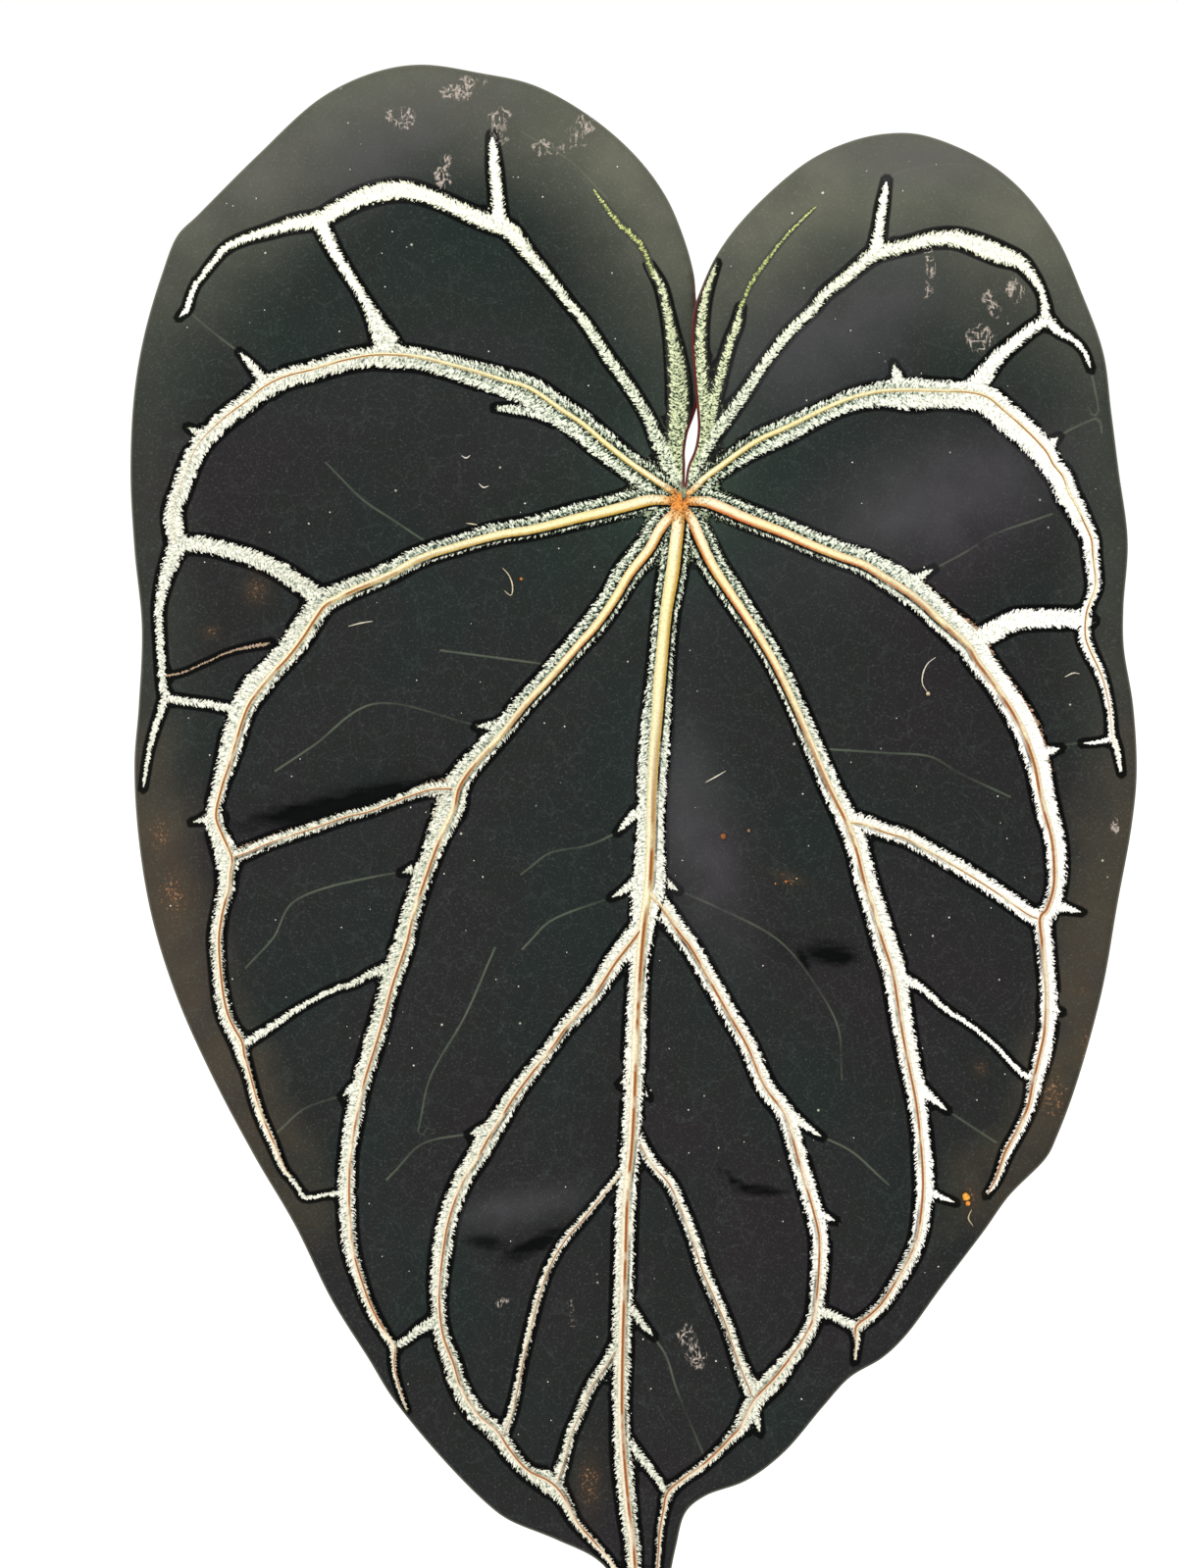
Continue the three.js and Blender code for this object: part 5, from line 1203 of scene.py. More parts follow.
@dataclass(frozen=True)
class CorkyStem(Finish):
    """Skin of the stem and its roots: grown cork, so the eye sees matt olive with tan cracks."""

    name: str = "stem bark, grown corky skin"
    roughness: float = 0.85
    specular: float = 0.25
    relief: float = 0.8
    relief_mm: float = 0.6
    rings_per_mm: tuple[float, float, float] = (0.12, 0.12, 0.6)
    grains_per_mm: float = 1.3

    def pattern(self, add: Adder) -> dict[str, Socket]:
        """Draws the olive skin, tan ring cracks, and the silvery coat of the roots."""
        place = add(Node.PLACE, attribute_name="place")
        root = add(Node.READ, attribute_name="root")
        rings = add(Node.NOISE, add(Node.STRETCH, place, self.rings_per_mm), 1.0, 6.0, 0.65)
        grain = add(Node.NOISE, place, self.grains_per_mm, 6.0, 0.7)
        bark = add(Node.RAMP, rings, stops=(
            (0.3, "#3f3d24"), (0.48, "#66663c"), (0.72, "#8d7d54")))
        coat = add(Node.RAMP, grain, stops=(
            (0.3, "#7b6a4a"), (0.5, "#9a8d6b"), (0.72, "#b9b096")))
        skin = add(Node.TINT, root, bark, coat)
        skin = add(Node.TINT, add(Node.RANGE, grain, 0.56, 0.72, 0.55), skin, "#33291a")
        return {"Base Color": skin, "Height": add(Node.PLUS, rings, grain)}


@dataclass(frozen=True)
class DrySheath(Finish):
    """Dry sheath leaf: dead tissue on parallel fibres, so the eye sees thin striped paper."""

    name: str = "sheath leaf, dried to fibrous paper"
    roughness: float = 0.75
    specular: float = 0.3
    relief: float = 0.8
    relief_mm: float = 0.3
    fibres_per_mm: float = 1.8
    fibre_stretch: float = 0.05
    blotches_per_mm: float = 0.16

    def pattern(self, add: Adder) -> dict[str, Socket]:
        """Draws fibres that run up the sheath, and blotches where it has rotted."""
        around, rise = (add(Node.READ, attribute_name=name) for name in ("around", "rise"))
        fibres = add(Node.JOIN, around, add(Node.TIMES, rise, self.fibre_stretch))
        fibres = add(Node.NOISE, fibres, self.fibres_per_mm, 4.0, 0.7)
        blotches = add(Node.NOISE, add(Node.JOIN, around, rise), self.blotches_per_mm, 4.0)
        paper = add(Node.RAMP, fibres, stops=(
            (0.32, "#5c3d20"), (0.5, "#946a3c"), (0.68, "#c39c66")))
        paper = add(Node.TINT, add(Node.RANGE, blotches, 0.5, 0.68, 0.7), paper, "#3d2815")
        return {"Base Color": paper, "Height": fibres}


@dataclass(frozen=True)
class BarkChip(Finish):
    """Pine bark: broken flat, so the eye sees layered red-brown edges under a greyer face."""

    name: str = "pine bark, split and weathered"
    roughness: float = 0.88
    specular: float = 0.3
    relief: float = 0.9
    relief_mm: float = 0.8
    layers_per_mm: tuple[float, float, float] = (0.25, 0.35, 1.8)

    def pattern(self, add: Adder) -> dict[str, Socket]:
        """Draws the layers across each chip's own thickness and its own shade of brown."""
        grain = add(Node.PLACE, attribute_name="grain")
        layers = add(Node.STRETCH, grain, self.layers_per_mm)
        layers = add(Node.NOISE, layers, 1.0, 6.0, 0.68, 0.4)
        bark = add(Node.RAMP, layers, stops=(
            (0.3, "#2a1d14"), (0.5, "#5f4634"), (0.74, "#97785a")))
        tint = add(Node.RAMP, add(Node.READ, attribute_name="shade"), stops=(
            (0.0, "#5a534d"), (0.12, "#5a534d"), (0.2, "#a8988c"), (0.6, "#dcc8b2"),
            (1.0, "#f6e4d0")))
        return {"Base Color": add(Node.STAIN, 1.0, bark, tint), "Height": layers}


@dataclass(frozen=True)
class Perlite(Finish):
    """Perlite: glass puffed up by heat, so the eye sees chalk-white pitted grains."""

    name: str = "perlite, heat-puffed volcanic glass"
    roughness: float = 0.9
    specular: float = 0.3
    relief: float = 0.9
    relief_mm: float = 0.4
    pits_per_mm: float = 1.5

    def pattern(self, add: Adder) -> dict[str, Socket]:
        """Draws the pits and the soil in them."""
        pits = add(Node.CELLS, add(Node.PLACE, attribute_name="place"), self.pits_per_mm)
        white = add(Node.RAMP, pits, stops=(
            (0.1, "#8f8878"), (0.25, "#cfcabb"), (0.45, "#e4e1d6")))
        return {"Base Color": white, "Height": pits}


@dataclass(frozen=True)
class DampHumus(Finish):
    """Fines between the chips: crumbled bark, so the eye sees dark damp crumbs."""

    name: str = "bark fines, crumbled and damp"
    roughness: float = 0.92
    specular: float = 0.25
    relief: float = 1.0
    relief_mm: float = 1.2
    crumbs_per_mm: float = 0.6
    fines_per_mm: float = 0.9

    def pattern(self, add: Adder) -> dict[str, Socket]:
        """Draws crumbs of a millimetre or two in several browns."""
        place = add(Node.PLACE, attribute_name="place")
        mixed = add(Node.TIMES, add(Node.CELLS, place, self.crumbs_per_mm),
                    add(Node.NOISE, place, self.fines_per_mm, 6.0))
        soil = add(Node.RAMP, mixed, stops=(
            (0.05, "#17100b"), (0.25, "#33241a"), (0.5, "#5a4230")))
        return {"Base Color": soil, "Height": mixed}


@dataclass(frozen=True)
class PotPlastic(Finish):
    """Polypropylene: injection moulded, so the eye sees a matt charcoal with a fine grain.

    Lime from watering leaves a pale haze below the rim and scuffs lighten the edges.
    """

    name: str = "polypropylene, injection moulded matt"
    roughness: float = 0.46
    ior: float = 1.49
    specular: float = 0.4
    relief: float = 0.35
    relief_mm: float = 0.12
    clouds_per_mm: float = 0.035
    runs_per_mm: tuple[float, float, float] = (0.45, 0.45, 0.05)
    scratches_per_mm: tuple[float, float, float] = (0.9, 0.9, 0.05)
    grains_per_mm: float = 1.6
    gloss: tuple[float, float] = (0.56, 0.4)

    def pattern(self, add: Adder) -> dict[str, Socket]:
        """Draws the moulded grain, the lime haze, fine scratches and dust at the foot."""
        place = add(Node.PLACE, attribute_name="place")
        haze = add(Node.READ, attribute_name="haze")
        cloud = add(Node.NOISE, place, self.clouds_per_mm, 6.0)
        runs = add(Node.NOISE, add(Node.STRETCH, place, self.runs_per_mm), 1.0, 5.0)
        lime = add(Node.TIMES, haze, add(Node.RANGE, runs, 0.45, 0.85, 0.32))
        scratches = add(Node.STRETCH, place, self.scratches_per_mm)
        scratches = add(Node.NOISE, scratches, 1.0, 2.0, 0.5, 2.0)
        worn = add(Node.RANGE, scratches, 0.76, 0.84, 0.25)
        base = add(Node.RAMP, cloud, stops=((0.3, "#292b2d"), (0.7, "#333537")))
        for amount, colour in ((lime, "#8b8a84"), (worn, "#66696b")):
            base = add(Node.TINT, amount, base, colour)
        return {
            "Base Color": base,
            "Roughness": add(Node.RANGE, cloud, 0.3, 0.7, *self.gloss),
            "Height": add(Node.NOISE, place, self.grains_per_mm, 2.0),
        }


# Blade


@dataclass(frozen=True)
class LeafPlane:
    """The tilted plane along which the blade lies, through the joint of its petiole.

    Attributes:
        joint: place of the joint in mm.
        tilt: how far the face is tilted up, in radians.
        middle: (across, up) in mm of the spot that the picture was taken straight in front of.
        distance: how far from it the picture was taken, in mm.
    """

    joint: tuple[float, float, float] = (0.0, -100.0, 560.0)
    tilt: float = math.radians(10)
    middle: tuple[float, float] = (-23.25, -71.9)
    distance: float = 1300.0

    @property
    def up(self) -> Array:
        """Returns the direction that runs up the blade."""
        return np.array([0, math.sin(self.tilt), math.cos(self.tilt)])

    @property
    def outward(self) -> Array:
        """Returns the direction that the face of the blade looks in."""
        return np.array([0, -math.cos(self.tilt), math.sin(self.tilt)])

    def place(self, flat: Array, height: Array) -> Array:
        """Puts points of the blade in the frame of the plant.

        The outlines are as seen from the front, where parts that curve away look smaller, so
        they are spread a little to their real width.

        Args:
            flat: (across, up) in mm from the joint.
            height: height of each point above the plane in mm.

        Returns:
            Places in mm.
        """
        spread = 1 - np.reshape(height, (-1, 1)) / self.distance
        flat = self.middle + (flat - self.middle) * spread
        sideways = np.outer(flat[:, 0], (1.0, 0.0, 0.0))
        upward = np.outer(flat[:, 1], self.up)
        return np.array(self.joint) + sideways + upward + np.outer(height, self.outward)


@dataclass(frozen=True)
class Reading:
    """What a field of lines says about points: the nearest sample and the distances to it."""

    nearest: Array
    across: Array
    distance: Array


class LineField:
    """Distances to the nearest of several lines on the plane of the blade."""

    STEP = 0.5

    def __init__(self, routes: Iterable[Rows]) -> None:
        """Samples the routes.

        Args:
            routes: lines as (across, down) or (across, down, width) in mm.
        """
        lines = [smooth_line(upwards(route), self.STEP) for route in routes]
        self.samples = np.vstack(lines)
        self.ahead = np.vstack([headings(line[:, :2]) for line in lines])
        self.share = np.concatenate([np.linspace(0, 1, len(line)) for line in lines])
        self.tree = kdtree.KDTree(len(self.samples))
        for i, sample in enumerate(self.samples):
            self.tree.insert((sample[0], sample[1], 0), i)
        self.tree.balance()

    def read(self, points: Array) -> Reading:
        """Measures points.

        Args:
            points: (across, up) in mm.

        Returns:
            The nearest sample of each, the distance beside its line, which is positive on the
            left of the way out, and the full distance.
        """
        nearest = np.array([self.tree.find((p[0], p[1], 0))[1] for p in points])
        offset = points[:, :2] - self.samples[nearest, :2]
        ahead = self.ahead[nearest]
        across = ahead[:, 0] * offset[:, 1] - ahead[:, 1] * offset[:, 0]
        past_end = np.maximum(np.abs((offset * ahead).sum(1)) - self.STEP, 0)
        return Reading(nearest, across, np.hypot(across, past_end))


@dataclass
class BladeForm:
    """Form of the blade: heights in mm, and the distances over which they build up or fade."""

    fold_height: float = 2.0
    fold_width: float = 18.0
    arch_depth: float = 14.0
    arch_half_width: float = 130.0
    tip_curl_depth: float = 17.0
    tip_curl_start: float = 120.0
    tip_curl_length: float = 175.0
    lobe_curl_depth: float = 9.0
    lobe_curl_length: float = 111.0
    swell_height: float = 2.2
    swell_width: float = 9.0
    swell_fade: float = 12.0
    waves: tuple[tuple[float, float, float], ...] = ((1.8, 9, 0.6), (1.2, 14, 2.0))
    wave_centre: float = -60.0
    greenest: float = 0.9
    keep_in_reach: float = 4.0
    wave_depth: float = 26.0
    wave_from_midrib: tuple[float, float] = (10.0, 50.0)
    lobe_lift: dict[Side, float] = field(
        default_factory=lambda: {Side.RIGHT: 2.4, Side.LEFT: -1.4}
    )
    lobe_overlap_at: float = 4.0
    lobe_overlap_fade: float = 14.0
    lobe_overlap_from: tuple[float, float] = (10.0, 22.0)
    lobe_overlap_to: tuple[float, float] = (80.0, 56.0)
    plane: LeafPlane = field(default_factory=LeafPlane)

    @cached_property
    def margins(self) -> dict[Side, LineField]:
        """Returns the field of each half's margin."""
        return {side: LineField([MARGINS[side]]) for side in Side}

    @cached_property
    def ribs(self) -> dict[Side, LineField]:
        """Returns the field of each half's main veins, with the midrib."""
        return {
            side: LineField([MIDRIB.route, *(vein.route for vein in PRIMARIES[side])])
            for side in Side
        }

    @cached_property
    def veins(self) -> dict[Side, LineField]:
        """Returns the field of all the veins of each half, with the midrib."""
        return {
            side: LineField([MIDRIB.route, *(
                vein.route for vein in (*PRIMARIES[side], *BRANCHES[side])
                if vein.green < self.greenest)])
            for side in Side
        }

    @cached_property
    def faint(self) -> dict[Side, LineField]:
        """Returns the field of each half's faint veins."""
        return {side: LineField(FAINT_VEINS[side]) for side in Side}

    def height(self, points: Array, side: Side) -> Array:
        """Height of the face above the plane of the blade.

        Args:
            points: (across, up) in mm.
            side: the half of the blade that they belong to.

        Returns:
            The height of each in mm.
        """
        across, up = points[:, 0], points[:, 1]
        to_margin = self.margins[side].read(points).distance
        to_vein = self.veins[side].read(points).distance
        fold = self.fold_height * (1 - np.exp(-np.abs(across) / self.fold_width))
        arch = -self.arch_depth * (across / self.arch_half_width) ** 2
        tip = np.maximum(0, (-up - self.tip_curl_start) / self.tip_curl_length)
        lobe = np.maximum(0, up / self.lobe_curl_length)
        swell = self.swell_height * (1 - np.exp(-((to_vein / self.swell_width) ** 2)))
        swell = swell * ease(to_margin, 0, self.swell_fade)
        bearing = np.arctan2(across, up - self.wave_centre)
        ripple = sum(h * np.sin(count * bearing + phase) for h, count, phase in self.waves)
        wave = ripple * ease(to_margin, self.wave_depth, 0) * ease(
            np.abs(across), *self.wave_from_midrib)
        overlap = ease(up, *self.lobe_overlap_from) * ease(up, *self.lobe_overlap_to)
        lift = self.lobe_lift[side] * overlap * np.exp(
            -np.abs(across - self.lobe_overlap_at) / self.lobe_overlap_fade)
        curls = -self.tip_curl_depth * tip ** 2 - self.lobe_curl_depth * lobe ** 2
        return fold + arch + curls + swell + wave + lift + self._creases(points)

    def keep_in(self, points: Array, side: Side, gap: float) -> Array:
        """Moves points that cross the margin back inside it.

        Args:
            points: (across, up) in mm.
            side: the half of the blade that they belong to.
            gap: least distance to the margin in mm.

        Returns:
            The points, those near the margin moved.
        """
        field_ = self.margins[side]
        reading = field_.read(points)
        inward = field_.ahead[reading.nearest][:, ::-1] * (-1, 1) * side.value
        inside_by = reading.across * side.value
        crossing = (inside_by < gap) & (reading.distance < self.keep_in_reach)
        return points + inward * (np.where(crossing, gap - inside_by, 0))[:, None]

    def _creases(self, points: Array) -> Array:
        """Depth of the soft creases at points, negative where they are pressed in."""
        depth = np.zeros(len(points))
        for x0, down0, x1, down1, deep, half_width in CREASES:
            start = np.array([x0, -down0])
            run = np.array([x1, -down1]) - start
            share = np.clip((points[:, :2] - start) @ run / run.dot(run), 0, 1)
            away = np.linalg.norm(points[:, :2] - start - share[:, None] * run, axis=1)
            depth -= deep * np.exp(-((away / half_width) ** 2))
        return depth


class Seedbed:
    """Points on the plane of the blade that keep clear of each other."""

    CELL = 2.0

    def __init__(self) -> None:
        """Starts an empty bed."""
        self.points: list[tuple[float, float]] = []
        self.cells: dict[tuple[int, int], list[tuple[float, float]]] = {}

    def sow(self, points: Array, clearance: float) -> None:
        """Adds the points that lie far enough from those already there.

        Args:
            points: (across, up) in mm.
            clearance: least distance to another point in mm, up to one cell.
        """
        for x, y in points[:, :2].tolist():
            column, row = int(x // self.CELL), int(y // self.CELL)
            crowded = any(
                (px - x) ** 2 + (py - y) ** 2 < clearance ** 2
                for i in (-1, 0, 1)
                for j in (-1, 0, 1)
                for px, py in self.cells.get((column + i, row + j), ())
            )
            if not crowded:
                self.points.append((x, y))
                self.cells.setdefault((column, row), []).append((x, y))


def inside(points: Array, outline: Array) -> Array:
    """Tells which points lie inside a closed outline.

    Args:
        points: (across, up).
        outline: corners in order.

    Returns:
        A truth value for each point.
    """
    found = np.zeros(len(points), bool)
    x, y = points[:, 0], points[:, 1]
    for (ax, ay), (bx, by) in zip(outline, np.roll(outline, -1, axis=0)):
        if ay != by:
            crosses = ((ay > y) != (by > y)) & (x < (bx - ax) * (y - ay) / (by - ay) + ax)
            found ^= crosses
    return found


@dataclass(frozen=True)
class Fades:
    """Where shades of the blade start and where they are full, in mm from the joint or margin."""

    lobe_up: tuple[float, float] = (20.0, 95.0)
    lobe_margin: dict[Side, tuple[float, float]] = field(
        default_factory=lambda: {Side.RIGHT: (60.0, 8.0), Side.LEFT: (36.0, 8.0)}
    )
    rim: float = 0.2
    rim_margin: tuple[float, float] = (22.0, 2.0)
    rim_up: tuple[float, float] = (-190.0, -110.0)
    left_share: float = 0.68
    right_share: float = 0.32
    left_across: tuple[float, float] = (-40.0, 10.0)
    ember_down: tuple[float, float] = (20.0, 90.0)
    ember_end: tuple[float, float] = (235.0, 150.0)
    ember_margin: tuple[float, float] = (30.0, 4.0)
    fringe_reach: float = 17.0
    fringe_far: float = 0.12
    fringe_up: tuple[float, float] = (5.0, 40.0)
    sinus_foot: tuple[float, float] = (-8.0, 4.0)
    sinus_top: tuple[float, float] = (64.0, 40.0)
    sinus_at: float = 2.0
    sinus_width: tuple[float, float] = (12.0, 6.0)


@dataclass
class Lamina:
    """The blade as one closed sheet, with its ribs on the back."""

    KEEP_INSIDE = 1
    SAME_POINT = 1e-7

    form: BladeForm
    fades: Fades = field(default_factory=Fades)
    margin_step: float = 0.9
    vein_step: float = 1.5
    panel_step: float = 1.8
    thickness: float = 0.9
    edge_thickness: float = 0.36
    edge_width: float = 2.6
    rib_depth: float = 2.4
    rib_depth_end: float = 0.5
    rib_share_of_band: float = 0.45
    margin_rows: tuple[float, ...] = (0.5, 1.7)
    margin_clearance: float = 0.42
    vein_clearance: float = 0.75
    panel_clearance: float = 0.62
    panel_columns: int = 90
    panel_rows: int = 200
    cored_shares: tuple[float, ...] = (0.0, 0.45, -0.45, 0.95, -0.95)
    thread_shares: tuple[float, ...] = (0.0, 0.8, -0.8)
    narrowest_rib_band: float = 2.0
    rib_roundness: float = 0.8
    blot_fall: float = 0.8

    def _outline(self, side: Side) -> tuple[Array, int]:
        """Returns the outline of one half, seam first, and how many points the seam has."""
        margin = smooth_line(upwards(MARGINS[side]), self.margin_step)
        midrib = smooth_line(upwards(MIDRIB.route), self.margin_step)[:, :2]
        seam = np.vstack([margin[:1], midrib, margin[-1:]])
        return np.vstack([seam, margin[-2:0:-1]]), len(seam)

    def _scatter(self, side: Side, outline: Array) -> Array:
        """Spreads points over one half.

        Args:
            side: the half.
            outline: its outline.

        Returns:
            The outline followed by points in rows along veins and margin, and an even filling.
        """
        bed = Seedbed()
        bed.sow(outline, 0.0)
        margin = smooth_line(upwards(MARGINS[side]), self.margin_step)
        inward = headings(margin)[:, ::-1] * (1, -1) * side.value
        rows = [(margin + inward * depth, self.margin_clearance) for depth in self.margin_rows]
        for vein in (MIDRIB, *PRIMARIES[side], *BRANCHES[side]):
            line = smooth_line(upwards(vein.route), self.vein_step)
            beside = headings(line[:, :2])[:, ::-1] * (-1, 1)
            for share in self.cored_shares if vein.core else self.thread_shares:
                rows.append(
                    (line[:, :2] + beside * line[:, 2:3] / 2 * share, self.vein_clearance))
        column, row = np.meshgrid(
            np.arange(-self.panel_columns, self.panel_columns),
            np.arange(-self.panel_rows, self.panel_rows))
        filling = np.column_stack([
            ((column + row % 2 / 2) * self.panel_step).ravel(),
            (row * self.panel_step * math.sin(math.pi / 3)).ravel(),
        ])
        rows.append((filling, self.panel_step * self.panel_clearance))
        for points, clearance in rows:
            bed.sow(points[inside(points, outline)], clearance)
        return np.array(bed.points)

    def _half(self, side: Side) -> tuple[Array, Array, int]:
        """Returns the points, triangles and number of seam points of one half."""
        outline, seam = self._outline(side)
        points = self._scatter(side, outline)
        ring = [(i, (i + 1) % len(outline)) for i in range(len(outline))]
        _, _, triangles, sources, _, _ = delaunay_2d_cdt(
            [Vector(p) for p in points], ring, [], self.KEEP_INSIDE, self.SAME_POINT
        )
        origin = np.array([source[0] for source in sources])
        return points, origin[np.array(triangles)], seam

    def _measures(self, points: Array, side: Side) -> dict[str, Array]:
        """What the finishes and the back need to know at points of one half."""
        veins, ribs = self.form.veins[side], self.form.ribs[side]
        near = veins.read(points)
        rib = ribs.read(points)
        margin = self.form.margins[side].read(points).distance
        across, up = points[:, 0], points[:, 1]
        band = veins.samples[near.nearest, 2] / 2
        rib_half = self.rib_share_of_band * np.maximum(
            ribs.samples[rib.nearest, 2], self.narrowest_rib_band)
        depth = self.rib_depth + (self.rib_depth_end - self.rib_depth) * ribs.share[rib.nearest]
        joint = np.hypot(across, up)
        faint = self.form.faint[side].read(points)
        blots = {blot.value: np.zeros(len(points)) for blot in Blot}
        for kind, x, down, half_length, half_width, degrees in BLOTS:
            turn = math.radians(degrees)
            run = (across - x) * math.cos(turn) + (up + down) * math.sin(turn)
            side_step = (up + down) * math.cos(turn) - (across - x) * math.sin(turn)
            away = (run / half_length) ** 2 + (side_step / half_width) ** 2
            blots[kind.value] = np.maximum(blots[kind.value], np.exp(-away * self.blot_fall))
        fades = self.fades
        lobe = ease(up, *fades.lobe_up) * ease(margin, *fades.lobe_margin[side])
        rim = fades.rim * ease(margin, *fades.rim_margin) * ease(up, *fades.rim_up)
        rightward = ease(across, *fades.left_across)
        return {
            "height": self.form.height(points, side),
            "band_edge": band - near.distance,
            "margin": margin,
            "rib": np.clip(1 - rib.distance / rib_half, 0, 1) * depth / self.rib_depth,
            "joint": joint,
            "lobe": (lobe + rim) * (fades.left_share + fades.right_share * rightward),
            "ember": (ease(-up, *fades.ember_down) * ease(-up, *fades.ember_end)
                      * ease(margin, *fades.ember_margin)),
            "fringe": np.clip(np.exp(-joint / fades.fringe_reach)
                              + fades.fringe_far * ease(up, *fades.fringe_up), 0, 1),
            "sinus": (ease(up, *fades.sinus_foot) * ease(up, *fades.sinus_top)
                      * ease(np.abs(across - fades.sinus_at), *fades.sinus_width)),
            "faint": faint.distance,
            "faint_across": faint.across,
            **blots,
        }

    def build(self) -> bpy.types.Object:
        """Builds the closed sheet and dresses it.

        Returns:
            The piece that stands for the blade.
        """
        left, left_triangles, seam = self._half(Side.LEFT)
        right, right_triangles, _ = self._half(Side.RIGHT)
        right_triangles = np.where(
            right_triangles < seam, right_triangles, right_triangles - seam + len(left))
        points = np.vstack([left, right[seam:]])
        triangles = np.vstack([left_triangles, right_triangles])
        left_side = self._measures(left, Side.LEFT)
        right_side = self._measures(right[seam:], Side.RIGHT)
        values = {name: np.concatenate([left_side[name], right_side[name]]) for name in left_side}
        top = values.pop("height")
        thick = self.edge_thickness + (self.thickness - self.edge_thickness) * ease(
            values["margin"], 0, self.edge_width)
        top = top - (self.thickness - thick) / 2
        back = top - thick - values["rib"] ** self.rib_roundness * self.rib_depth
        count = len(points)
        corners = points[triangles]
        edge_a, edge_b = corners[:, 1] - corners[:, 0], corners[:, 2] - corners[:, 0]
        clockwise = edge_a[:, 0] * edge_b[:, 1] < edge_a[:, 1] * edge_b[:, 0]
        triangles[clockwise] = triangles[clockwise][:, ::-1]
        rim: dict[tuple[int, int], None] = {}
        for a, b, c in triangles.tolist():
            for edge in ((a, b), (b, c), (c, a)):
                if edge[::-1] in rim:
                    del rim[edge[::-1]]
                else:
                    rim[edge] = None
        walls = [(b, a, a + count, b + count) for a, b in rim]
        faces = [*triangles.tolist(), *walls, *(triangles[:, ::-1] + count).tolist()]
        skin = np.vstack([
            self.form.plane.place(points, top), self.form.plane.place(points, back)])
        piece = make_piece("leaf_lamina", skin, faces)
        flat = np.column_stack([points, top])
        mark(piece, place=np.vstack([flat, flat]),
             **{name: np.tile(value, 2) for name, value in values.items()})
        piece.data.materials.append(VelvetSkin().material())
        piece.data.materials.append(LeafBack().material())
        wears = np.zeros(len(faces), np.int32)
        wears[-len(triangles):] = 1
        piece.data.polygons.foreach_set("material_index", wears)
        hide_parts("leaf_blade")
        report(piece)
        return piece


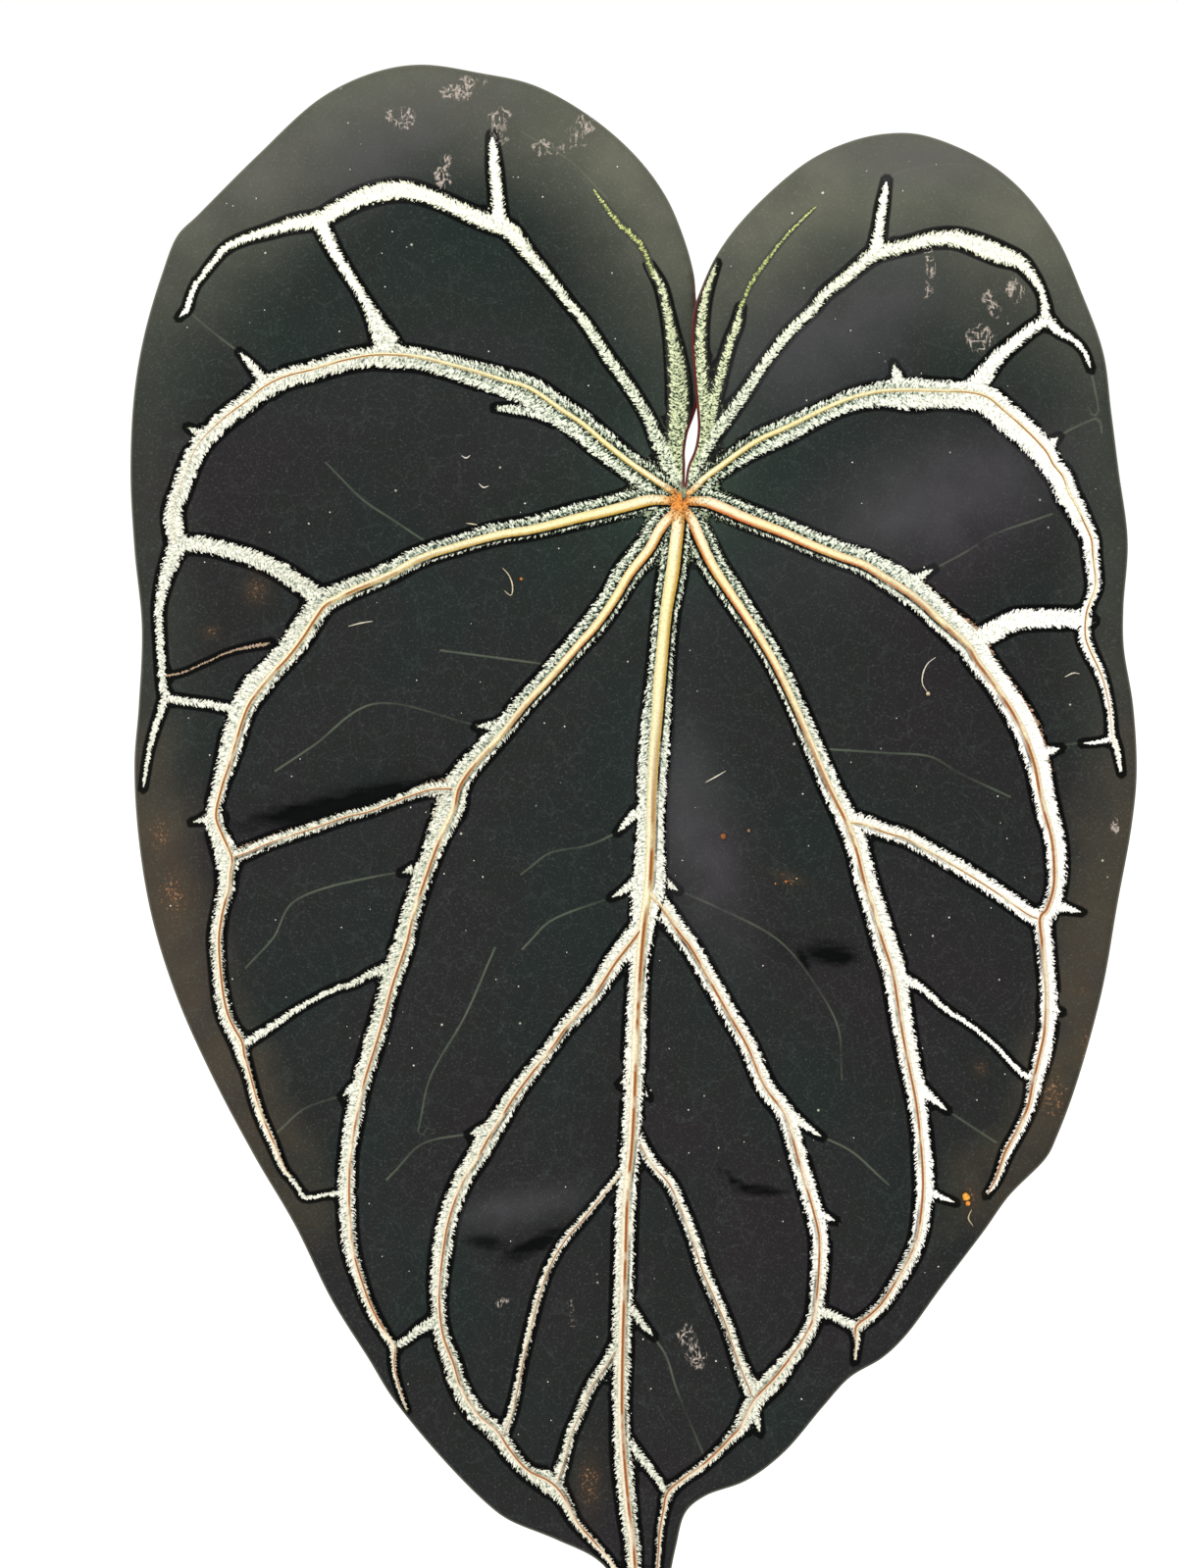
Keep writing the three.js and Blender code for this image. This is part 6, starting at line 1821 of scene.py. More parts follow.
@dataclass
class SilverVeins:
    """The raised net of silver bands with their cores, which meet at the joint."""

    form: BladeForm
    step: float = 0.44
    seat: float = 0.3
    edge_height: float = 0.04
    body_height: float = 0.36
    groove_height: float = 0.26
    crest_near: float = 1.0
    crest_far: float = 0.42
    crest_fade: float = 90.0
    core_near: float = 1.1
    core_far: float = 0.42
    core_fade: float = 58.0
    groove_width: float = 0.55
    skirt: float = 0.2
    whisker: float = 0.4
    whisker_slant: float = 0.45
    wobble_length: float = 2.6
    wobble: float = 0.1
    tip_stations: int = 4
    least_reach: float = 0.05
    widest_core: float = 0.5
    finest_core: float = 0.2
    no_core: float = 1e-3
    out_of_reach: float = 50.0
    core_limit: float = 9.0
    shoulder: float = 0.8
    slope: float = 0.7
    crown_width: float = 0.45
    even_edge_reach: float = 1.7
    narrowest_reach: float = 0.3
    lobe_from: tuple[float, float] = (20.0, 60.0)
    margin_gap: float = 0.7
    hub_radius: float = 3.1
    hub_height: float = 1.1
    hub_sides: int = 36
    hub_rings: int = 7
    seed: int = 12

    def _edge(self, reach: Array, along: Array, random: np.random.Generator) -> Array:
        """Ragged half width of a band.

        Args:
            reach: even half width at each station.
            along: distance along the vein.
            random: source of the irregular lengths.

        Returns:
            Half width with the painted dark skirt round the silver and a tooth at every other station.
        """
        wobble = rough(np.column_stack([along, along * 0]), self.wobble_length,
                       random.random() * 50)
        length = self.whisker * random.random(len(reach)) * np.clip(reach / 1.6, 0.3, 1)
        teeth = np.where(np.arange(len(reach)) % 2 == 0, 0, length)
        skirt = self.skirt * np.clip(0.15 + reach / 2.2, 0, 1)
        taper = np.minimum(1, np.arange(len(reach))[::-1] / self.tip_stations)
        return (reach * (1 + self.wobble * wobble) + skirt + teeth) * taper + self.least_reach

    def _band(self, vein: Vein, side: Side, random: np.random.Generator) -> dict[str, Array]:
        """Rings of one band, with what its finish reads.

        Args:
            vein: the vein.
            side: the half of the blade that it lies on.
            random: source of the irregular lengths.

        Returns:
            The ring points on the plane, their height above the face, and the stored values.
        """
        line = smooth_line(upwards(vein.route), self.step)
        along = travelled(line[:, :2])
        ahead = headings(line[:, :2])
        lower = ahead[:, ::-1] * (-1, 1) * side.value
        reach = line[:, 2] / 2
        joint = np.hypot(line[:, 0], line[:, 1])
        edges = [self._edge(reach, along, random) for _ in range(2)]
        if vein.core:
            usual = self.core_far + (self.core_near - self.core_far) * np.exp(
                -joint / self.core_fade)
            core = np.minimum(vein.core * usual, reach * self.widest_core)
            middle = vein.offset * (reach - core)
            groove = middle + core + self.groove_width
            crest = self.crest_far + (self.crest_near - self.crest_far) * np.exp(
                -joint / self.crest_fade)
            crest = crest * np.clip(core / 0.6, 0.5, 1)
            offsets = [
                -edges[0], (middle - core - reach) / 2, middle - core, middle, middle + core,
                groove, (groove + reach) / 2, np.maximum(edges[1], groove + 0.2),
            ]
            heights = [
                self.edge_height, self.body_height * self.shoulder, self.body_height, crest,
                self.body_height, self.groove_height, self.body_height * self.slope,
                self.edge_height,
            ]
        else:
            core = np.full(len(line), self.no_core)
            middle = np.full(len(line), self.out_of_reach)
            aside = reach * self.crown_width
            offsets = [-edges[0], -aside, reach * 0, aside, edges[1]]
            crown = self.body_height * np.clip(reach / 1.2, 0.45, 1)
            heights = [self.edge_height, crown * self.shoulder, crown, crown * self.shoulder,
                       self.edge_height]
        slant = np.where(np.arange(len(line)) % 2 == 0, 0, self.whisker_slant)
        rows, rise = [], []
        for i, (offset, height) in enumerate(zip(offsets, heights)):
            point = line[:, :2] + lower * offset[:, None]
            if i in (0, len(offsets) - 1):
                point = point + ahead * (slant * (np.abs(offset) - reach * 0.8))[:, None]
            rows.append(point)
            rise.append(np.broadcast_to(height, len(line)))
        for offset, row in ((offsets[-1], rows[-1]), (offsets[0], rows[0])):
            rows.append(row)
            rise.append(np.full(len(line), -self.seat))
            offsets = [*offsets, offset]
        offset = np.array(offsets).T
        sides = len(rows)
        return {
            "flat": np.array(rows).transpose(1, 0, 2).reshape(-1, 2),
            "rise": np.array(rise).T.ravel(),
            "along": np.repeat(along, sides),
            "across": offset.ravel(),
            "edge": ((reach[:, None] - np.abs(offset)) * np.maximum(
                1, self.even_edge_reach / np.maximum(reach, self.narrowest_reach))[:, None]).ravel(),
            "core": np.where(
                core[:, None] < self.finest_core, -self.core_limit,
                np.clip((offset - middle[:, None]) / core[:, None],
                        -self.core_limit, self.core_limit)).ravel(),
            "beside": (np.abs(offset - middle[:, None]) - core[:, None]).ravel(),
            "joint": np.repeat(joint, sides),
            "warmth": np.full(len(line) * sides, vein.warmth),
            "green": np.full(len(line) * sides, vein.green),
            "lobe": ease(np.repeat(line[:, 1], sides), *self.lobe_from),
            "sides": sides,
        }

    def _hub(self) -> tuple[dict[str, Array], Faces]:
        """The orange knot over the joint, as a low dome.

        Returns:
            Its points and stored values, and its faces.
        """
        sides, rings = self.hub_sides, self.hub_rings
        angles = np.linspace(0, 2 * math.pi, sides, endpoint=False)
        flat, rise = [], []
        for ring in range(rings):
            share = ring / (rings - 1)
            radius = self.hub_radius * (1.02 - share) * (
                1 + 0.14 * np.sin(7 * angles + 0.4) + 0.1 * np.sin(3 * angles))
            flat.append(np.column_stack([radius * np.cos(angles), radius * np.sin(angles)]))
            rise.append(np.full(sides, -self.seat + (self.hub_height + self.seat)
                                * math.sqrt(share * (2 - share))))
        flat = np.vstack(flat)
        count = len(flat)
        away = np.hypot(*flat.T)
        values = {
            "flat": flat, "rise": np.concatenate(rise), "along": away, "across": away,
            "edge": np.full(count, 3.0), "core": np.zeros(count), "beside": np.full(count, -1.0),
            "joint": away * 0.9, "warmth": np.full(count, 0.6), "green": np.zeros(count),
            "lobe": np.zeros(count),
        }
        return values, loft_faces(rings, sides)

    def build(self) -> bpy.types.Object:
        """Builds all the bands and the hub as one piece and dresses it.

        Returns:
            The piece that stands for the vein net.
        """
        random = np.random.default_rng(self.seed)
        parts: list[dict[str, Array]] = []
        skins: list[Skin] = []
        sheets: list[Side] = []
        families = [(Side.LEFT, (MIDRIB,))]
        families += [(side, (*PRIMARIES[side], *BRANCHES[side])) for side in Side]
        for side, veins in families:
            for vein in veins:
                band = self._band(vein, side, random)
                sides = band.pop("sides")
                skins.append((band.pop("flat"), loft_faces(len(band["rise"]) // sides, sides)))
                parts.append(band)
                sheets.append(side)
        hub, hub_faces = self._hub()
        skins.append((hub.pop("flat"), hub_faces))
        parts.append(hub)
        sheets.append(Side.LEFT)
        values = {name: np.concatenate([part[name] for part in parts]) for name in parts[0]}
        rise = values.pop("rise")
        flat, faces = together(skins)
        on_side = np.concatenate([
            np.full(len(part["rise"]), side.value) for part, side in zip(parts, sheets)])
        height = np.zeros(len(flat))
        values["outer"] = np.zeros(len(flat))
        for side in Side:
            there = on_side == side.value
            flat[there] = self.form.keep_in(flat[there], side, self.margin_gap)
            height[there] = self.form.height(flat[there], side)
            veins = self.form.veins[side]
            near = veins.read(flat[there])
            within = veins.samples[near.nearest, 2] / 2 - near.distance
            values["edge"][there] = np.maximum(values["edge"][there], within)
            margin = self.form.margins[side].read(flat[there]).distance
            across, up = flat[there].T
            values["outer"][there] = np.clip(
                0.7 * ease(across, -90, 40) + 0.8 * ease(up, 20, 60)
                + 0.3 * ease(margin, 50, 25), 0, 1) * (1 - 0.8 * ease(-up, 170, 225))
        height += rise
        piece = make_piece("silver_veins", self.form.plane.place(flat, height), faces)
        mark(piece, place=np.column_stack([flat, height]), **values)
        piece.data.materials.append(SilverBand().material())
        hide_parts("leaf_veins")
        report(piece)
        return piece


@dataclass
class Litter:
    """Bits that have fallen on the blade: curled fibres, drops of sap and white crumbs."""

    form: BladeForm
    fibre_radius: float = 0.17
    fibre_sides: int = 6
    lift: float = 0.3
    lump_lift: float = 0.25
    crumbs: int = 110
    crumb_size: tuple[float, float] = (0.22, 0.48)
    crumb_corners: tuple[tuple[float, float], ...] = ((-130.0, -250.0), (108.0, 100.0))
    crumb_clearance: float = 2.0
    halves_meet_at: float = -8.0
    seed: int = 5

    def _lay(self, flat: Array, lift: float) -> Array:
        """Puts points on the face of the blade.

        Args:
            flat: (across, up) in mm.
            lift: how far above the face they lie.

        Returns:
            Places in mm.
        """
        height = np.where(
            flat[:, 0] < self.halves_meet_at, self.form.height(flat, Side.LEFT),
            self.form.height(flat, Side.RIGHT))
        return self.form.plane.place(flat, height + lift)

    def _crumb_spots(self, random: np.random.Generator) -> Array:
        """Returns spots well inside the margins, in mm."""
        spots = random.uniform(*self.crumb_corners, (self.crumbs * 2, 2))
        outline = np.vstack([
            upwards(MARGINS[Side.LEFT])[:, :2], upwards(MARGINS[Side.RIGHT])[::-1, :2]])
        spots = spots[inside(spots, outline)]
        clear = np.minimum(*(
            self.form.margins[side].read(spots).distance for side in Side))
        return spots[clear > self.crumb_clearance]

    def build(self) -> bpy.types.Object:
        """Builds all the bits as one piece and dresses it.

        Returns:
            The piece.
        """
        random = np.random.default_rng(self.seed)
        parts: list[Skin] = []
        shade: list[Array] = []
        for shade_of, route in FIBRES:
            line = smooth_line(upwards(route), 0.4)[:, :2]
            share = np.linspace(-1, 1, len(line))
            path = self._lay(line, self.lift)
            radii = self.fibre_radius * (1.15 - 0.7 * np.abs(share))
            parts.append((sweep(path, radii, self.fibre_sides),
                          loft_faces(len(line), self.fibre_sides)))
            shade.append(np.full(len(parts[-1][0]), shade_of))
        ball, ball_faces = unit_ball()
        lumps = [(shade_of, np.array((x, -down)), size) for shade_of, x, down, size in DROPS]
        lumps += [(0.0, spot, random.uniform(*self.crumb_size))
                  for spot in self._crumb_spots(random)]
        for number, (shade_of, spot, size) in enumerate(lumps):
            bulge = 1 + 0.3 * rough(ball * 2 + number * 3.1, 0.9)[:, None]
            sunk = self._lay(spot[None], size * self.lump_lift)
            parts.append((sunk + ball * bulge * size, ball_faces))
            shade.append(np.full(len(ball), shade_of))
        places, faces = together(parts)
        piece = make_piece("fallen_litter", places, faces)
        mark(piece, place=places, shade=np.concatenate(shade))
        piece.data.materials.append(DriedBits().material())
        report(piece)
        return piece


# Petiole, stem and sheath leaves


@dataclass
class Petiole:
    """The leaf stalk, from the top of the stem to the swollen joint behind the blade."""

    plane: LeafPlane
    foot: tuple[float, float, float] = (-7.0, 3.0, 170.2)
    upright: float = 11.8
    course: tuple[tuple[float, float, float], ...] = (
        (-11, 6, 280), (-13.5, 0, 370), (-11, -14, 455), (-6, -38, 522), (-2, -66, 549),
    )
    radius: float = 3.5
    foot_swell: float = 1.5
    foot_fade: float = 45.0
    joint_radius: float = 4.4
    joint_length: float = 24.0
    joint_back: float = 2.9
    joint_straight: float = 14.7
    step: float = 1.7
    sides: int = 28

    def build(self) -> bpy.types.Object:
        """Builds the stalk and dresses it.

        Returns:
            The piece that stands for the petiole.
        """
        joint, outward = np.array(self.plane.joint), self.plane.outward
        foot = np.array(self.foot)
        path = smooth_line([
            foot, foot + (0, 0, self.upright), *self.course,
            joint - outward * (self.joint_back + self.joint_straight),
            joint - outward * self.joint_back,
        ], self.step, axes=3)
        along = travelled(path)
        left = along[-1] - along
        swelling = (self.joint_radius - self.radius) * ease(left, self.joint_length + 10,
                                                            self.joint_length)
        wrinkles = 0.1 * np.sin(left * 2.4) * ease(left, self.joint_length, self.joint_length - 6)
        collar = 0.9 * np.exp(-left / 1.6)
        even = (self.radius + self.foot_swell * np.exp(-along / self.foot_fade)
                + swelling + wrinkles + collar)
        angles = np.linspace(0, 2 * math.pi, self.sides, endpoint=False)
        groove = -0.06 * np.maximum(0, np.cos(angles)) ** 6 + 0.012 * np.cos(9 * angles)
        radii = even[:, None] * (1 + groove)
        points = sweep(path, radii, self.sides)
        points += (rough(points, 9, 3) * 0.12)[:, None] * np.array((1, 1, 0))
        piece = make_piece("petiole_stalk", points, loft_faces(len(path), self.sides))
        ring = np.column_stack([np.cos(angles), np.sin(angles), 0 * angles])
        flush = np.exp(-left / 30) + 0.7 * np.exp(-along / 28) + 0.15
        mark(piece, along=np.repeat(along, self.sides), flush=np.repeat(flush, self.sides),
             ring=np.tile(ring, (len(path), 1)))
        piece.data.materials.append(WaxyStalk().material())
        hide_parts("petiole")
        report(piece)
        return piece


@dataclass
class Stem:
    """The short stem with the scars of old leaves, and its aerial roots."""

    foot: tuple[float, float, float] = (2.0, 2.0, 78.0)
    top: tuple[float, float, float] = (-7.0, 3.0, 170.0)
    radius: float = 9.5
    scar_height: float = 0.5
    mix_top: float = 121.0
    root_radius: float = 2.4
    root_depth: float = 16.0
    trunk_sides: int = 40
    root_sides: int = 14
    scar_rate: float = 0.45
    crease_depth: float = 0.55
    root_taper: float = 0.35
    root_collar: float = 1.5
    root_sway: float = 1.3
    roots: tuple[tuple[float, float, float], ...] = (
        (20, 138, 37), (95, 131, 30), (150, 144, 45), (215, 136, 33), (262, 143, 41),
        (318, 133, 34),
    )
    voxel: float = 0.75

    def _spine(self) -> Array:
        """Returns points along the middle of the stem."""
        x, y, z = self.top
        return smooth_line([self.foot, (0, 3, 112), (x + 0.4, y, z - 26), self.top], 0.9, axes=3)

    def _trunk(self) -> Skin:
        """Returns the points and faces of the bare stem."""
        spine = self._spine()
        along = travelled(spine)
        left = along[-1] - along
        scars = self.scar_height * np.abs(np.sin(along * self.scar_rate)) ** 8
        crease = -self.crease_depth * np.abs(np.cos(along * self.scar_rate)) ** 40
        dome = -self.radius * 0.5 * ease(left, 2.2, 0) ** 2
        radii = self.radius + (scars + crease) * ease(left, 16, 26) + dome
        return sweep(spine, radii, self.trunk_sides), loft_faces(len(spine), self.trunk_sides)

    def _root(self, bearing: float, start: float, reach: float) -> Skin:
        """One aerial root.

        Args:
            bearing: direction that it leaves in, in degrees.
            start: height where it leaves the stem.
            reach: how far out it enters the mix.

        Returns:
            Its points and faces.
        """
        way = np.array((math.cos(math.radians(bearing)), math.sin(math.radians(bearing)), 0))
        spine = self._spine()
        origin = spine[np.argmin(np.abs(spine[:, 2] - start))] * (1, 1, 0)
        waist = self.radius + 0.7 * (reach - self.radius)
        corners = [
            (self.radius * 0.5, start + 1), (self.radius + 5, start),
            (waist, start + 0.4 * (self.mix_top - start)), (reach, self.mix_top + 2),
            (reach + 3, self.mix_top - self.root_depth),
        ]
        path = smooth_line([origin + way * out + (0, 0, z) for out, z in corners], 1.4, axes=3)
        side = np.array((-way[1], way[0], 0))
        sway = rough(path, 17, bearing) * self.root_sway * ease(travelled(path), 4, 14)
        share = np.linspace(0, 1, len(path))
        collar = self.root_collar * np.exp(-((travelled(path) - 6) / 3.2) ** 2)
        radii = self.root_radius * (1 - self.root_taper * share) + collar
        return (sweep(path + side * sway[:, None], radii, self.root_sides),
                loft_faces(len(path), self.root_sides))

    def build(self) -> bpy.types.Object:
        """Builds the stem and its roots as one grown skin and dresses it.

        Returns:
            The piece that stands for the stem.
        """
        parts = [self._trunk(), *(self._root(*root) for root in self.roots)]
        piece = make_piece("stem_with_roots", *together(parts))
        fuse = piece.modifiers.new("fuse", "REMESH")
        fuse.mode = "VOXEL"
        fuse.voxel_size = self.voxel * MM
        soften = piece.modifiers.new("soften", "SMOOTH")
        soften.iterations = 3
        apply_modifiers(piece)
        piece.data.shade_smooth()
        coords = np.empty(len(piece.data.vertices) * 3, np.float32)
        normals = np.empty_like(coords)
        piece.data.vertices.foreach_get("co", coords)
        piece.data.vertices.foreach_get("normal", normals)
        place = coords.reshape(-1, 3) / MM
        spine = self._spine()
        middle = np.column_stack([np.interp(place[:, 2], spine[:, 2], spine[:, i]) for i in (0, 1)])
        away = np.hypot(*(place[:, :2] - middle).T)
        relief = rough(place * (1, 1, 2.2), 3.4, 1) * 0.35 + rough(place, 1.4, 2) * 0.12
        moved = place + normals.reshape(-1, 3) * relief[:, None]
        piece.data.vertices.foreach_set("co", (moved * MM).astype(np.float32).ravel())
        mark(piece, place=place, root=ease(away, self.radius + 0.8, self.radius + 2.4))
        piece.data.materials.append(CorkyStem().material())
        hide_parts("stem")
        report(piece)
        return piece


@dataclass
class SheathLeaf:
    """A dry sheath leaf that clasps the top of the stem, frayed along its edges."""

    name: str
    node: str
    bearing: float
    foot: float
    height: float
    spread: float
    axis: tuple[float, float] = (-7.0, 3.0)
    stem_radius: float = 9.5
    clearance: float = 0.45
    lean: float = 6.0
    thickness: float = 0.4
    rows: int = 70
    columns: int = 64
    fibres: int = 16
    fibre_sides: int = 5
    fibre_radii: tuple[float, float] = (0.2, 0.08)
    fibre_length: tuple[float, float] = (3.5, 9.0)

    def _surface(self) -> tuple[Array, Array, Array]:
        """Returns the inner points, the angle in mm round the stem and the rise of each."""
        share, side = np.meshgrid(
            np.linspace(0, 1, self.rows + 1), np.linspace(-1, 1, self.columns + 1), indexing="ij")
        share, side = share.ravel(), side.ravel()
        clasp = self.spread * np.cos(share * math.pi * 0.47) ** 0.7
        frayed = rough(np.column_stack([share * 90, side * 0]), 3.0, self.bearing)
        finer = rough(np.column_stack([share * 90, side * 0]), 1.1, self.bearing)
        clasp = clasp * (1 + (0.07 * frayed + 0.05 * finer) * np.abs(side) ** 3)
        torn = 1 - 0.09 * np.abs(rough(np.column_stack([side * 30, side * 0]), 2.0, 7)) * share
        angle = np.radians(self.bearing + side * clasp)
        curl = self.lean * np.maximum(0, share - 0.35) ** 2 * (1 - 0.5 * side ** 2)
        ridge = 0.1 * np.cos(side * clasp * 0.9) + 0.25 * np.abs(
            rough(np.column_stack([side * 20, share * 40]), 9.0, 4))
        radius = self.stem_radius + self.clearance + curl + np.abs(ridge)
        rise = self.foot + self.height * share * torn
        points = np.column_stack([
            self.axis[0] + radius * np.cos(angle), self.axis[1] + radius * np.sin(angle), rise])
        return points, angle * self.stem_radius, rise

    def _fibres(self, edge: Array, random: np.random.Generator) -> list[Array]:
        """Loose fibres that stand off the edges.

        Args:
            edge: points along the side edges of the sheath.
            random: source of their places and lengths.

        Returns:
            The ring points of each fibre.
        """
        strands = []
        centre = np.array((*self.axis, 0.0))
        for _ in range(self.fibres):
            root = edge[random.integers(len(edge) // 4, len(edge))]
            out = (root - centre) * (1, 1, 0)
            out = out / np.linalg.norm(out)
            length = random.uniform(*self.fibre_length)
            bend = np.array((-out[1], out[0], 0)) * random.uniform(-0.5, 0.5)
            path = smooth_line([
                root - out * 0.1, root + (out * 0.12 + bend * 0.3 + (0, 0, 0.5)) * length * 0.5,
                root + (out * 0.4 + bend + (0, 0, 0.9)) * length,
            ], 0.8, axes=3)
            radii = np.linspace(*self.fibre_radii, len(path))
            strands.append(sweep(path, radii, self.fibre_sides))
        return strands

    def build(self) -> bpy.types.Object:
        """Builds the sheath leaf and dresses it.

        Returns:
            The piece that stands for the sheath.
        """
        inner, around, rise = self._surface()
        centre = np.array((*self.axis, 0.0))
        out = (inner - centre) * (1, 1, 0)
        out = out / np.linalg.norm(out, axis=1, keepdims=True)
        width, count = self.columns + 1, len(inner)
        grid = np.arange(count).reshape(self.rows + 1, width)
        quads = np.stack([grid[:-1, :-1], grid[:-1, 1:], grid[1:, 1:], grid[1:, :-1]], -1)
        quads = quads.reshape(-1, 4)
        border = np.concatenate([grid[0], grid[1:, -1], grid[-1, -2::-1], grid[-2:0:-1, 0]])
        following = np.roll(border, -1)
        walls = np.column_stack([following, border, border + count, following + count])
        faces: Faces = [*quads.tolist(), *(quads[:, ::-1] + count).tolist(), *walls.tolist()]
        edge = np.vstack([inner[grid[:, 0]], inner[grid[:, -1]]])
        strands = self._fibres(edge, np.random.default_rng(int(self.bearing)))
        points, faces = together([
            (np.vstack([inner + out * self.thickness, inner]), faces),
            *((strand, loft_faces(len(strand) // self.fibre_sides, self.fibre_sides))
              for strand in strands)])
        loose = len(points) - 2 * count
        piece = make_piece(self.name, points, faces)
        mark(piece, around=np.concatenate([around, around, np.zeros(loose)]),
             rise=np.concatenate([rise, rise, np.linspace(0, 60, loose)]))
        piece.data.materials.append(DrySheath().material())
        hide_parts(self.node)
        report(piece)
        return piece


# Pot and its mix


@dataclass
class Pot:
    """A round nursery pot with a rim band and drainage holes."""

    height: float = 140.0
    base_radius: float = 60.0
    rim_radius: float = 84.0
    wall: float = 2.5
    floor: float = 3.0
    rim_band: float = 21.0
    drain_holes: int = 6
    drain_radius: float = 5.0
    drain_circle: float = 36.0
    sides: int = 192

    def inner_radius(self, height: float) -> float:
        """Returns the inner radius of the wall at a height."""
        share = (height - self.floor) / (self.height - self.floor)
        return self.base_radius + (self.rim_radius - 1.5 - self.base_radius) * share - self.wall

    def _profile(self) -> Array:
        """Returns the section of the pot as (radius, height), from its base round to its floor."""
        band_foot = self.height - self.rim_band
        body = self.inner_radius(band_foot) + self.wall
        rim, top = self.rim_radius, self.height
        return np.array([
            (0.01, 0), (self.base_radius - 2.4, 0), (self.base_radius - 0.9, 0.5),
            (self.base_radius, 2), (self.base_radius + 0.35, 3.5),
            (self.base_radius + 1.9, 11.6), (self.base_radius + 1.65, 12),
            (self.base_radius + 1.7, 12.6), (body - 0.9, band_foot - 5), (body, band_foot - 0.5),
            (body + 0.3, band_foot), (rim - 2.5, band_foot + 0.6), (rim - 2, band_foot + 1.4),
            (rim - 0.35, top - 6), (rim - 0.1, top - 5.4), (rim, top - 2.5),
            (rim - 0.25, top - 1.2), (rim - 0.9, top - 0.4), (rim - 2, top),
            (self.inner_radius(top) + 0.6, top), (self.inner_radius(top), top - 0.6),
            (self.inner_radius(top - 2), top - 2), (self.inner_radius(60), 60),
            (self.inner_radius(self.floor + 2), self.floor + 2),
            (self.inner_radius(self.floor) - 2, self.floor), (0.01, self.floor),
        ])

    def build(self) -> bpy.types.Object:
        """Builds the pot and dresses it.

        Returns:
            The piece that stands for the pot.
        """
        profile = self._profile()
        piece = make_piece(
            "nursery_pot", turned(profile, self.sides), loft_faces(len(profile), self.sides))
        drills = []
        for i in range(self.drain_holes):
            turn = 2 * math.pi * i / self.drain_holes
            bpy.ops.mesh.primitive_cylinder_add(
                vertices=40, radius=self.drain_radius * MM, depth=4 * self.floor * MM,
                location=(self.drain_circle * MM * math.cos(turn),
                          self.drain_circle * MM * math.sin(turn), 0))
            drill = bpy.context.object
            cut = piece.modifiers.new("drain", "BOOLEAN")
            cut.operation = "DIFFERENCE"
            cut.solver = "EXACT"
            cut.object = drill
            drills.append(drill)
        crease = piece.modifiers.new("edges", "EDGE_SPLIT")
        crease.split_angle = math.radians(38)
        apply_modifiers(piece)
        for drill in drills:
            bpy.data.objects.remove(drill)
        place = np.array([v.co for v in piece.data.vertices]) / MM
        band_foot = self.height - self.rim_band
        haze = 0.5 * ease(place[:, 2], band_foot - 30, band_foot) + 0.35 * ease(
            place[:, 2], 22, 2)
        mark(piece, place=place, haze=haze)
        piece.data.materials.append(PotPlastic().material())
        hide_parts("pot")
        report(piece)
        return piece


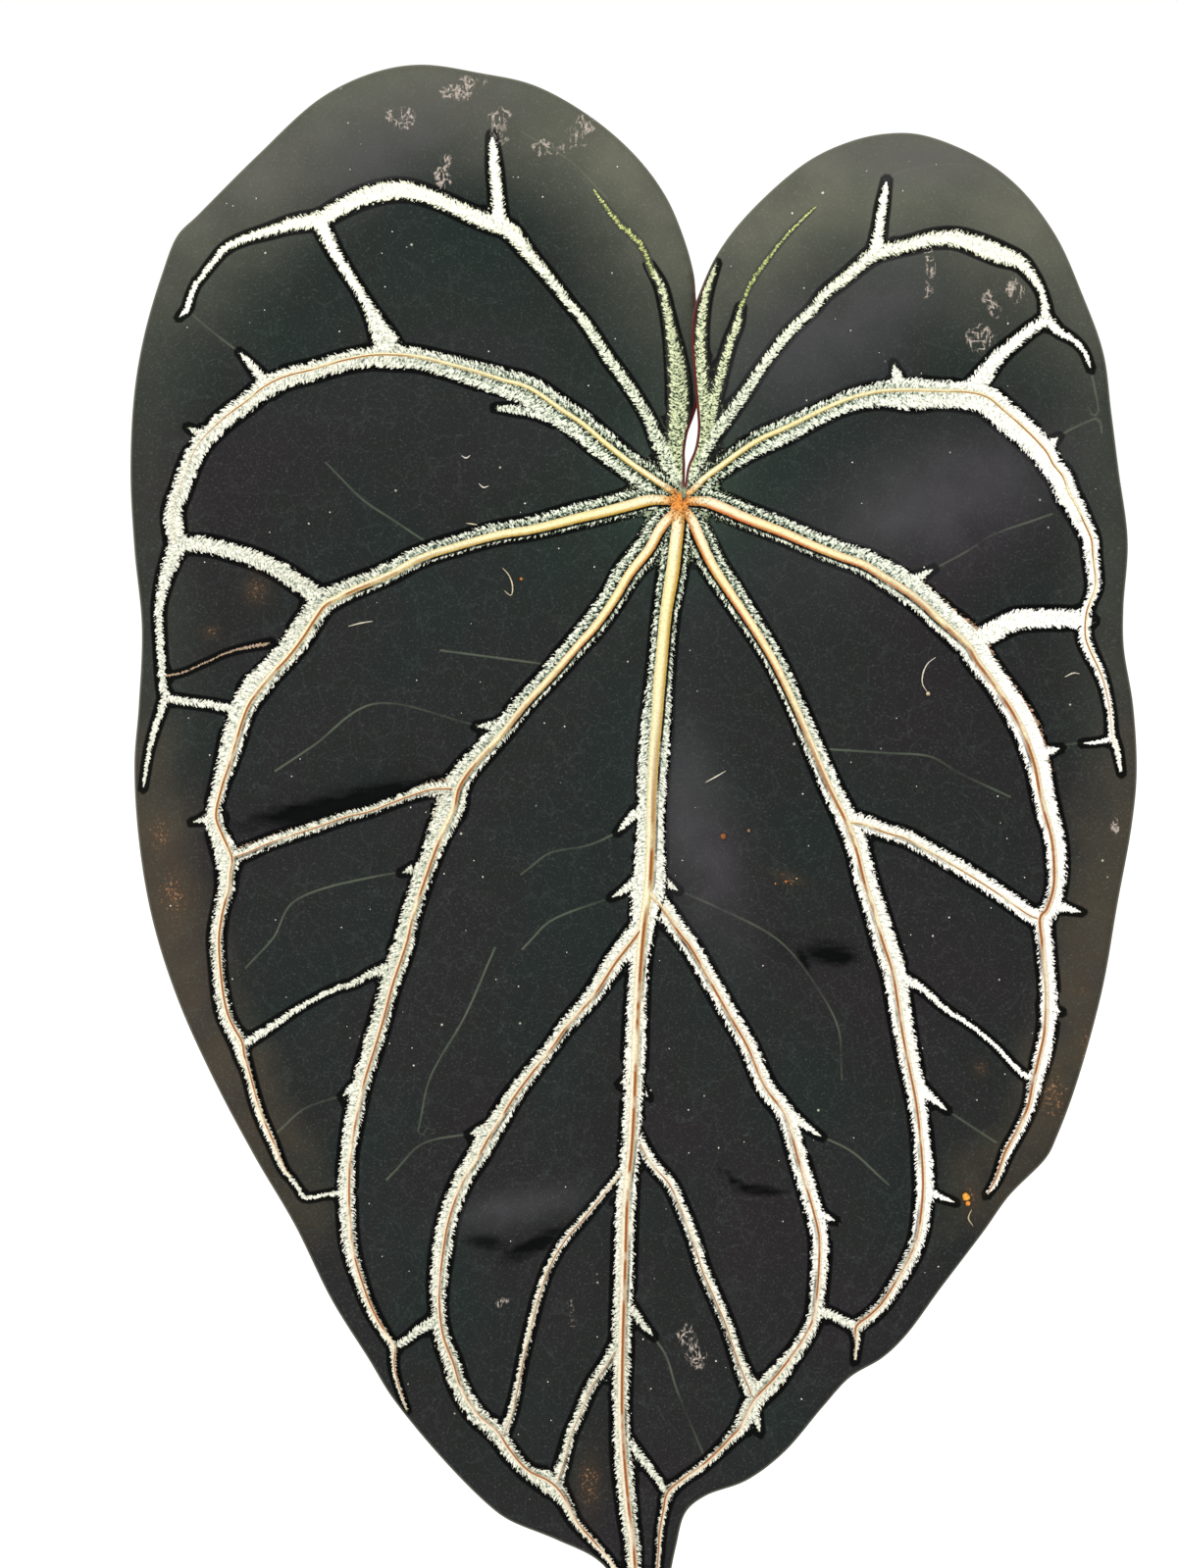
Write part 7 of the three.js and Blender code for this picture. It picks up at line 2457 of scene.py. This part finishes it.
@dataclass
class PottingMix:
    """Bark fines that fill the pot, with bark chips and perlite lying on them."""

    pot: Pot
    clearance: float = 0.45
    top: float = 121.0
    crown: float = 4.0
    sunk: float = 2.5
    stem_radius: float = 12.5
    stem_at: tuple[float, float] = (-1.0, 3.0)
    sides: int = 144
    lean: float = 0.38
    bulge: float = 0.28
    chips: int = 330
    chip_length: tuple[float, float] = (7.0, 20.0)
    chip_width: tuple[float, float] = (0.45, 0.8)
    chip_thickness: tuple[float, float] = (3.0, 6.0)
    grains: int = 260
    grain_width: tuple[float, float] = (2.0, 5.0)
    grain_stretch: tuple[float, float] = (0.75, 1.2)
    seed: int = 31

    def _surface(self, distance: Array) -> Array:
        """Returns the height of the mound at a distance from the middle."""
        rim = self.pot.inner_radius(self.top) - self.clearance
        return self.top + self.crown * (1 - (distance / rim) ** 2)

    def _fines(self) -> bpy.types.Object:
        """Builds the body of the mix and dresses it."""
        sides, floor = self.sides, self.pot.floor + 0.35
        radii = [(0.05, floor), (self.pot.inner_radius(floor) - 3, floor)]
        for height in (self.pot.floor + 3, 60, self.top - self.sunk):
            radii.append((self.pot.inner_radius(height) - self.clearance, height))
        wide = radii[-1][0]
        rings = radii + [
            (r, self._surface(r) - self.sunk) for r in np.linspace(wide - 1.5, 0.05, 46)]
        points = turned(rings, sides)
        on_top = np.repeat(np.arange(len(rings)) > len(radii), sides)
        points[:, 2] += on_top * (rough(points, 6, 5) * 1.3 + rough(points, 2.2, 9) * 0.7)
        piece = make_piece("mix_fines", points, loft_faces(len(rings), sides))
        mark(piece, place=points)
        piece.data.materials.append(DampHumus().material())
        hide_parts("potting_mix")
        return piece

    def _places(self, count: int, reach: float, random: np.random.Generator) -> Array:
        """Even but irregular places on the mound, clear of the stem.

        Args:
            count: how many are tried.
            reach: largest distance from the middle.
            random: source of the irregularity.

        Returns:
            (x, y) in mm.
        """
        order = np.arange(count) + 0.5
        distance = reach * np.sqrt(order / count)
        bearing = order * math.pi * (3 - math.sqrt(5)) + random.uniform(-0.25, 0.25, count)
        spots = np.column_stack([distance * np.cos(bearing), distance * np.sin(bearing)])
        return spots[np.hypot(*(spots - self.stem_at).T) > self.stem_radius]

    def _lumps(
        self, name: str, shape: Skin, spots: Array,
        sizes: Callable[[np.random.Generator], Array], random: np.random.Generator,
        lift: float = 0.0,
    ) -> bpy.types.Object:
        """Lays irregular copies of a lump on the mound.

        Args:
            name: name of the piece.
            shape: points and faces of a lump one unit wide.
            spots: where each lies.
            sizes: draws the length, width and thickness of one in mm.
            random: source of turns and roughness.
            lift: how far they are raised, in mm.

        Returns:
            One piece with all of them.
        """
        unit, unit_faces = shape
        parts: list[Skin] = []
        grain: list[Array] = []
        shade: list[Array] = []
        for number, (x, y) in enumerate(spots):
            size = sizes(random)
            bulge = 1 + self.bulge * rough(unit * 2 + number * 7.3, 0.9)[:, None]
            local = unit * bulge * size
            tilt_x, tilt_y, turn = random.uniform(-self.lean, self.lean, 2).tolist() + [
                random.uniform(0, 2 * math.pi)]
            spin = (Vector((0, 0, 1)).rotation_difference(
                Vector((tilt_x, tilt_y, 1)).normalized()).to_matrix())
            spun = np.array(spin) @ np.array((
                (math.cos(turn), -math.sin(turn), 0), (math.sin(turn), math.cos(turn), 0),
                (0, 0, 1)))
            out = math.hypot(x, y)
            height = self._surface(out) - self.sunk + size[2] * random.uniform(0.1, 0.62)
            height += lift * random.random()
            parts.append((local @ spun.T + (x, y, height), unit_faces))
            grain.append(local + number * 31.0)
            shade.append(np.full(len(unit), random.random()))
        points, faces = together(parts)
        wall = np.array([self.pot.inner_radius(z) for z in points[:, 2]]) - 0.5
        away = np.maximum(np.hypot(points[:, 0], points[:, 1]), 1e-6)
        points[:, :2] *= np.minimum(1, wall / away)[:, None]
        piece = make_piece(name, points, faces)
        mark(piece, place=points, grain=np.vstack(grain), shade=np.concatenate(shade))
        return piece

    @staticmethod
    def _block(cuts: int) -> Skin:
        """A unit block with rounded edges, split into a grid.

        Args:
            cuts: cells along each edge.

        Returns:
            Its points and faces.
        """
        shaped = bmesh.new()
        bmesh.ops.create_cube(shaped, size=1.0)
        bmesh.ops.subdivide_edges(shaped, edges=shaped.edges, cuts=cuts, use_grid_fill=True)
        points, faces = taken_from(shaped)
        rounder = points / np.maximum(np.linalg.norm(points, axis=1, keepdims=True), 1e-6) * 0.62
        return points * 0.68 + rounder * 0.32, faces

    def build(self) -> None:
        """Builds the fines, the chips and the perlite and dresses them."""
        random = np.random.default_rng(self.seed)
        reach = self.pot.inner_radius(self.top) - 5

        def chip_size(source: np.random.Generator) -> Array:
            """Returns the length, width and thickness of a chip in mm."""
            long = source.uniform(*self.chip_length)
            wide = long * source.uniform(*self.chip_width)
            return np.array((long, wide, source.uniform(*self.chip_thickness)))

        def grain_size(source: np.random.Generator) -> Array:
            """Returns the three widths of a grain in mm."""
            return source.uniform(*self.grain_width) * source.uniform(*self.grain_stretch, 3)

        chips = self._lumps("bark_chips", self._block(3), self._places(self.chips, reach, random),
                            chip_size, random)
        chips.data.materials.append(BarkChip().material())
        grains = self._lumps(
            "perlite_grains", unit_ball(), self._places(self.grains, reach + 2, random),
            grain_size, random, lift=3.0)
        grains.data.materials.append(Perlite().material())
        for piece in (self._fines(), chips, grains):
            report(piece)


# Studio


@dataclass
class Studio:
    """A pale floor, soft light from all round and a camera that faces the blade."""

    plane: LeafPlane
    floor_size: float = 80.0
    sky_strength: float = 1.06
    view_height: float = 399.75
    sensor: float = 36.0
    paper: tuple[float, float, float, float] = (0.97, 0.97, 0.965, 1.0)

    def _floor(self) -> None:
        """Lays the floor."""
        bpy.ops.mesh.primitive_plane_add(size=self.floor_size)
        floor = bpy.context.object
        floor.name = "floor"
        material = bpy.data.materials.new("studio paper, matt white")
        material.use_nodes = True
        surface = material.node_tree.nodes["Principled BSDF"]
        surface.inputs["Base Color"].default_value = self.paper
        surface.inputs["Roughness"].default_value = 1.0
        surface.inputs["Specular IOR Level"].default_value = 0.0
        floor.data.materials.append(material)

    def _lamp(self, name: str, place: Sequence[float], size: float, power: float) -> None:
        """Hangs a soft lamp that points at the blade.

        Args:
            name: name of the lamp.
            place: where it hangs, in metres.
            size: width of its panel in metres.
            power: its power in watts.
        """
        lamp = bpy.data.lights.new(name, "AREA")
        lamp.size = size
        lamp.energy = power
        holder = bpy.data.objects.new(name, lamp)
        holder.location = place
        aim = Vector([c * MM for c in self.plane.joint]) + Vector((0, 0, -0.1))
        holder.rotation_euler = (aim - Vector(place)).to_track_quat("-Z", "Y").to_euler()
        bpy.context.scene.collection.objects.link(holder)

    def _camera(self) -> None:
        """Stands the camera square to the blade, level with its middle."""
        joint = np.array(self.plane.joint)
        across, up = self.plane.middle
        centre = joint + (across, 0, 0) + self.plane.up * up
        place = centre + self.plane.outward * self.plane.distance
        camera = bpy.data.cameras.new("camera")
        camera.lens = self.sensor * self.plane.distance / self.view_height
        camera.sensor_width = self.sensor
        holder = bpy.data.objects.new("camera", camera)
        holder.location = Vector(place * MM)
        holder.rotation_euler = (math.pi / 2 - self.plane.tilt, 0, 0)
        bpy.context.scene.collection.objects.link(holder)
        bpy.context.scene.camera = holder

    def build(self) -> None:
        """Sets up floor, light and camera."""
        self._floor()
        world = bpy.data.worlds.new("soft white room")
        world.use_nodes = True
        sky = world.node_tree.nodes["Background"]
        sky.inputs["Color"].default_value = (1, 1, 1, 1)
        sky.inputs["Strength"].default_value = self.sky_strength
        bpy.context.scene.world = world
        self._lamp("key", (-1.3, -2.4, 2.2), 1.1, 34)
        self._lamp("back", (1.6, 2.2, 2.0), 1.4, 16)
        bpy.context.scene.view_settings.view_transform = "Standard"
        self._camera()


def main() -> None:
    """Builds the plant, its pot and the studio in order."""
    logging.basicConfig(level=logging.INFO, format="%(message)s")
    form = BladeForm()
    studio = Studio(form.plane)
    studio.build()
    Lamina(form).build()
    SilverVeins(form).build()
    Litter(form).build()
    Petiole(form.plane).build()
    Stem().build()
    SheathLeaf("outer_sheath", "sheath_leaf_1", 215, 150, 50, 86).build()
    SheathLeaf("inner_sheath", "sheath_leaf_2", 35, 153, 33, 74).build()
    pot = Pot()
    pot.build()
    PottingMix(pot).build()


if __name__ == "__main__":
    main()
